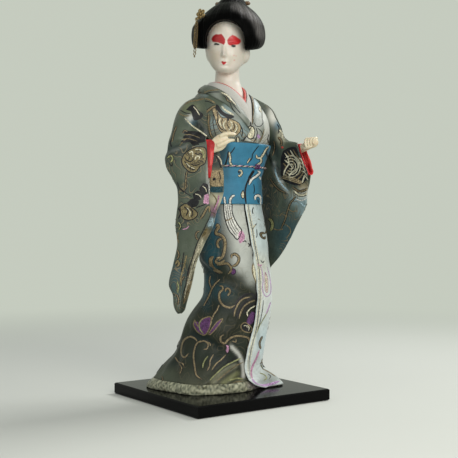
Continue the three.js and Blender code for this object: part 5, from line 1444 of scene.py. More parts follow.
def feather_motif(work, look, place, size, turn):
    """Five threads in a bow, like a feather."""
    for i, tone in enumerate(("gold", "black", "cream", "black", "gold")):
        bow = [(-1, -0.5 + 0.22 * i), (-0.3, 0.1 + 0.16 * i), (0.4, 0.15 + 0.05 * i), (1, -0.4 + 0.02 * i)]
        work.vine(look, tone, 1.7, turned(bow, place, size, turn), extra=0.8)


def tulip_motif(work, look, place, size, turn):
    """A purple flower on a bent stem."""
    work.filled(look, "purple", turned(TULIP, place, size, turn), "gold", 1.0)
    work.vine(look, "gold", 1.2, turned([(0, -0.9), (0.1, -1.6), (0.5, -2.2)], place, size, turn))


def branch_motif(work, look, place, size, turn):
    """A gold stem with five leaves."""
    work.vine(look, "gold", 1.1, turned(STEM, place, size, turn), extra=0.9)
    for i, (x, y) in enumerate(((-0.8, -0.1), (-0.1, -0.5), (0.1, 0.6), (0.8, 0.2), (0.6, 1.1))):
        leaf = turned(LEAF, (x, y), 0.42, 50 + 75 * (i % 2))
        work.filled(look, ("olive", "cream")[i % 2], turned(leaf, place, size, turn), "black", 0.6)


def cloud_motif(work, look, place, size, turn):
    """A cloud with two threads curled inside it."""
    work.filled(look, "ochre", turned(CLOUD, place, size, turn), "black", 1.4)
    for tone, line in (("black", CLOUD_CURL), ("cream", CLOUD_BOW)):
        work.ribbon(look, tone, 1.1, turned(line, place, size, turn))


MOTIF_PITCH = 23
MOTIF_SIZE = 7.5
MOTIFS = [curl_motif, feather_motif, branch_motif, curl_motif, cloud_motif, tulip_motif, branch_motif]


def scatter(work, look, seed, low, high, pitch, size):
    """Sprinkles the returning shapes over a side that the photograph doesn't show."""
    random = np.random.RandomState(seed)
    row = 0
    for y in np.arange(low[1], high[1], pitch):
        for x in np.arange(low[0] + (row % 2) * pitch / 2, high[0], pitch):
            place = (x + random.uniform(-0.2, 0.2) * pitch, y + random.uniform(-0.2, 0.2) * pitch)
            motif = MOTIFS[random.randint(len(MOTIFS))]
            scale, heading = size * random.uniform(0.8, 1.25), random.uniform(0, 360)
            if not work.faces_photograph(look, place):
                motif(work, look, place, scale, heading)
        row += 1


def stitch(work, look, shapes):
    """Lays listed shapes: a kind of stitch, its thread, its width in pixels and its line."""
    for kind, tone, width, line in shapes:
        if kind == "vine":
            work.vine(look, tone, width, line)
        elif kind == "line":
            work.ribbon(look, tone, width, line)
        elif kind == "fill":
            work.patch(look, tone, line)
        else:
            work.filled(look, tone, line, kind, width)


# The overlapping edge of the front panel
PANEL_RIM = [
    (244.7, 190), (245.4, 204), (247.5, 218), (249.6, 228.6), (251.8, 242.6), (254.6, 256.7),
    (256.7, 270.7), (257.4, 285),
    (257.4, 300), (256.8, 305), (254.3, 325.7), (250.7, 341), (248.2, 351), (246.6, 361), (246.6, 371.6),
    (248, 379),
]
SKIRT_SHAPES = [
    # A wide black line on the skirt along the panel's rim: painted shadow under the panel's lifted edge.
    ("line", "black", 3.0, [(x - 0.6, y) for x, y in PANEL_RIM]),
    # The white feather that falls from the obi
    ("black", "white", 1.1, [(223.6, 203), (224, 213), (225.6, 221), (228.8, 229.7), (233, 235),
                             (237.6, 239.3), (241.6, 231), (238.4, 225.7), (234.4, 218.6), (232, 211.4),
                             (231.4, 203)]),
    ("line", "black", 0.8, [(225.6, 205), (226.4, 213), (228, 221), (231.2, 228.6), (236.4, 236)]),
    ("line", "black", 0.8, [(227.4, 205), (228.2, 212.6), (230, 220.4), (233, 227.4), (237.4, 234)]),
    ("line", "black", 0.8, [(229.4, 205), (230.2, 212), (232, 219.4), (235, 226), (239, 232)]),
    ("vine", "gold", 1.2, [(225.4, 220), (228.6, 220), (232.4, 217.6)]),
    ("fill", "pink", 0, [(238.4, 232.1), (241.6, 230.5), (244.7, 235.3), (244, 240), (240, 243.3),
                         (238.4, 238.5)]),
    ("line", "black", 1.0, [(243, 242), (245, 240.8), (246.4, 242.4)]),
    ("line", "black", 1.2, [(248, 243), (249.6, 245), (248.4, 247)]),
    # Scrolls over the knee
    ("vine", "gold", 2.6, [(215.6, 227), (217.4, 224.6), (218.8, 227), (216.8, 230), (216, 233.5),
                           (219.5, 234.5), (223, 237), (225, 241.5), (225, 247), (224, 253), (222, 257.5),
                           (219, 260.5)]),
    ("vine", "gold", 2.0, [(221.5, 238.8), (219, 239.8), (217.4, 242.5), (217.6, 245.8), (219.4, 248)]),
    ("vine", "gold", 3.4, [(213.6, 256.4), (211, 259), (210.8, 263), (212.6, 267.4), (217, 271),
                           (222.4, 272.8)]),
    ("vine", "gold", 2.4, [(221.6, 257.4), (217.6, 258.4), (216, 261.4), (218.4, 263.4), (222.4, 262),
                           (224.6, 260)]),
    ("vine", "gold", 2.0, [(216.8, 265), (222.4, 264), (227.4, 263.6), (230.6, 266.8), (231.2, 270.6),
                           (228, 274)]),
    ("vine", "gold", 2.0, [(232, 266.4), (236, 264.8), (238.6, 261), (238.4, 256.8), (235.2, 254.2),
                           (232, 255.2), (231.4, 258.4)]),
    ("black", "purple", 0.6, [(231, 271), (233, 268.6), (235.6, 270), (235.6, 273), (233, 274.6),
                              (231, 273)]),
    ("gold", "cream", 1.0, [(253.8, 262), (255.6, 268), (256.4, 275), (257, 284), (254.6, 279),
                            (252.6, 273), (252.2, 267)]),
    ("vine", "gold", 1.4, [(220, 279.2), (215.2, 284), (212, 288.7), (209.7, 294.3), (206.6, 301),
                           (203.6, 306)]),
    ("vine", "gold", 1.1, [(210.5, 276), (209.4, 281.6), (211.3, 288)]),
    # Scroll, feather and tulip below the hip
    ("vine", "gold", 1.9, [(219.6, 286), (222.4, 286.4), (222.6, 289.6), (219.6, 293), (219.6, 300),
                           (223.6, 305.6), (230, 307.6), (235, 305.4)]),
    ("vine", "gold", 1.7, [(227.6, 296), (230, 292.4), (229.4, 289.4), (226.4, 288.6), (225.2, 291.6)]),
    ("line", "black", 2.2, [(252, 293.6), (244, 295.4), (238, 300.4), (234.6, 307.6), (233, 313.6)]),
    ("vine", "gold", 1.5, [(250.4, 297), (243.6, 298.6), (238.6, 303.4), (235.2, 310.6), (234, 316.6)]),
    ("line", "black", 2.0, [(254.4, 297.4), (247, 300.4), (241.6, 305.6), (238.2, 312.6), (236.6, 318.6)]),
    ("vine", "gold", 1.5, [(255, 300.4), (249, 302.6), (243.6, 307), (240.4, 313.6), (239, 319)]),
    ("line", "black", 1.8, [(255.4, 303), (250, 305.6), (245.6, 309.4), (243.6, 314.6)]),
    ("vine", "cream", 1.2, [(255.2, 305.8), (250.4, 308.6), (247.2, 312.6), (247.6, 316.4)]),
    ("line", "black", 2.2, [(250.6, 293), (253.6, 295.6), (255.6, 299.4)]),
    ("fill", "purple", 0, [(251.4, 311.6), (254.6, 312.8), (254.4, 318), (252.4, 323), (248.6, 325),
                           (246.6, 321.6), (248.4, 316.6)]),
    ("gold", "black", 1.1, [(241, 325), (244.4, 322.6), (248, 324.4), (252, 329), (249.6, 332.4),
                            (244.4, 331.4), (241.2, 328.6)]),
    ("line", "cream", 0.9, [(243.4, 326), (246, 325.6), (247.4, 328)]),
    ("line", "cream", 0.9, [(247.4, 325.4), (249, 328), (248.4, 330.6)]),
    ("gold", "purple", 1.2, [(194.7, 319.9), (193.8, 325.4), (198, 332.1), (204.7, 335), (209.2, 328.8),
                             (211, 322), (210.4, 317), (204, 318.2), (200, 321.4), (198, 326)]),
    ("gold", "purple", 1.0, [(208.6, 333.6), (213, 327), (217.6, 321.4), (222.6, 319), (219, 325),
                             (214.6, 330.4), (210, 334.6)]),
    ("line", "olive", 1.4, [(203, 318.4), (199.6, 323), (200, 329), (203.4, 333.6)]),
    ("vine", "gold", 1.3, [(211.4, 321), (213.6, 315), (217, 310), (219.2, 304.6)]),
    # Scrolls and blades above the hem
    ("vine", "gold", 1.8, [(188.6, 353.6), (184.6, 357.3), (181.3, 354), (181.9, 345.5), (184.6, 339.6),
                           (190.2, 336.8), (195, 338.6), (197.2, 341.6)]),
    ("vine", "gold", 1.5, [(201, 340.6), (196.6, 344), (194.4, 350), (193.6, 356.7), (194.7, 366.7),
                           (196.4, 375), (202, 379.6)]),
    ("vine", "gold", 1.4, [(198.6, 342.6), (204, 341), (208, 343.6), (207, 348.4), (203.6, 349.4)]),
    ("vine", "gold", 1.3, [(205.4, 342.6), (209.6, 343), (210.4, 346.4)]),
    ("vine", "gold", 1.9, [(224, 334.6), (220.6, 337), (221, 341.4), (224.6, 343.4), (229.3, 338.8),
                           (236, 336), (243.8, 336.6), (248.6, 338.4), (249.6, 343.3), (247, 347.8)]),
    ("vine", "gold", 1.3, [(232, 341), (235.6, 342), (236, 339)]),
    ("black", "pink", 0.8, [(225, 344.6), (228.6, 345.6), (229.4, 349.4), (227.4, 353.4), (225.6, 350.4),
                            (226.6, 347.6)]),
    ("line", "gold", 1.2, [(226, 354.6), (221.4, 359.4), (216, 364), (211.4, 370.4)]),
    ("line", "black", 0.9, [(227, 356), (222.4, 361), (217, 366), (212.6, 372)]),
    ("vine", "gold", 1.2, [(213.4, 354.6), (210.2, 360.6), (209.6, 366), (207, 371)]),
    ("line", "olive", 1.2, [(208, 356), (204, 362), (202.6, 368)]),
    ("vine", "gold", 1.2, [(175, 357), (178.6, 362), (182.6, 363.6), (184.4, 366.6)]),
    ("vine", "gold", 1.1, [(179, 363.4), (181.6, 368), (180, 374)]),
    ("vine", "gold", 1.1, [(151.4, 377), (157, 381), (162.6, 380.6), (162, 376)]),
    ("line", "olive", 1.4, [(241, 358), (233, 362), (224, 367), (215, 375), (209.6, 380.6)]),
    ("line", "black", 0.8, [(238, 357), (230, 362), (221, 368), (213, 376)]),
    ("line", "gold", 1.0, [(243, 362), (234, 367), (225, 374), (217, 381)]),
    ("line", "olive", 1.5, [(228, 381), (236, 378.4), (243, 379)]),
    ("line", "gold", 1.0, [(230, 384), (238, 381.6), (245, 382)]),
]
PANEL_SHAPES = [
    ("line", "cream", 0.9, [(x + 1.5, y) for x, y in PANEL_RIM]),
    ("line", "black", 0.6, [(x + 2.6, y) for x, y in PANEL_RIM]),
    ("line", "cream", 0.7, [(x + 3.6, y) for x, y in PANEL_RIM]),
    ("line", "black", 1.0, [(253.4, 207), (252.4, 211), (253, 214)]),
    ("line", "black", 1.1, [(256.6, 223.6), (254, 226.6), (252.6, 229.6)]),
    ("line", "cream", 1.6, [(255.4, 224.6), (252.8, 228)]),
    ("line", "black", 0.8, [(256.6, 229), (257, 235), (256.2, 238)]),
    ("line", "lavender", 0.9, [(259.9, 264), (262.3, 272.8), (263.1, 280.8), (262.3, 288.7), (265.5, 296.2),
                               (269.6, 294.6), (271, 288.7), (269.6, 276.8), (267.3, 267.2)]),
    ("line", "pink", 1.4, [(257.6, 263.6), (259.6, 266), (262, 264.6)]),
    ("pink", "cream", 0.6, [(265, 272), (267, 276), (268, 284), (267.4, 292), (265.6, 291), (264.8, 282)]),
    ("line", "black", 0.8, [(260.6, 260), (262.6, 262.6), (264.4, 261)]),
    ("line", "lavender", 1.2, [(270.6, 302), (268.6, 308), (266, 314)]),
    ("line", "olive", 0.9, [(268.6, 310), (264, 318), (259.4, 326), (256.2, 334)]),
    ("line", "black", 0.7, [(263.4, 300), (262.4, 310), (260, 322), (257.4, 330)]),
    ("line", "pink", 2.0, [(259.4, 350), (256.4, 358), (252.6, 366), (251, 373), (252.4, 379)]),
    ("line", "lavender", 2.6, [(252, 378.6), (255, 383.2), (259.6, 385.6), (266, 385.2), (273, 383.4),
                               (279.6, 381)]),
    ("line", "olive", 1.0, [(259.4, 373), (264, 374.6), (266.6, 378), (263.4, 380.4)]),
    ("line", "black", 0.8, [(268, 374), (270.4, 376), (269.4, 379)]),
    ("line", "gold", 1.0, [(262, 368.6), (268, 371.6), (275.6, 376.4)]),
    ("vine", "gold", 1.0, [(262.4, 336), (259.6, 343), (260.6, 349)]),
]
BODICE_SHAPES = [
    ("line", "gold", 1.3, [(201, 98.8), (207, 99), (212.6, 101.4), (215.6, 104)]),
    ("line", "black", 0.8, [(203, 101), (208.6, 101.6), (213.6, 104)]),
    ("black", "sand", 0.7, [(211.8, 109.4), (215, 107.6), (217.6, 112.6), (222, 117.4), (227.6, 118),
                            (233.5, 119.9), (239.6, 124), (240.8, 130), (236.4, 135.4), (229.4, 135.6),
                            (221.2, 132.1), (217, 125), (214.4, 117)]),
    ("line", "black", 1.2, [(216.6, 112), (218, 117.4), (217.6, 122), (220, 127.6), (224.6, 131)]),
    ("line", "black", 1.0, [(223, 118), (221.6, 123), (223.6, 128), (227, 132)]),
    ("line", "black", 1.0, [(228, 119.6), (227, 124), (229.6, 129), (233.6, 133.4)]),
    ("line", "black", 1.0, [(233.4, 122), (234.6, 127), (233, 130.6)]),
    ("vine", "cream", 1.5, [(220.6, 118), (219.4, 122), (221.4, 126.6)]),
    ("vine", "cream", 1.5, [(225.4, 120.4), (223.4, 125), (225, 130)]),
    ("vine", "cream", 1.5, [(230.6, 121), (232, 126), (228.6, 130.6)]),
    ("vine", "cream", 1.3, [(235.4, 123.6), (237, 128.4), (234, 133)]),
    ("line", "black", 3.6, [(216.4, 104.6), (218.6, 109), (222.6, 113.4), (228, 116), (234, 117)]),
    ("line", "cream", 1.8, [(221.4, 106), (225, 109.6), (229.4, 112.6), (233.6, 115)]),
    ("line", "black", 2.0, [(228, 116.6), (228.2, 119), (227.6, 121)]),
    ("vine", "gold", 2.0, [(202, 116.7), (206, 112.4), (211.5, 108.1), (215.6, 105.8)]),
    ("vine", "gold", 1.5, [(208.6, 114.1), (208.6, 124.4), (210.2, 133), (212.4, 138.2)]),
    ("line", "gold", 1.1, [(206.3, 115.8), (201.6, 121), (200.6, 126.2), (203.7, 133), (208, 138.2)]),
    ("line", "black", 0.8, [(213.4, 112), (213, 122), (214.6, 131), (217, 138)]),
    ("black", "cream", 0.9, [(236.6, 137), (238.6, 137.6), (239.6, 141.6), (238.6, 145.4), (236.8, 142)]),
    ("line", "black", 1.0, [(240.8, 126), (242.6, 131), (241.6, 137)]),
    ("vine", "cream", 1.5, [(268.4, 107), (270.8, 110), (271.8, 114.4), (270, 117.6)]),
    ("line", "black", 0.8, [(272.6, 112), (275, 117), (275.4, 122)]),
    ("vine", "cream", 1.3, [(269.4, 123), (271.6, 127), (270, 131.6)]),
    ("line", "ochre", 3.4, [(262.6, 100.4), (267.4, 103), (271.6, 106.6), (274, 110.6)]),
    ("line", "black", 0.8, [(268.8, 134), (267.6, 139), (268.6, 143)]),
]
COLLAR_SHAPES = [
    ("line", "gold", 1.1, [(203.9, 93.4), (208, 91), (213.2, 90.2), (219.2, 89.8)]),
    ("line", "black", 0.9, [(204.6, 95), (209, 92.6), (214, 92), (220, 92)]),
    ("vine", "cream", 1.5, [(221, 92.6), (225.6, 94.4), (229.4, 97.4), (232.4, 101), (236, 105)]),
    ("line", "black", 1.0, [(222.4, 95.4), (226.6, 98), (229.6, 102), (231.6, 107), (234.6, 111.8),
                            (239, 117)]),
    ("vine", "gold", 1.1, [(226, 97), (228, 100.6), (231, 102)]),
    ("line", "black", 0.8, [(233, 104), (236.4, 108.6), (240.6, 113.4)]),
    ("vine", "gold", 0.9, [(248.6, 91.7), (251.8, 96.9), (253, 102.9), (253.4, 111.5), (252.8, 118.4),
                           (251.8, 125.3)]),
    ("vine", "cream", 1.5, [(261.4, 112.4), (259.8, 109), (261, 105.8), (263.6, 106.6), (264.6, 110.4),
                            (263.6, 114)]),
    ("line", "black", 0.8, [(253.9, 122.6), (256.3, 126), (260.6, 126), (263, 122.7), (262.3, 118.8)]),
    ("black", "cream", 1.0, [(250.4, 125.6), (253.6, 127.4), (254.8, 132.2), (253.4, 137.4), (250, 139),
                             (247.2, 136.4), (246.4, 132), (247.6, 128)]),
    ("line", "black", 0.9, [(256, 127.4), (257.2, 133), (255.4, 139.6), (251, 143.2), (246.8, 141.6)]),
    ("line", "lavender", 3.2, [(257, 134.6), (258.4, 136.6), (260, 137.6)]),
    ("line", "black", 0.8, [(257.4, 128), (261, 131), (263, 135)]),
    ("line", "black", 1.5, [(247, 90), (250.4, 97), (251.6, 104), (252, 112), (251.4, 120), (249.6, 127)]),
    ("line", "gold", 1.0, [(264.6, 116), (265.4, 122), (264.4, 129), (262, 137), (258.6, 144)]),
    ("line", "black", 1.2, [(251.4, 126.4), (248.6, 132.6), (243.8, 140), (238.4, 146)]),
]
OBI_SHAPES = [
    ("vine", "cream", 1.7, [(229.2, 152), (230.2, 158), (230, 162.3), (232.2, 165.6)]),
    ("line", "black", 1.6, [(228.4, 151), (227.6, 157), (226, 163), (224.6, 166.4)]),
    ("vine", "cream", 1.5, [(238.6, 170.6), (240.8, 170.4), (241.8, 173), (240, 175.8), (238, 175)]),
    ("line", "black", 1.5, [(238.2, 170.6), (239.4, 173.6)]),
    ("vine", "cream", 1.6, [(256.3, 154.6), (257.1, 157.6), (260.4, 158), (263.1, 154.6), (265.7, 150.3),
                            (268.6, 146.4)]),
    ("vine", "cream", 1.7, [(260.6, 158), (261.2, 161.5), (258.8, 164), (256, 165.6)]),
    ("vine", "white", 2.0, [(257.6, 170.8), (259.7, 172.7), (256.3, 176.1), (251.6, 179.5), (249, 184.7)]),
    ("line", "black", 2.6, [(254, 170.4), (251.6, 174), (248.6, 179)]),
    ("line", "white", 1.4, [(259.6, 176.6), (260.8, 180)]),
    ("line", "black", 1.7, [(252.4, 171.6), (248, 180.6), (245.4, 188.6), (245.4, 197.6), (246.2, 205)]),
    ("line", "black", 1.0, [(258.8, 145.6), (252.8, 153.7), (251.6, 158.9), (246.6, 164)]),
    ("vine", "cream", 0.9, [(250.2, 158), (248.4, 161), (247.2, 163.4)]),
    ("black", "cream", 0.8, [(243.2, 190.2), (244.2, 194.2), (243.6, 198.5), (241.6, 197), (241.2, 193.4)]),
    ("vine", "white", 2.0, [(255, 200), (255.6, 196.4), (258.8, 195.6), (261, 199), (260.6, 204.6)]),
    ("line", "black", 1.1, [(257.6, 199.4), (258.4, 203)]),
    ("vine", "white", 1.8, [(234.9, 195.2), (231.8, 196.8), (229.9, 201.4), (231, 205.4)]),
    ("vine", "white", 1.6, [(224.2, 196.6), (224.8, 201), (225.4, 205.4)]),
    ("line", "black", 1.0, [(235, 147), (232.4, 151), (229.6, 154)]),
    ("line", "black", 0.8, [(253.6, 184), (254.4, 190), (253.6, 194)]),
    ("line", "black", 0.9, [(267.6, 147), (266, 152), (267.4, 157), (266.4, 163)]),
]
RIGHT_SLEEVE_SHAPES = [
    # Birds and streaks over the shoulder
    ("fill", "black", 0, [(186, 109.8), (190.4, 105.6), (194, 105), (198.6, 110.4), (203.2, 114.6),
                          (200.4, 119), (194.4, 120.4), (192.4, 116.4), (190.8, 111.4)]),
    ("vine", "cream", 1.0, [(193.4, 106.6), (196.6, 110.4), (199.6, 115.4)]),
    ("line", "gold", 1.4, [(184.6, 104.6), (189.6, 101.6), (196.4, 100.4), (204, 98.8)]),
    ("line", "black", 0.9, [(180, 110), (185.6, 113), (190.6, 113.6)]),
    ("line", "gold", 1.0, [(178.4, 113), (183.6, 115.6), (189.6, 116)]),
    ("vine", "gold", 1.1, [(176.6, 126), (173.6, 134), (172, 142)]),
    ("line", "black", 1.4, [(172.6, 137), (170.4, 142.6), (171.6, 147)]),
    ("line", "cream", 1.3, [(184.6, 118), (192.6, 126), (201.8, 132.4), (208.6, 137.6)]),
    # The black fan on the upper arm
    ("fill", "black", 0, [(189, 131), (197, 131.4), (203, 134.4), (208, 138.6), (204, 142), (198, 143.4),
                          (194, 146), (190.6, 143), (188, 138)]),
    ("vine", "black", 2.2, [(182.6, 132.4), (188.4, 132.6), (196, 135), (203, 138.6)]),
    ("vine", "black", 2.4, [(183, 137.4), (189.6, 136.8), (196.6, 139), (202.4, 142)]),
    ("vine", "black", 2.2, [(181, 142), (188, 140.6), (194.6, 142), (199, 144.6)]),
    ("line", "gold", 0.8, [(184.4, 134.6), (191, 134.8), (200, 138)]),
    ("line", "gold", 0.8, [(181.6, 139.6), (188.6, 138.8), (197.6, 141.4)]),
    ("line", "gold", 0.8, [(179.6, 146), (183, 141.4), (187.4, 138)]),
    ("vine", "gold", 0.9, [(182.6, 133.4), (184.6, 130.6), (187.4, 131.6)]),
    # The ochre cloud on the forearm
    ("black", "ochre", 1.0, [(181.4, 159.7), (184.5, 153.8), (190.6, 149.4), (198, 146.8), (205.6, 148.4),
                             (206.6, 156.6), (204.6, 163.6), (200.4, 166.2), (196, 171.6), (191, 172.4),
                             (187, 170), (183, 165.4)]),
    ("line", "black", 1.2, [(187.6, 151.8), (189.4, 156.6), (188.4, 160.4)]),
    ("vine", "cream", 1.2, [(189, 153), (192.4, 151.6), (192.6, 157.4)]),
    ("vine", "cream", 1.3, [(195, 160), (196.4, 156.4), (199.6, 156.6), (199, 159.6)]),
    ("line", "black", 1.3, [(194.4, 153), (197.6, 154.4), (200.8, 153.6), (202.4, 156.4)]),
    ("line", "black", 1.2, [(184.6, 157), (186.6, 160), (190, 161.6), (193, 160), (192.4, 157)]),
    ("line", "black", 1.1, [(196, 163.6), (199.4, 161), (202.6, 161.6), (203, 164)]),
    ("line", "cream", 1.0, [(186.4, 163), (190, 166.6), (194.6, 168.6)]),
    ("line", "black", 1.1, [(188, 167.4), (191.4, 169.4), (195.4, 169.6)]),
    ("line", "cream", 1.0, [(195, 149.6), (199.6, 149.6), (202, 151.4)]),
    ("line", "black", 1.2, [(190.4, 163.6), (194.4, 165.4), (199.4, 164.4)]),
    ("line", "black", 1.1, [(184.6, 161), (187, 164.6), (187.6, 168)]),
    *[("vine", "ochre", 0.8, [(x, y), (x + 1.8, y - 1.8), (x + 3.2, y), (x + 1.8, y + 1.6)])
      for x, y in ((190.6, 157), (196.6, 151.6), (199.6, 158.6), (186.6, 155.6), (192, 164), (197, 163),
                   (188.6, 168.6))],
    ("line", "olive", 1.6, [(201, 150), (203.6, 153), (203.4, 158)]),
    ("vine", "olive", 1.6, [(167.4, 158), (171, 155.6), (172.6, 159), (170.4, 162.6)]),
    ("line", "black", 1.0, [(169, 163), (171.6, 166), (172.6, 163)]),
    ("vine", "gold", 1.0, [(187, 171), (186, 178), (185.5, 186.2), (184.4, 190.6)]),
    ("line", "black", 0.8, [(180, 188), (186, 193), (192, 196.6)]),
    ("line", "black", 0.9, [(177.4, 182), (179.6, 188), (184, 192.4)]),
    # Birds and a pink bud by the open edge
    ("fill", "black", 0, [(203.4, 183), (207.6, 184.4), (208.6, 190), (205.6, 194.6), (201.6, 193.6),
                          (199.4, 188.6)]),
    ("fill", "black", 0, [(192.6, 194), (198.6, 190.6), (203.6, 194.4), (200.6, 199.6), (194.6, 199.4)]),
    ("fill", "black", 0, [(187, 202.6), (192.6, 198.6), (199, 201), (196.4, 206.4), (189.6, 206.8)]),
    ("vine", "cream", 0.9, [(202.6, 186), (205.4, 188.4), (206.4, 192)]),
    ("vine", "cream", 0.9, [(195, 194), (199, 195), (201.4, 198.4)]),
    ("fill", "pink", 0, [(204.4, 195), (209, 194), (209.4, 200), (208.6, 204), (203.6, 203)]),
    ("line", "white", 1.6, [(207.6, 154), (208.3, 168), (208.6, 181), (209.1, 195)]),
    # The ochre lozenge and leaves down the sleeve
    ("black", "ochre", 1.0, [(180, 206.6), (186, 203.6), (192, 207.6), (197.6, 213), (194.6, 218.4),
                             (187.6, 220), (182, 217)]),
    ("line", "black", 1.6, [(184, 206.6), (188, 210.6), (186, 216)]),
    ("line", "black", 1.4, [(189.6, 207.6), (192.6, 212), (191.6, 217)]),
    ("line", "cream", 0.9, [(186.6, 207.4), (190, 211.6), (189.4, 216.6)]),
    ("line", "black", 1.3, [(178, 207.4), (180.6, 213), (178.4, 219)]),
    ("vine", "gold", 1.8, [(200, 219.4), (203.6, 214), (206.4, 208.6), (209.2, 207), (209.4, 212.6)]),
    ("line", "black", 1.2, [(196.4, 207.6), (201.6, 205.6), (206.4, 203.6)]),
    ("vine", "olive", 1.2, [(178.6, 222), (180.6, 226), (178.6, 230)]),
    ("line", "pink", 0.9, [(182.6, 229.6), (186.6, 228.4), (189, 226)]),
    ("vine", "gold", 1.0, [(199.6, 231), (196.4, 232.9), (196.1, 236.9), (198, 240.1)]),
    ("line", "gold", 1.0, [(178.4, 232), (177.6, 238), (179, 243)]),
    ("vine", "gold", 1.1, [(177.6, 250), (179, 255), (177.4, 259)]),
    ("vine", "ochre", 1.8, [(175.6, 264.6), (177.6, 260.8), (179, 264), (176.4, 266.6)]),
    ("line", "black", 1.0, [(184, 252), (182.6, 262), (181, 272)]),
    ("line", "ochre", 1.6, [(186.6, 255), (184.6, 264), (181.4, 275), (180, 283)]),
    ("vine", "gold", 1.1, [(184.6, 276), (181.6, 280.6), (181, 286)]),
    ("line", "olive", 1.2, [(177, 281), (178.6, 287), (177.4, 293)]),
    ("vine", "gold", 1.0, [(176.4, 294), (178.6, 299.6), (177.6, 305)]),
    # The inside of the far edge, with its bands of colour
    ("line", "black", 1.8, [(216, 156), (219, 161), (221.4, 168)]),
    ("vine", "cream", 1.2, [(217.6, 156), (220.6, 160), (221.6, 165)]),
    ("fill", "sand", 0, [(211.6, 170.6), (222.6, 170.6), (223.4, 178), (223, 185.6), (211, 185.6),
                         (210.6, 178)]),
    ("line", "black", 3.2, [(212.6, 179.6), (215.8, 178.8)]),
    ("line", "black", 1.2, [(219, 172), (220.6, 177), (219.4, 182)]),
    ("fill", "teal", 0, [(211, 187), (222.8, 187), (222.8, 192), (211, 192)]),
    ("line", "gold", 1.0, [(212.6, 194), (216.6, 200), (214.6, 207)]),
    ("line", "pink", 1.6, [(219, 195), (217.6, 203), (213.6, 211)]),
    ("fill", "light_blue", 0, [(209.6, 220), (213, 218), (212.4, 224), (208.4, 226.6)]),
    ("fill", "ochre", 0, [(204, 230), (207.6, 228.4), (206, 234), (202, 236.6)]),
    ("fill", "cream", 0, [(199, 243), (203.4, 240), (200, 250), (196.6, 256), (196, 251)]),
    ("line", "cream", 2.4, [(203, 238), (197.4, 250), (193.6, 263), (190.6, 275), (187.6, 286),
                            (184.6, 298)]),
    ("line", "black", 1.0, [(196, 258), (193.4, 266), (191, 275), (188.6, 284)]),
    ("line", "gold", 2.0, [(189.6, 278), (187.6, 287), (185.6, 296), (183.6, 304)]),
    ("line", "black", 1.6, [(211.2, 213), (208.6, 220), (202.2, 233), (196.6, 245.4), (192.3, 259.6),
                            (188.6, 270), (186, 284.6), (182.8, 297), (180.4, 308)]),
]
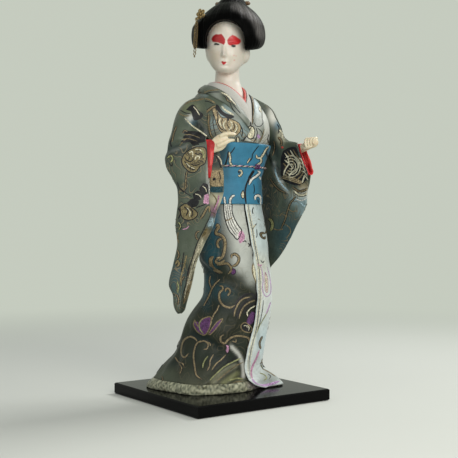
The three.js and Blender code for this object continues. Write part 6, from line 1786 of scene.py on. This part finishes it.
LEFT_SLEEVE_SHAPES = [
    # The black fan over the forearm
    ("fill", "black", 0, [(283, 151), (289, 147.6), (295.2, 147), (297.4, 151), (298.6, 156), (302, 163),
                          (306.6, 171), (307, 179), (300, 185), (290.6, 184), (282, 179), (280.6, 168),
                          (281, 158)]),
    ("line", "cream", 1.5, [(284.6, 153), (288, 158), (288.6, 164), (285, 170), (283.4, 176)]),
    ("line", "gold", 1.5, [(287, 151.4), (290.6, 157), (293.6, 162), (292, 168), (287, 173), (286.4, 178)]),
    ("line", "cream", 1.5, [(290, 150), (293.6, 155.6), (298, 161.6), (298.6, 167), (294, 171.4),
                            (289.6, 175), (290, 181)]),
    ("line", "gold", 1.5, [(293, 149.4), (296.6, 155.4), (301, 161.6), (303, 168.6), (299, 173.6),
                           (294, 177.6), (294.4, 183)]),
    ("line", "cream", 1.5, [(284.6, 160), (288.6, 163.4), (292, 167), (291, 171)]),
    ("line", "gold", 1.5, [(303.6, 172), (301, 176), (297.6, 180), (299, 184)]),
    ("line", "cream", 1.5, [(305, 174.6), (303.4, 179), (302, 183)]),
    ("line", "gold", 1.5, [(283, 163), (286, 166.4), (284.4, 170)]),
    *[("line", "cream", 1.0, [(291 + r * math.cos(a), 166.5 + 1.15 * r * math.sin(a))
                               for a in np.linspace(-2.2, 2.4, 9)])
      for r in (2.2, 4.6, 7, 9.4)],
    *[("line", "sand", 1.0, [(281 + 1.2 * i, 177.6 - 1.2 * i), (288, 179.6 - 1.6 * i), (296, 182.4 - 1.6 * i),
                              (302, 184 - i)])
      for i in range(3)],
    *[("line", "cream", 1.0, [(298 + 1.4 * i, 158 + 4.4 * i), (301 + 1.2 * i, 159 + 4.4 * i),
                               (303 + 1.2 * i, 163 + 4.2 * i)])
      for i in range(5)],
    # Bands and leaves below
    ("vine", "gold", 1.5, [(292.7, 187), (298, 191), (304, 190.6), (309.6, 187.4)]),
    ("vine", "cream", 1.8, [(293.6, 190.6), (299.4, 195), (305, 194.6), (309.6, 191.6)]),
    ("line", "white", 1.0, [(296, 199), (302, 200.6), (308, 197)]),
    ("vine", "gold", 1.0, [(296.4, 196.4), (290.6, 203), (287.6, 211), (285, 220), (281, 229)]),
    ("line", "gold", 0.9, [(288.4, 209), (292.6, 211.6), (296.6, 210.6)]),
    ("line", "gold", 0.9, [(286, 216), (281.6, 213.6), (279.6, 216.6)]),
    ("line", "gold", 0.9, [(284, 223.6), (289, 227), (290.6, 232), (286.6, 238)]),
    ("line", "gold", 0.9, [(283.6, 229), (278, 230), (273.6, 228.6)]),
    ("vine", "olive", 2.6, [(268.6, 218.6), (271.6, 221), (272.4, 226), (270.6, 231)]),
    ("fill", "ochre", 0, [(292.6, 237), (294.8, 232), (297.6, 229), (296, 235), (292, 243), (287.4, 249)]),
    ("line", "olive", 2.4, [(258.6, 182), (261.6, 187), (260.6, 193)]),
    ("vine", "gold", 1.1, [(270, 178), (273.6, 184), (279.6, 190), (286.6, 193)]),
    ("line", "light_blue", 1.6, [(275.3, 166.8), (276, 173.6), (279, 180.6), (284, 187), (288.4, 191)]),
    ("line", "light_blue", 1.2, [(300.6, 203), (304.6, 206), (307.4, 205)]),
    # The upper arm
    ("vine", "cream", 2.0, [(279.4, 130), (282.6, 133), (282, 138)]),
    ("vine", "gold", 1.6, [(278, 137), (281.4, 141), (281, 146)]),
    ("line", "coral", 2.0, [(281.6, 146.6), (283.2, 148.4)]),
    ("vine", "gold", 1.1, [(274, 141), (274.6, 148), (272.6, 156)]),
    ("line", "black", 1.0, [(277, 124), (279, 128), (278, 134)]),
]


def embroider(garments, materials):
    """Lays the thread work that the photograph shows, then carries it on round the unseen sides."""
    back, left, right = from_side(180), from_side(100), from_side(-125)
    # What the photograph shows on each garment, then each side to fill: its view, seed and two corners
    plans = {
        "skirt": (SKIRT_SHAPES, [(back, 101, (-64, 20), (64, 200)), (left, 102, (-40, 20), (60, 200)),
                                 (right, 103, (-60, 20), (-22, 200))]),
        "panel": (PANEL_SHAPES, [(from_side(85), 104, (-20, 30), (10, 200))]),
        "bodice": (BODICE_SHAPES, [(back, 105, (-50, 284), (50, 340))]),
        "collar": (COLLAR_SHAPES, [(back, 106, (-24, 336), (24, 350))]),
        "obi": (OBI_SHAPES, [(left, 107, (-30, 218), (30, 272)), (right, 108, (-30, 218), (30, 272))]),
        "bow": ([], [(back, 109, (-40, 228), (36, 284))]),
        "tail": ([], [(back, 110, (-30, 104), (-4, 215))]),
        "right sleeve": (RIGHT_SLEEVE_SHAPES, [(from_side(145), 111, (0, 95), (60, 320))]),
        "left sleeve": (LEFT_SLEEVE_SHAPES, [
            (back, 113, (-76, 115), (-44, 320)), (left, 114, (-75, 115), (30, 320)),
            (from_side(0), 115, (62, 115), (78, 235)),
        ]),
    }
    sewn = {}
    for name, (garment, slot) in garments.items():
        work = Embroidery(garment)
        shapes, sides = plans[name]
        stitch(work, through_pixels, shapes)
        for look, seed, low, high in sides:
            scatter(work, look, seed, low, high, MOTIF_PITCH, MOTIF_SIZE)
        sewn[name] = work.finish("stitches_" + name.replace(" ", "_"), materials, slot)
    return sewn


# Hands and head

def limb_points(stations, sides=20):
    """Rings round a limb's line, each with its own half height and half thickness."""
    stations = np.array(stations, float)
    fine = spline(stations, 0.7)
    line, half_height, half_thickness = fine[:, :3], fine[:, 3], fine[:, 4]
    along = unit(np.gradient(line, axis=0))
    curled = np.ptp(line[:, 0]) < 2
    sideways = unit(np.cross(np.array([1.0, 0, 0]) if curled else UPWARD, along))
    up = np.cross(along, sideways)
    turn = np.linspace(0, 2 * math.pi, sides, endpoint=False)[None, :, None]
    return line[:, None] + sideways[:, None] * half_thickness[:, None, None] * np.cos(turn) \
        + up[:, None] * half_height[:, None, None] * np.sin(turn)


def make_hand(name, parts, sleeve, place, turn, tilt, materials, node):
    """A hand at its place in a sleeve's plane, turned from that plane and tilted up."""
    grids = []
    for part in parts:
        x, y, z = parts_of(limb_points(part))
        x, z = spun(x, z, tilt)
        x, y = spun(x, y, -(sleeve["heading"] + turn))
        grids.append(on_board(points_of(x, y, z) + sleeve_point(sleeve, *place)))
    hand = remeshed(join_grids(name, grids, materials["ivory"]), 0.36, 6)
    return put_on(hand, replaced=[node])


def finger(*places):
    """A finger's line, a little thinner across than it is high."""
    return [(x, y, z, radius, radius * 0.95) for x, y, z, radius in places]


# An open hand: the fingers lie together and bend at the knuckles, above the thumb
OPEN_HAND = [
    [(-3, 0, -1, 6, 4.2), (6, 0, 0, 6.1, 4), (13, 0, 1.4, 6.8, 4.2), (19, 0, 4, 8.2, 4.4),
     (24, 0, 7.6, 7.6, 4.2), (28, 0, 9.8, 5.6, 3.6), (30.5, 0, 10.8, 3.4, 2.6)],
    finger((22, -2.2, 11.5, 2.6), (27, -2.6, 13.4, 2.5), (32, -2.2, 13.9, 2.1), (36, -1.4, 13.3, 1.7),
           (38.8, -0.8, 12.2, 1.1)),
    finger((22, 0.2, 12, 2.6), (28, 0.4, 14, 2.4), (33.5, 0.4, 14.2, 2), (37.5, 0.2, 13.2, 1.6),
           (40, 0, 12, 1)),
    finger((22, 2.6, 10, 2.4), (28, 3, 12.4, 2.3), (33, 3, 12.8, 1.9), (37, 2.8, 11.9, 1.4),
           (38.6, 2.6, 11.2, 1)),
    finger((18, -2.6, 1.6, 3.2), (23, -3, 3, 3), (28.5, -2.2, 5.2, 2.6), (33, -1.4, 6.4, 2.1),
           (37.6, -1, 6.2, 1.3)),
]
# A half-closed hand: four fingers curl down beside each other, with the thumb beneath
CLOSED_HAND = [
    [(-3, 0, -1, 5.4, 4.2), (8, 0, 0, 5, 3.8), (15, 0, 0.8, 4.9, 3.8), (21, 0.2, 2.2, 5.4, 4.2),
     (27, 1.2, 3.8, 5.8, 4.2), (32, 3, 4.2, 5.2, 3.6), (35, 4.2, 4.4, 2.6, 2)],
] + [
    finger((24.2 + 2.9 * i, 1 + 1.5 * i, 8.6, 1.6), (24.3 + 2.9 * i, -2 + 1.5 * i, 9.2 - 0.2 * i, 1.8),
           (24.4 + 2.9 * i, -4.6 + 1.5 * i, 7.4 - 0.2 * i, 1.8), (24.5 + 2.9 * i, -5.2 + 1.5 * i, 4, 1.75),
           (24.4 + 2.9 * i, -4.6 + 1.5 * i, 1 + 0.4 * i, 1.6),
           (24.3 + 2.9 * i, -2.6 + 1.5 * i, 0.2 + 0.4 * i, 1.3))
    for i in range(4)
] + [finger((17, -2.4, -0.6, 2), (22, -3.4, -1.2, 2), (27, -3, -1.2, 1.7), (30.6, -1.6, -0.6, 1.2))]


skull = smooth_curve(SKULL_STATIONS)


def face_point(angle, height, outward=0.0):
    """A place on the skull, with the features of the face raised from it in front."""
    angle, height = np.broadcast_arrays(np.asarray(angle, float), np.asarray(height, float))
    middle_y, half_width, half_depth = skull(height)
    turn = np.radians(angle)
    x = (half_width + outward) * np.sin(turn)
    y = middle_y - (half_depth + outward) * np.cos(turn)
    facing = np.clip(np.cos(turn), 0, 1)
    rise = np.clip((397 - height) / (397 - 378.8), 0, 1) ** 1.25
    under = smoothstep(height, 375.6, 378.6)
    tip = 0.9 * hill(height - 379.6, 2.2) * hill(x, 2)
    wings = 0.9 * hill(height - 378.6, 1.7) * hill(np.abs(x) - 2.5, 1.2)
    nose = 4.0 * rise * under * hill(x, 2.5) + tip + wings
    lips = 1.3 * hill(height - 371.9, 1.3) * hill(x, 3.4) + 1.2 * hill(height - 369, 1.4) * hill(x, 2.9)
    parting = -0.8 * hill(height - 370.4, 0.55) * hill(x, 3.2)
    chin = 1.1 * hill(height - 364.4, 2.4) * hill(x, 4.5) - 0.6 * hill(height - 367, 1.2) * hill(x, 4)
    groove = -0.4 * hill(height - 374.4, 1.5) * hill(x, 0.9)
    beside = np.abs(x) - EYE_SPREAD
    above = height - EYE_HEIGHT + HEAD_LEAN * x
    sockets = -1.2 * hill(above - 0.6, 4.4) * hill(beside, 5.4)
    upper_lids = 1.7 * hill(above - 2.5 + beside**2 / 40, 1.2) * hill(beside, 4)
    lids = upper_lids + 1.0 * hill(above + 2.1, 0.9) * hill(beside, 3.8)
    cheeks = 0.9 * hill(height - 379, 8) * hill(np.abs(x) - 13, 6)
    brow = 0.8 * hill(height - 399, 4) * hill(np.abs(x) - 9, 7)
    total = nose + lips + parting + chin + groove + sockets + lids + cheeks + brow
    return points_of(x, y - total * facing, height)


# Fullness beside the face, under the hair: middle and radii
TEMPLES = [
    ((-17.2, -1, 386), (7.6, 12, 11)),
    ((18.2, -3, 385.5), (8.8, 13, 12)),
    ((13.8, -3.5, 381), (8, 12, 10.5)),
]


def make_head(materials):
    """The head and neck as one skin."""
    angle = around(190, -180)
    height = levels((360.05, 360.05, 1), (360.6, 438, 150), (438.9, 438.9, 1))
    face = face_point(angle, height)
    neck_height = np.linspace(322, 386, 60)
    neck = tube_points(points_of(0.0, 0.0, neck_height), smooth_curve(NECK_STATIONS)(neck_height)[0], 64)
    temples = [ball_grid(middle, radii, 20, 32) for middle, radii in TEMPLES]
    head = join_grids("gofun_head", [on_head(grid) for grid in (face, neck, *temples)], materials["gofun"])
    remeshed(head, 0.5, 3)
    paint_face_and_shade(head)
    return put_on(head, "head", ["head"])


EYE_RADII = (3, 1.7, 1.1)


def make_eyes(materials):
    """Narrow dark eyes under lowered lids."""
    for side, x in (("right", -EYE_SPREAD), ("left", EYE_SPREAD)):
        middle = (x, -25.7, EYE_HEIGHT - HEAD_LEAN * x)
        ball = on_head(ball_grid(middle, EYE_RADII, 14, 20))
        eye = solid_grid("eye_narrow_" + side, ball, materials["eye"])
        put_on(eye, "head", ["eye_" + side])


# Painted make-up, with painted shade and patches of patina and shade, as outlines in the photograph, with how
# far its edge softens in pixels
FACE_PAINT_AND_SHADE = [
    ("red", 0.55, [(211.3, 39), (212.6, 36.4), (215.7, 34.1), (218.8, 34.3), (221.5, 33.8), (223.6, 36.4),
                   (225.3, 39.5), (225.2, 42.5), (224, 44.8), (221, 43.6), (218, 42.5), (215, 42.2),
                   (212.5, 41.8)]),
    ("red", 0.55, [(227.2, 40.2), (229, 37.2), (232.3, 34.8), (235, 35.8), (237.4, 37.4), (240.6, 39.6),
                   (240.9, 41.6), (239.4, 44), (236.8, 44.8), (233.4, 44.8), (231, 45.8), (228.6, 44.9),
                   (227.4, 43)]),
    ("lip", 0.4, [(221.2, 61.6), (222.9, 61), (223.9, 62), (225.2, 61.3), (226.4, 62.3), (225.4, 63.8),
                  (223.7, 65), (222.2, 63.8)]),
    ("black", 0.4, [(214.2, 43.1), (216.3, 42.9), (219.2, 43.9), (219.4, 45.1), (217, 45.3), (214.6, 44.3)]),
    ("black", 0.4, [(231.2, 45), (233.2, 44.7), (235.7, 45.2), (235.6, 46.9), (233.4, 47.4), (231.4, 46.6)]),
    ("speck", 0.5, [(233.4, 55), (234.6, 55), (234.6, 56), (233.4, 56)]),
    ("speck", 0.5, [(235.7, 55.6), (236.6, 55.6), (236.6, 56.4), (235.7, 56.4)]),
    ("speck", 0.5, [(233.6, 59.5), (235, 59.5), (235, 60.7), (233.6, 60.7)]),
    # The shade entries are painted shade under the nose, under the chin and along the hair's edge on the
    # forehead; the patches after them are partly the skin's own patina and partly painted shade, most of it
    # on the face's darker left side.
    ("shade", 1.4, [(222.4, 56.6), (225.4, 57), (225, 58.2), (222.6, 58)]),
    ("shade", 2.4, [(218, 73), (232, 74.6), (229, 77.5), (219, 76)]),
    ("shade", 1.6, [(206.8, 42), (208.6, 34), (214, 27), (221, 23), (221, 24), (214.6, 28.4), (209.8, 35),
                    (208, 43)]),
    ("patina_and_shade", 3.5, [(213, 25), (218, 23), (222, 25), (221, 31), (214, 31)]),
    ("patina_and_shade", 4, [(211, 51), (219, 51), (221, 57), (219, 63), (213, 60)]),
    ("patina_and_shade", 5, [(207, 48), (214, 46), (219, 54), (219, 68), (214, 80), (209, 66)]),
    ("patina_and_shade", 3, [(217, 77), (223, 77), (224, 85), (218, 83)]),
    ("patina_and_shade", 2.6, [(228.4, 55), (232.6, 56), (232, 61), (229.6, 66), (227.6, 65)]),
]
FACE_PAINT_AND_SHADE_COLOURS = {
    "red": (0.5, 0.012, 0.015), "lip": (0.42, 0.004, 0.008), "black": (0.008, 0.007, 0.007),
    "speck": (0.55, 0.17, 0.14), "shade": (0.46, 0.29, 0.2), "patina_and_shade": (0.4, 0.34, 0.25),
}
FACE_PAINT_AND_SHADE_STRENGTH = {"red": 1, "lip": 1, "black": 1, "speck": 0.7, "shade": 0.45, "patina_and_shade": 0.5}


def inside_by(points, outline):
    """How far points lie inside an outline, in pixels, and below zero outside it."""
    outline = np.array(outline)
    nearest = np.full(len(points), np.inf)
    inside = np.zeros(len(points), bool)
    for a, b in zip(outline, np.roll(outline, -1, axis=0)):
        step = b - a
        t = np.clip(((points - a) @ step) / (step @ step), 0, 1)
        nearest = np.minimum(nearest, np.linalg.norm(points - a - t[:, None] * step, axis=1))
        crossing = (a[1] > points[:, 1]) != (b[1] > points[:, 1])
        where = a[0] + (points[:, 1] - a[1]) / (step[1] if abs(step[1]) > 1e-9 else 1e-9) * step[0]
        inside ^= crossing & (points[:, 0] < where)
    return np.where(inside, nearest, -nearest)


def paint_face_and_shade(head):
    """Lays the colours of the make-up, the painted shade and the patina one over another, as a transparent
    layer on the skin.
    """
    points, normals = vertices_of(head)
    seen = in_picture(points)
    facing = faces_camera(points, normals)
    colour, amount = np.zeros((len(points), 3)), np.zeros(len(points))
    for kind, soft, outline in FACE_PAINT_AND_SHADE:
        share = smoothstep(inside_by(seen, outline), -soft, soft) * facing * FACE_PAINT_AND_SHADE_STRENGTH[kind]
        tone = np.array(FACE_PAINT_AND_SHADE_COLOURS[kind])
        # The red is painted darker toward the face's left and brighter toward its right, as painted shade and
        # light, over faint brush streaks.
        if kind == "red":
            streak = 0.92 + 0.08 * np.sin(seen[:, :1] * 0.6 + seen[:, 1:] * 2.6)
            tone = tone * streak * lerp(0.6, 1.1, smoothstep(seen[:, :1], 212, 240))
        total = np.maximum(share + amount * (1 - share), 1e-9)
        colour = (tone * share[:, None] + colour * (amount * (1 - share))[:, None]) / total[:, None]
        amount = total
    paint(head, colour, mask=amount)


# Hair, in the head's own frame

HAIR_CREASE = -40
hair_shape = smooth_curve(HAIR_STATIONS)


def hair_point(angle, height, outward=0.0):
    """A place on the combed mass, whose lower rim rises towards the back."""
    middle_x, middle_y, half_width, half_depth = hair_shape(np.asarray(height, float))
    outward = outward - 2.4 * hill(apart(angle, HAIR_CREASE), 3) * smoothstep(423 - height, 0, 9)
    y = middle_y - (half_depth + outward) * np.cos(np.radians(angle))
    x = middle_x + (half_width + outward) * np.sin(np.radians(angle))
    low = np.clip(1 - (height - 388) / 30, 0, 1)
    return points_of(x, y, height + low * (0.25 * (y + 22) - 3 * smoothstep(x, 4, 17)))


def carve(piece, room):
    """Cuts a helper solid out of a piece, and takes the helper away."""
    modify(piece, "BOOLEAN", object=room, operation="DIFFERENCE", solver="EXACT")
    baked(piece)
    bpy.data.objects.remove(room)


def comb(piece):
    """Stores at each vertex where it lies round the topknot and how far down, for the strands' noise."""
    points, _ = vertices_of(piece)
    across, back = spun(points[:, 0] - NECK[0], points[:, 1] - NECK[1], HEAD_TURN)
    height = points[:, 2] - BOARD_TOP
    from_x, from_y = across - 4, back - 10
    away = np.maximum(np.hypot(from_x, from_y), 1)
    values = np.column_stack([from_x / away * 60, from_y / away * 60, height * 0.05 + away * 0.03])
    attribute = piece.data.attributes.new("comb", "FLOAT_VECTOR", "POINT")
    attribute.data.foreach_set("vector", values.ravel())


# The arch round the face: its middle, its half width and rise, and how it flares toward the front
ARCH = {"x": 1.1, "height": 397, "half width": 22.3, "rise": 20, "foot": 350, "feet": (-21.2, 23.4)}
ARCH_FLARE = [(-70, 1.06), (-42, 1.02), (-36, 1.0), (-10, 1.0)]


def face_opening():
    """The room that the hair leaves in front of the face."""
    turn = np.linspace(math.pi, 0, 30)
    across = ARCH["x"] + ARCH["half width"] * np.cos(turn)
    top = np.column_stack([across, ARCH["height"] + ARCH["rise"] * np.sin(turn)])
    x, height = np.vstack([[ARCH["feet"][0], ARCH["foot"]], top, [ARCH["feet"][1], ARCH["foot"]]]).T
    return np.stack([
        points_of(x * flare, y, ARCH["height"] + (height - ARCH["height"]) * flare) for y, flare in ARCH_FLARE
    ])


def make_hair(materials):
    """The combed mass, with room for the head, and the bun on it."""
    angle = around(120)
    height = levels((388, 388, 1), (388.8, 396, 10), (397.5, 452.5, 48), (453, 453, 1))
    locks = 0.35 * round_ripples(91, angle, 9, height / 60)
    mass = solid_grid("hair_combed", on_head(hair_point(angle, height, locks)), materials["hair"])
    skull_room = face_point(around(72, -180), levels((360, 439, 30)), 0.5)
    neck_room = tube_points(points_of(0.0, 0.0, np.array([350.0, 391.0])), 15.6, 48)
    for room in (skull_room, neck_room, face_opening()):
        carve(mass, solid_grid("room", on_head(room), materials["hair"]))
    remeshed(mass, 0.7, 4)
    comb(mass)
    # Black, with painted highlights in grey streaks down its upper right.
    paint(mass, COLOURS["jet"], HAIR_PAINTED_HIGHLIGHTS)
    put_on(mass, "head", ["hair_front", "hair_wing_right", "hair_wing_left", "hair_back"])
    make_topknot(materials)


# Painted highlights: grey streaks down the upper right of the hair, where the light catches it.
HAIR_PAINTED_HIGHLIGHTS = [
    *streak([(235, 6), (244, 10), (252, 16), (258, 25), (261.5, 36)], 4.4, "ash", 0.38),
    *streak([(261.5, 36), (262, 46)], 3, "ash", 0.1),
]


def make_topknot(materials):
    """The rolled bun, wound with a soft groove from front to back."""
    turn, tilt = ball_turns(60, 90, 0.05, 3.09)
    swell = 1 + 0.05 * np.cos(2 * turn) - 0.05 * hill(np.sin(turn) * np.sin(tilt), 0.12)
    points = points_of(
        5 + 15 * swell * np.sin(tilt) * np.cos(turn), 15 + 17.4 * np.sin(tilt) * np.sin(turn) * swell,
        446.5 - 9 * np.cos(tilt) * (1 - 0.08 * hill(np.cos(turn) * np.sin(tilt), 0.2)),
    )
    bun = solid_grid("hair_topknot_rolled", on_head(points), materials["hair"])
    comb(bun)
    paint(bun, COLOURS["jet"])
    put_on(bun, "head", ["hair_topknot"])


# Ornaments

ORNAMENT_TURN = -45
FLOWER_TURN = 19.5
FLOWER_REACH = 38
FLOWER_HEIGHT = 427
PETALS = 5
STAMENS = 8


def beside_face(points):
    """From straight in front of the head to the ornament's place beside the face."""
    x, y, z = parts_of(points)
    return on_head(points_of(*spun(x, y, ORNAMENT_TURN), z))


def at_flower(points):
    """From a flower drawn flat about the origin, facing +Z, to its place and heading."""
    across, up, ahead = parts_of(points)
    x, y = spun(across, -ahead, FLOWER_TURN)
    return beside_face(points_of(x, y - FLOWER_REACH, up + FLOWER_HEIGHT))


def make_flower(materials):
    """The gold flower, its pin and the hanger for the strand's ring."""
    grids = []
    for i in range(PETALS):
        x, y, z = parts_of(ball_grid((0, 3.3, 0.2), (2.6, 3, 1.1), 9, 14))
        grids.append(at_flower(points_of(*spun(x, y, 360 / PETALS * i + 18), z)))
    grids.append(at_flower(ball_grid((0, 0, 1), (1.7, 1.7, 1.4), 9, 14)))
    for i in range(STAMENS):
        grids.append(at_flower(ball_grid((*spun(1.9, 0, 360 / STAMENS * i), 1.7), 0.5, 6, 8)))
    grids.append(at_flower(tube_points(np.array([(0, 0, -10), (0, 0, -4), (0, 0, 0.5)]), 1.0, 12)))
    hanger = [
        (-1.6, -39.5, 424.5), (-1.7, -41.5, 422.5), (-1.4, -43.6, 420.6), (0, -44, 420), (1.6, -44, 420),
    ]
    grids.append(beside_face(tube_points(spline(hanger, 0.4), 0.8, 10)))
    grids.append(beside_face(ball_grid((2, -44, 420), (0.8, 1.4, 1.4), 8, 12)))
    flower = join_grids("gold_flower", grids, materials["gold"])
    put_on(flower, "head", ["flower_pin"])


RING = {"y": -44, "height": 420, "radius": 1.7, "wire": 0.5}
STRAND = {"top": 417.6, "pitch": 1.3, "rows": 24, "half width": 1.6, "half depth": 1.9, "bead": 0.66}
STRAND_LEAN = np.array([-0.03, -0.055, 0])
THREADS_IN_STRAND = 4


def strand_bead(x, y, drop, radius, *detail):
    """A bead at a distance below the strand's top, carried sideways by the strand's lean."""
    place = np.array((x, RING["y"] + y, STRAND["top"] - drop)) + STRAND_LEAN * drop
    return ball_grid(place, radius, *detail)


def make_strand(materials):
    """Rows of little beads plaited into a band, with a looped end, hanging on their ring."""
    turn = np.linspace(0, 2 * math.pi, 32)
    ring_y = RING["y"] + RING["radius"] * np.sin(turn)
    ring_height = RING["height"] + RING["radius"] * np.cos(turn)
    grids = [tube_points(points_of(0.0, ring_y, ring_height), RING["wire"], 8)]
    for i in range(STRAND["rows"]):
        swell = min(1, 0.4 + i / 8)
        for thread_number in range(THREADS_IN_STRAND):
            phase = i * 0.7 + thread_number * math.pi / 2
            x = STRAND["half width"] * swell * math.cos(phase)
            y = STRAND["half depth"] * swell * math.sin(phase)
            grids.append(strand_bead(x, y, STRAND["pitch"] * i, STRAND["bead"], 6, 8))
    length = STRAND["pitch"] * STRAND["rows"]
    foot = np.array((0, RING["y"], STRAND["top"] - length))
    for side in (-1, 1):
        for i in range(8):
            bend = 0.4 + 1.8 * abs(math.sin(i / 3.5 * math.pi))
            place = foot + (side * bend, 0, -i * 1.05) + STRAND_LEAN * (length + i)
            grids.append(ball_grid(place, 0.62, 6, 8))
    grids.append(ball_grid(foot + (0, 0, -8.8) + STRAND_LEAN * (length + 9), 0.95, 8, 10))
    core = np.array([(0, RING["y"], STRAND["top"] + 0.4), foot - (0, 0, 0.4)])
    core = tube_points(spline(core + np.outer([0, length], STRAND_LEAN), 1), 0.9, 8)
    threads = solid_grid("bead_threads", beside_face(core), materials["thread_black"])
    put_on(threads, "strand")
    strand = join_grids("bead_plait", [beside_face(grid) for grid in grids], materials["gold"])
    put_on(strand, "strand", ["bead_strand"])


def make_stick(materials):
    """The turned stick through the bun, thicker at both ends."""
    along = np.array([-21, -20.4, -19.4, -16, -14, -12, 12, 14, 16, 19.4, 20.4, 21.0])
    radius = np.array([0.4, 1.7, 2.3, 2.5, 2.2, 1.9, 1.9, 2.2, 2.5, 2.3, 1.7, 0.4])
    fine = np.linspace(-21, 21, 80)
    line = points_of(4.6 + fine, 15.0, 448.0)
    turned_rod = tube_points(line, np.interp(fine, along, radius), 20)
    stick = solid_grid("hair_stick_turned", on_head(turned_rod), materials["tortoise"])
    put_on(stick, "head", ["hair_stick"])


# Carried pieces, stage and light

def finish_carried(materials):
    """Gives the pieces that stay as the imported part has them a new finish."""
    finishes = {"base_board": "lacquer"}
    for i in (1, 2):
        finishes[f"base_screw_{i}"] = "steel"
        finishes[f"leg_post_{i}"] = "wood"
    finishes.update({"neck_post": "wood", "arm_wire_right": "steel", "arm_wire_left": "steel"})
    for node, finish in finishes.items():
        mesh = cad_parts[node].data
        mesh.materials.clear()
        mesh.materials.append(materials[finish])


def make_stage():
    """A plain floor that fades into the backdrop."""
    nodes = Nodes("floor", 0.9)
    nodes.colour(nodes.mix(nodes.noise(3, 2), FLOOR_COLOUR, tuple(c * 0.97 for c in FLOOR_COLOUR)))
    away = nodes.add("ShaderNodeVectorMath", {0: nodes.place}, operation="LENGTH").outputs["Value"]
    fade = {"Value": away, "From Min": FLOOR_FADE[0], "From Max": FLOOR_FADE[1]}
    faded = nodes.add("ShaderNodeMapRange", fade, interpolation_type="SMOOTHSTEP").outputs["Result"]
    glow = nodes.add("ShaderNodeEmission", {"Color": (*BACKDROP_COLOUR, 1)}).outputs["Emission"]
    mixer = nodes.add("ShaderNodeMixShader", {0: faded, 1: nodes.surface.outputs["BSDF"], 2: glow})
    nodes.join(mixer.outputs["Shader"], nodes.tree.nodes["Material Output"].inputs["Surface"])
    sides = ((-1, -1), (1, -1), (1, 1), (-1, 1))
    corners = [(x * FLOOR_REACH, y * FLOOR_REACH, FLOOR_LEVEL) for x, y in sides]
    make_piece("floor", corners, [(0, 1, 2, 3)], nodes.material, smooth=False)


def make_world():
    """A dim studio as a light, which looks pale to the camera and in reflections."""
    world = bpy.data.worlds.new("studio")
    world.use_nodes = True
    tree = world.node_tree
    light = tree.nodes["Background"]
    light.inputs["Color"].default_value = (*WORLD_LIGHT, 1)
    light.inputs["Strength"].default_value = WORLD_STRENGTH
    seen = tree.nodes.new("ShaderNodeBackground")
    seen.inputs["Color"].default_value = (*BACKDROP_COLOUR, 1)
    path = tree.nodes.new("ShaderNodeLightPath")
    either = tree.nodes.new("ShaderNodeMath")
    either.operation = "MAXIMUM"
    tree.links.new(path.outputs["Is Camera Ray"], either.inputs[0])
    tree.links.new(path.outputs["Is Glossy Ray"], either.inputs[1])
    mixer = tree.nodes.new("ShaderNodeMixShader")
    tree.links.new(either.outputs[0], mixer.inputs[0])
    tree.links.new(light.outputs[0], mixer.inputs[1])
    tree.links.new(seen.outputs[0], mixer.inputs[2])
    tree.links.new(mixer.outputs[0], tree.nodes["World Output"].inputs["Surface"])
    bpy.context.scene.world = world


def make_lights():
    """Area lamps, placed as the camera sees them: to the right, nearer and up from the doll's middle."""
    for name, right, near, up, size, power, colour in LAMPS:
        data = bpy.data.lights.new(name, "AREA")
        data.size, data.energy, data.color = size, power, colour
        lamp = bpy.data.objects.new(name, data)
        place = Vector((RIGHTWARD * right - FORWARD * near + UPWARD * (up + 250)) * MM)
        lamp.location = place
        lamp.rotation_euler = (Vector((0, 0, 0.25)) - place).to_track_quat("-Z", "Y").to_euler()
        bpy.context.scene.collection.objects.link(lamp)


FLOOR_REACH = 4000
FLOOR_LEVEL = -0.2
FLOOR_COLOUR = (0.62, 0.64, 0.58)
FLOOR_FADE = (0.35, 1.3)
BACKDROP_COLOUR = (0.56, 0.6, 0.52)
WORLD_LIGHT = (0.93, 0.97, 1)
WORLD_STRENGTH = 0.34
LAMPS = [
    ("key", 430, 1050, 400, 0.8, 10.5, (1, 0.97, 0.93)),
    ("fill", -900, 900, 400, 1.2, 2.5, (0.9, 0.95, 1)),
    ("rim", 700, -500, 900, 0.5, 11, (1, 1, 1)),
]


def main():
    make_camera()
    materials = make_materials()
    finish_carried(materials)
    make_body_core(materials)
    make_hem(materials)
    make_obi_cord(materials)
    bow, tail = make_bow(materials), make_tail(materials)
    garments = {
        "skirt": (make_skirt(materials), "brocade"),
        "panel": (make_front_panel(materials), "pale_brocade"),
        "bodice": (make_bodice(materials), "brocade"),
        "collar": (make_outer_collar(materials), "pale_brocade"),
        "obi": (make_obi(materials), "obi_cloth"),
        "bow": (bow, "obi_cloth"),
        "tail": (tail, "teal_cloth"),
        "right sleeve": (make_sleeve("right", RIGHT_SLEEVE, RIGHT_SLEEVE_FOLDS, RIGHT_SLEEVE_SPOTS,
                                     RIGHT_SLEEVE_INNER_SPOTS, materials), "brocade"),
        "left sleeve": (make_sleeve("left", LEFT_SLEEVE, LEFT_SLEEVE_FOLDS, LEFT_SLEEVE_SPOTS, [],
                                    materials), "brocade"),
    }
    collars = make_inner_collars(materials)
    cuffs = [make_cuff(side, materials) for side in CUFFS]
    sewn = embroider(garments, materials)
    make_hand("open_hand", OPEN_HAND, RIGHT_SLEEVE, (-20, 58, 270), 0, 6, materials, "hand_right")
    make_hand("closed_hand", CLOSED_HAND, LEFT_SLEEVE, (52, 3, 274), 4, 5, materials, "hand_left")
    make_head(materials)
    make_eyes(materials)
    make_hair(materials)
    make_flower(materials)
    make_strand(materials)
    make_stick(materials)
    make_stage()
    make_world()
    make_lights()
    bpy.context.scene.view_settings.view_transform = "Standard"


main()
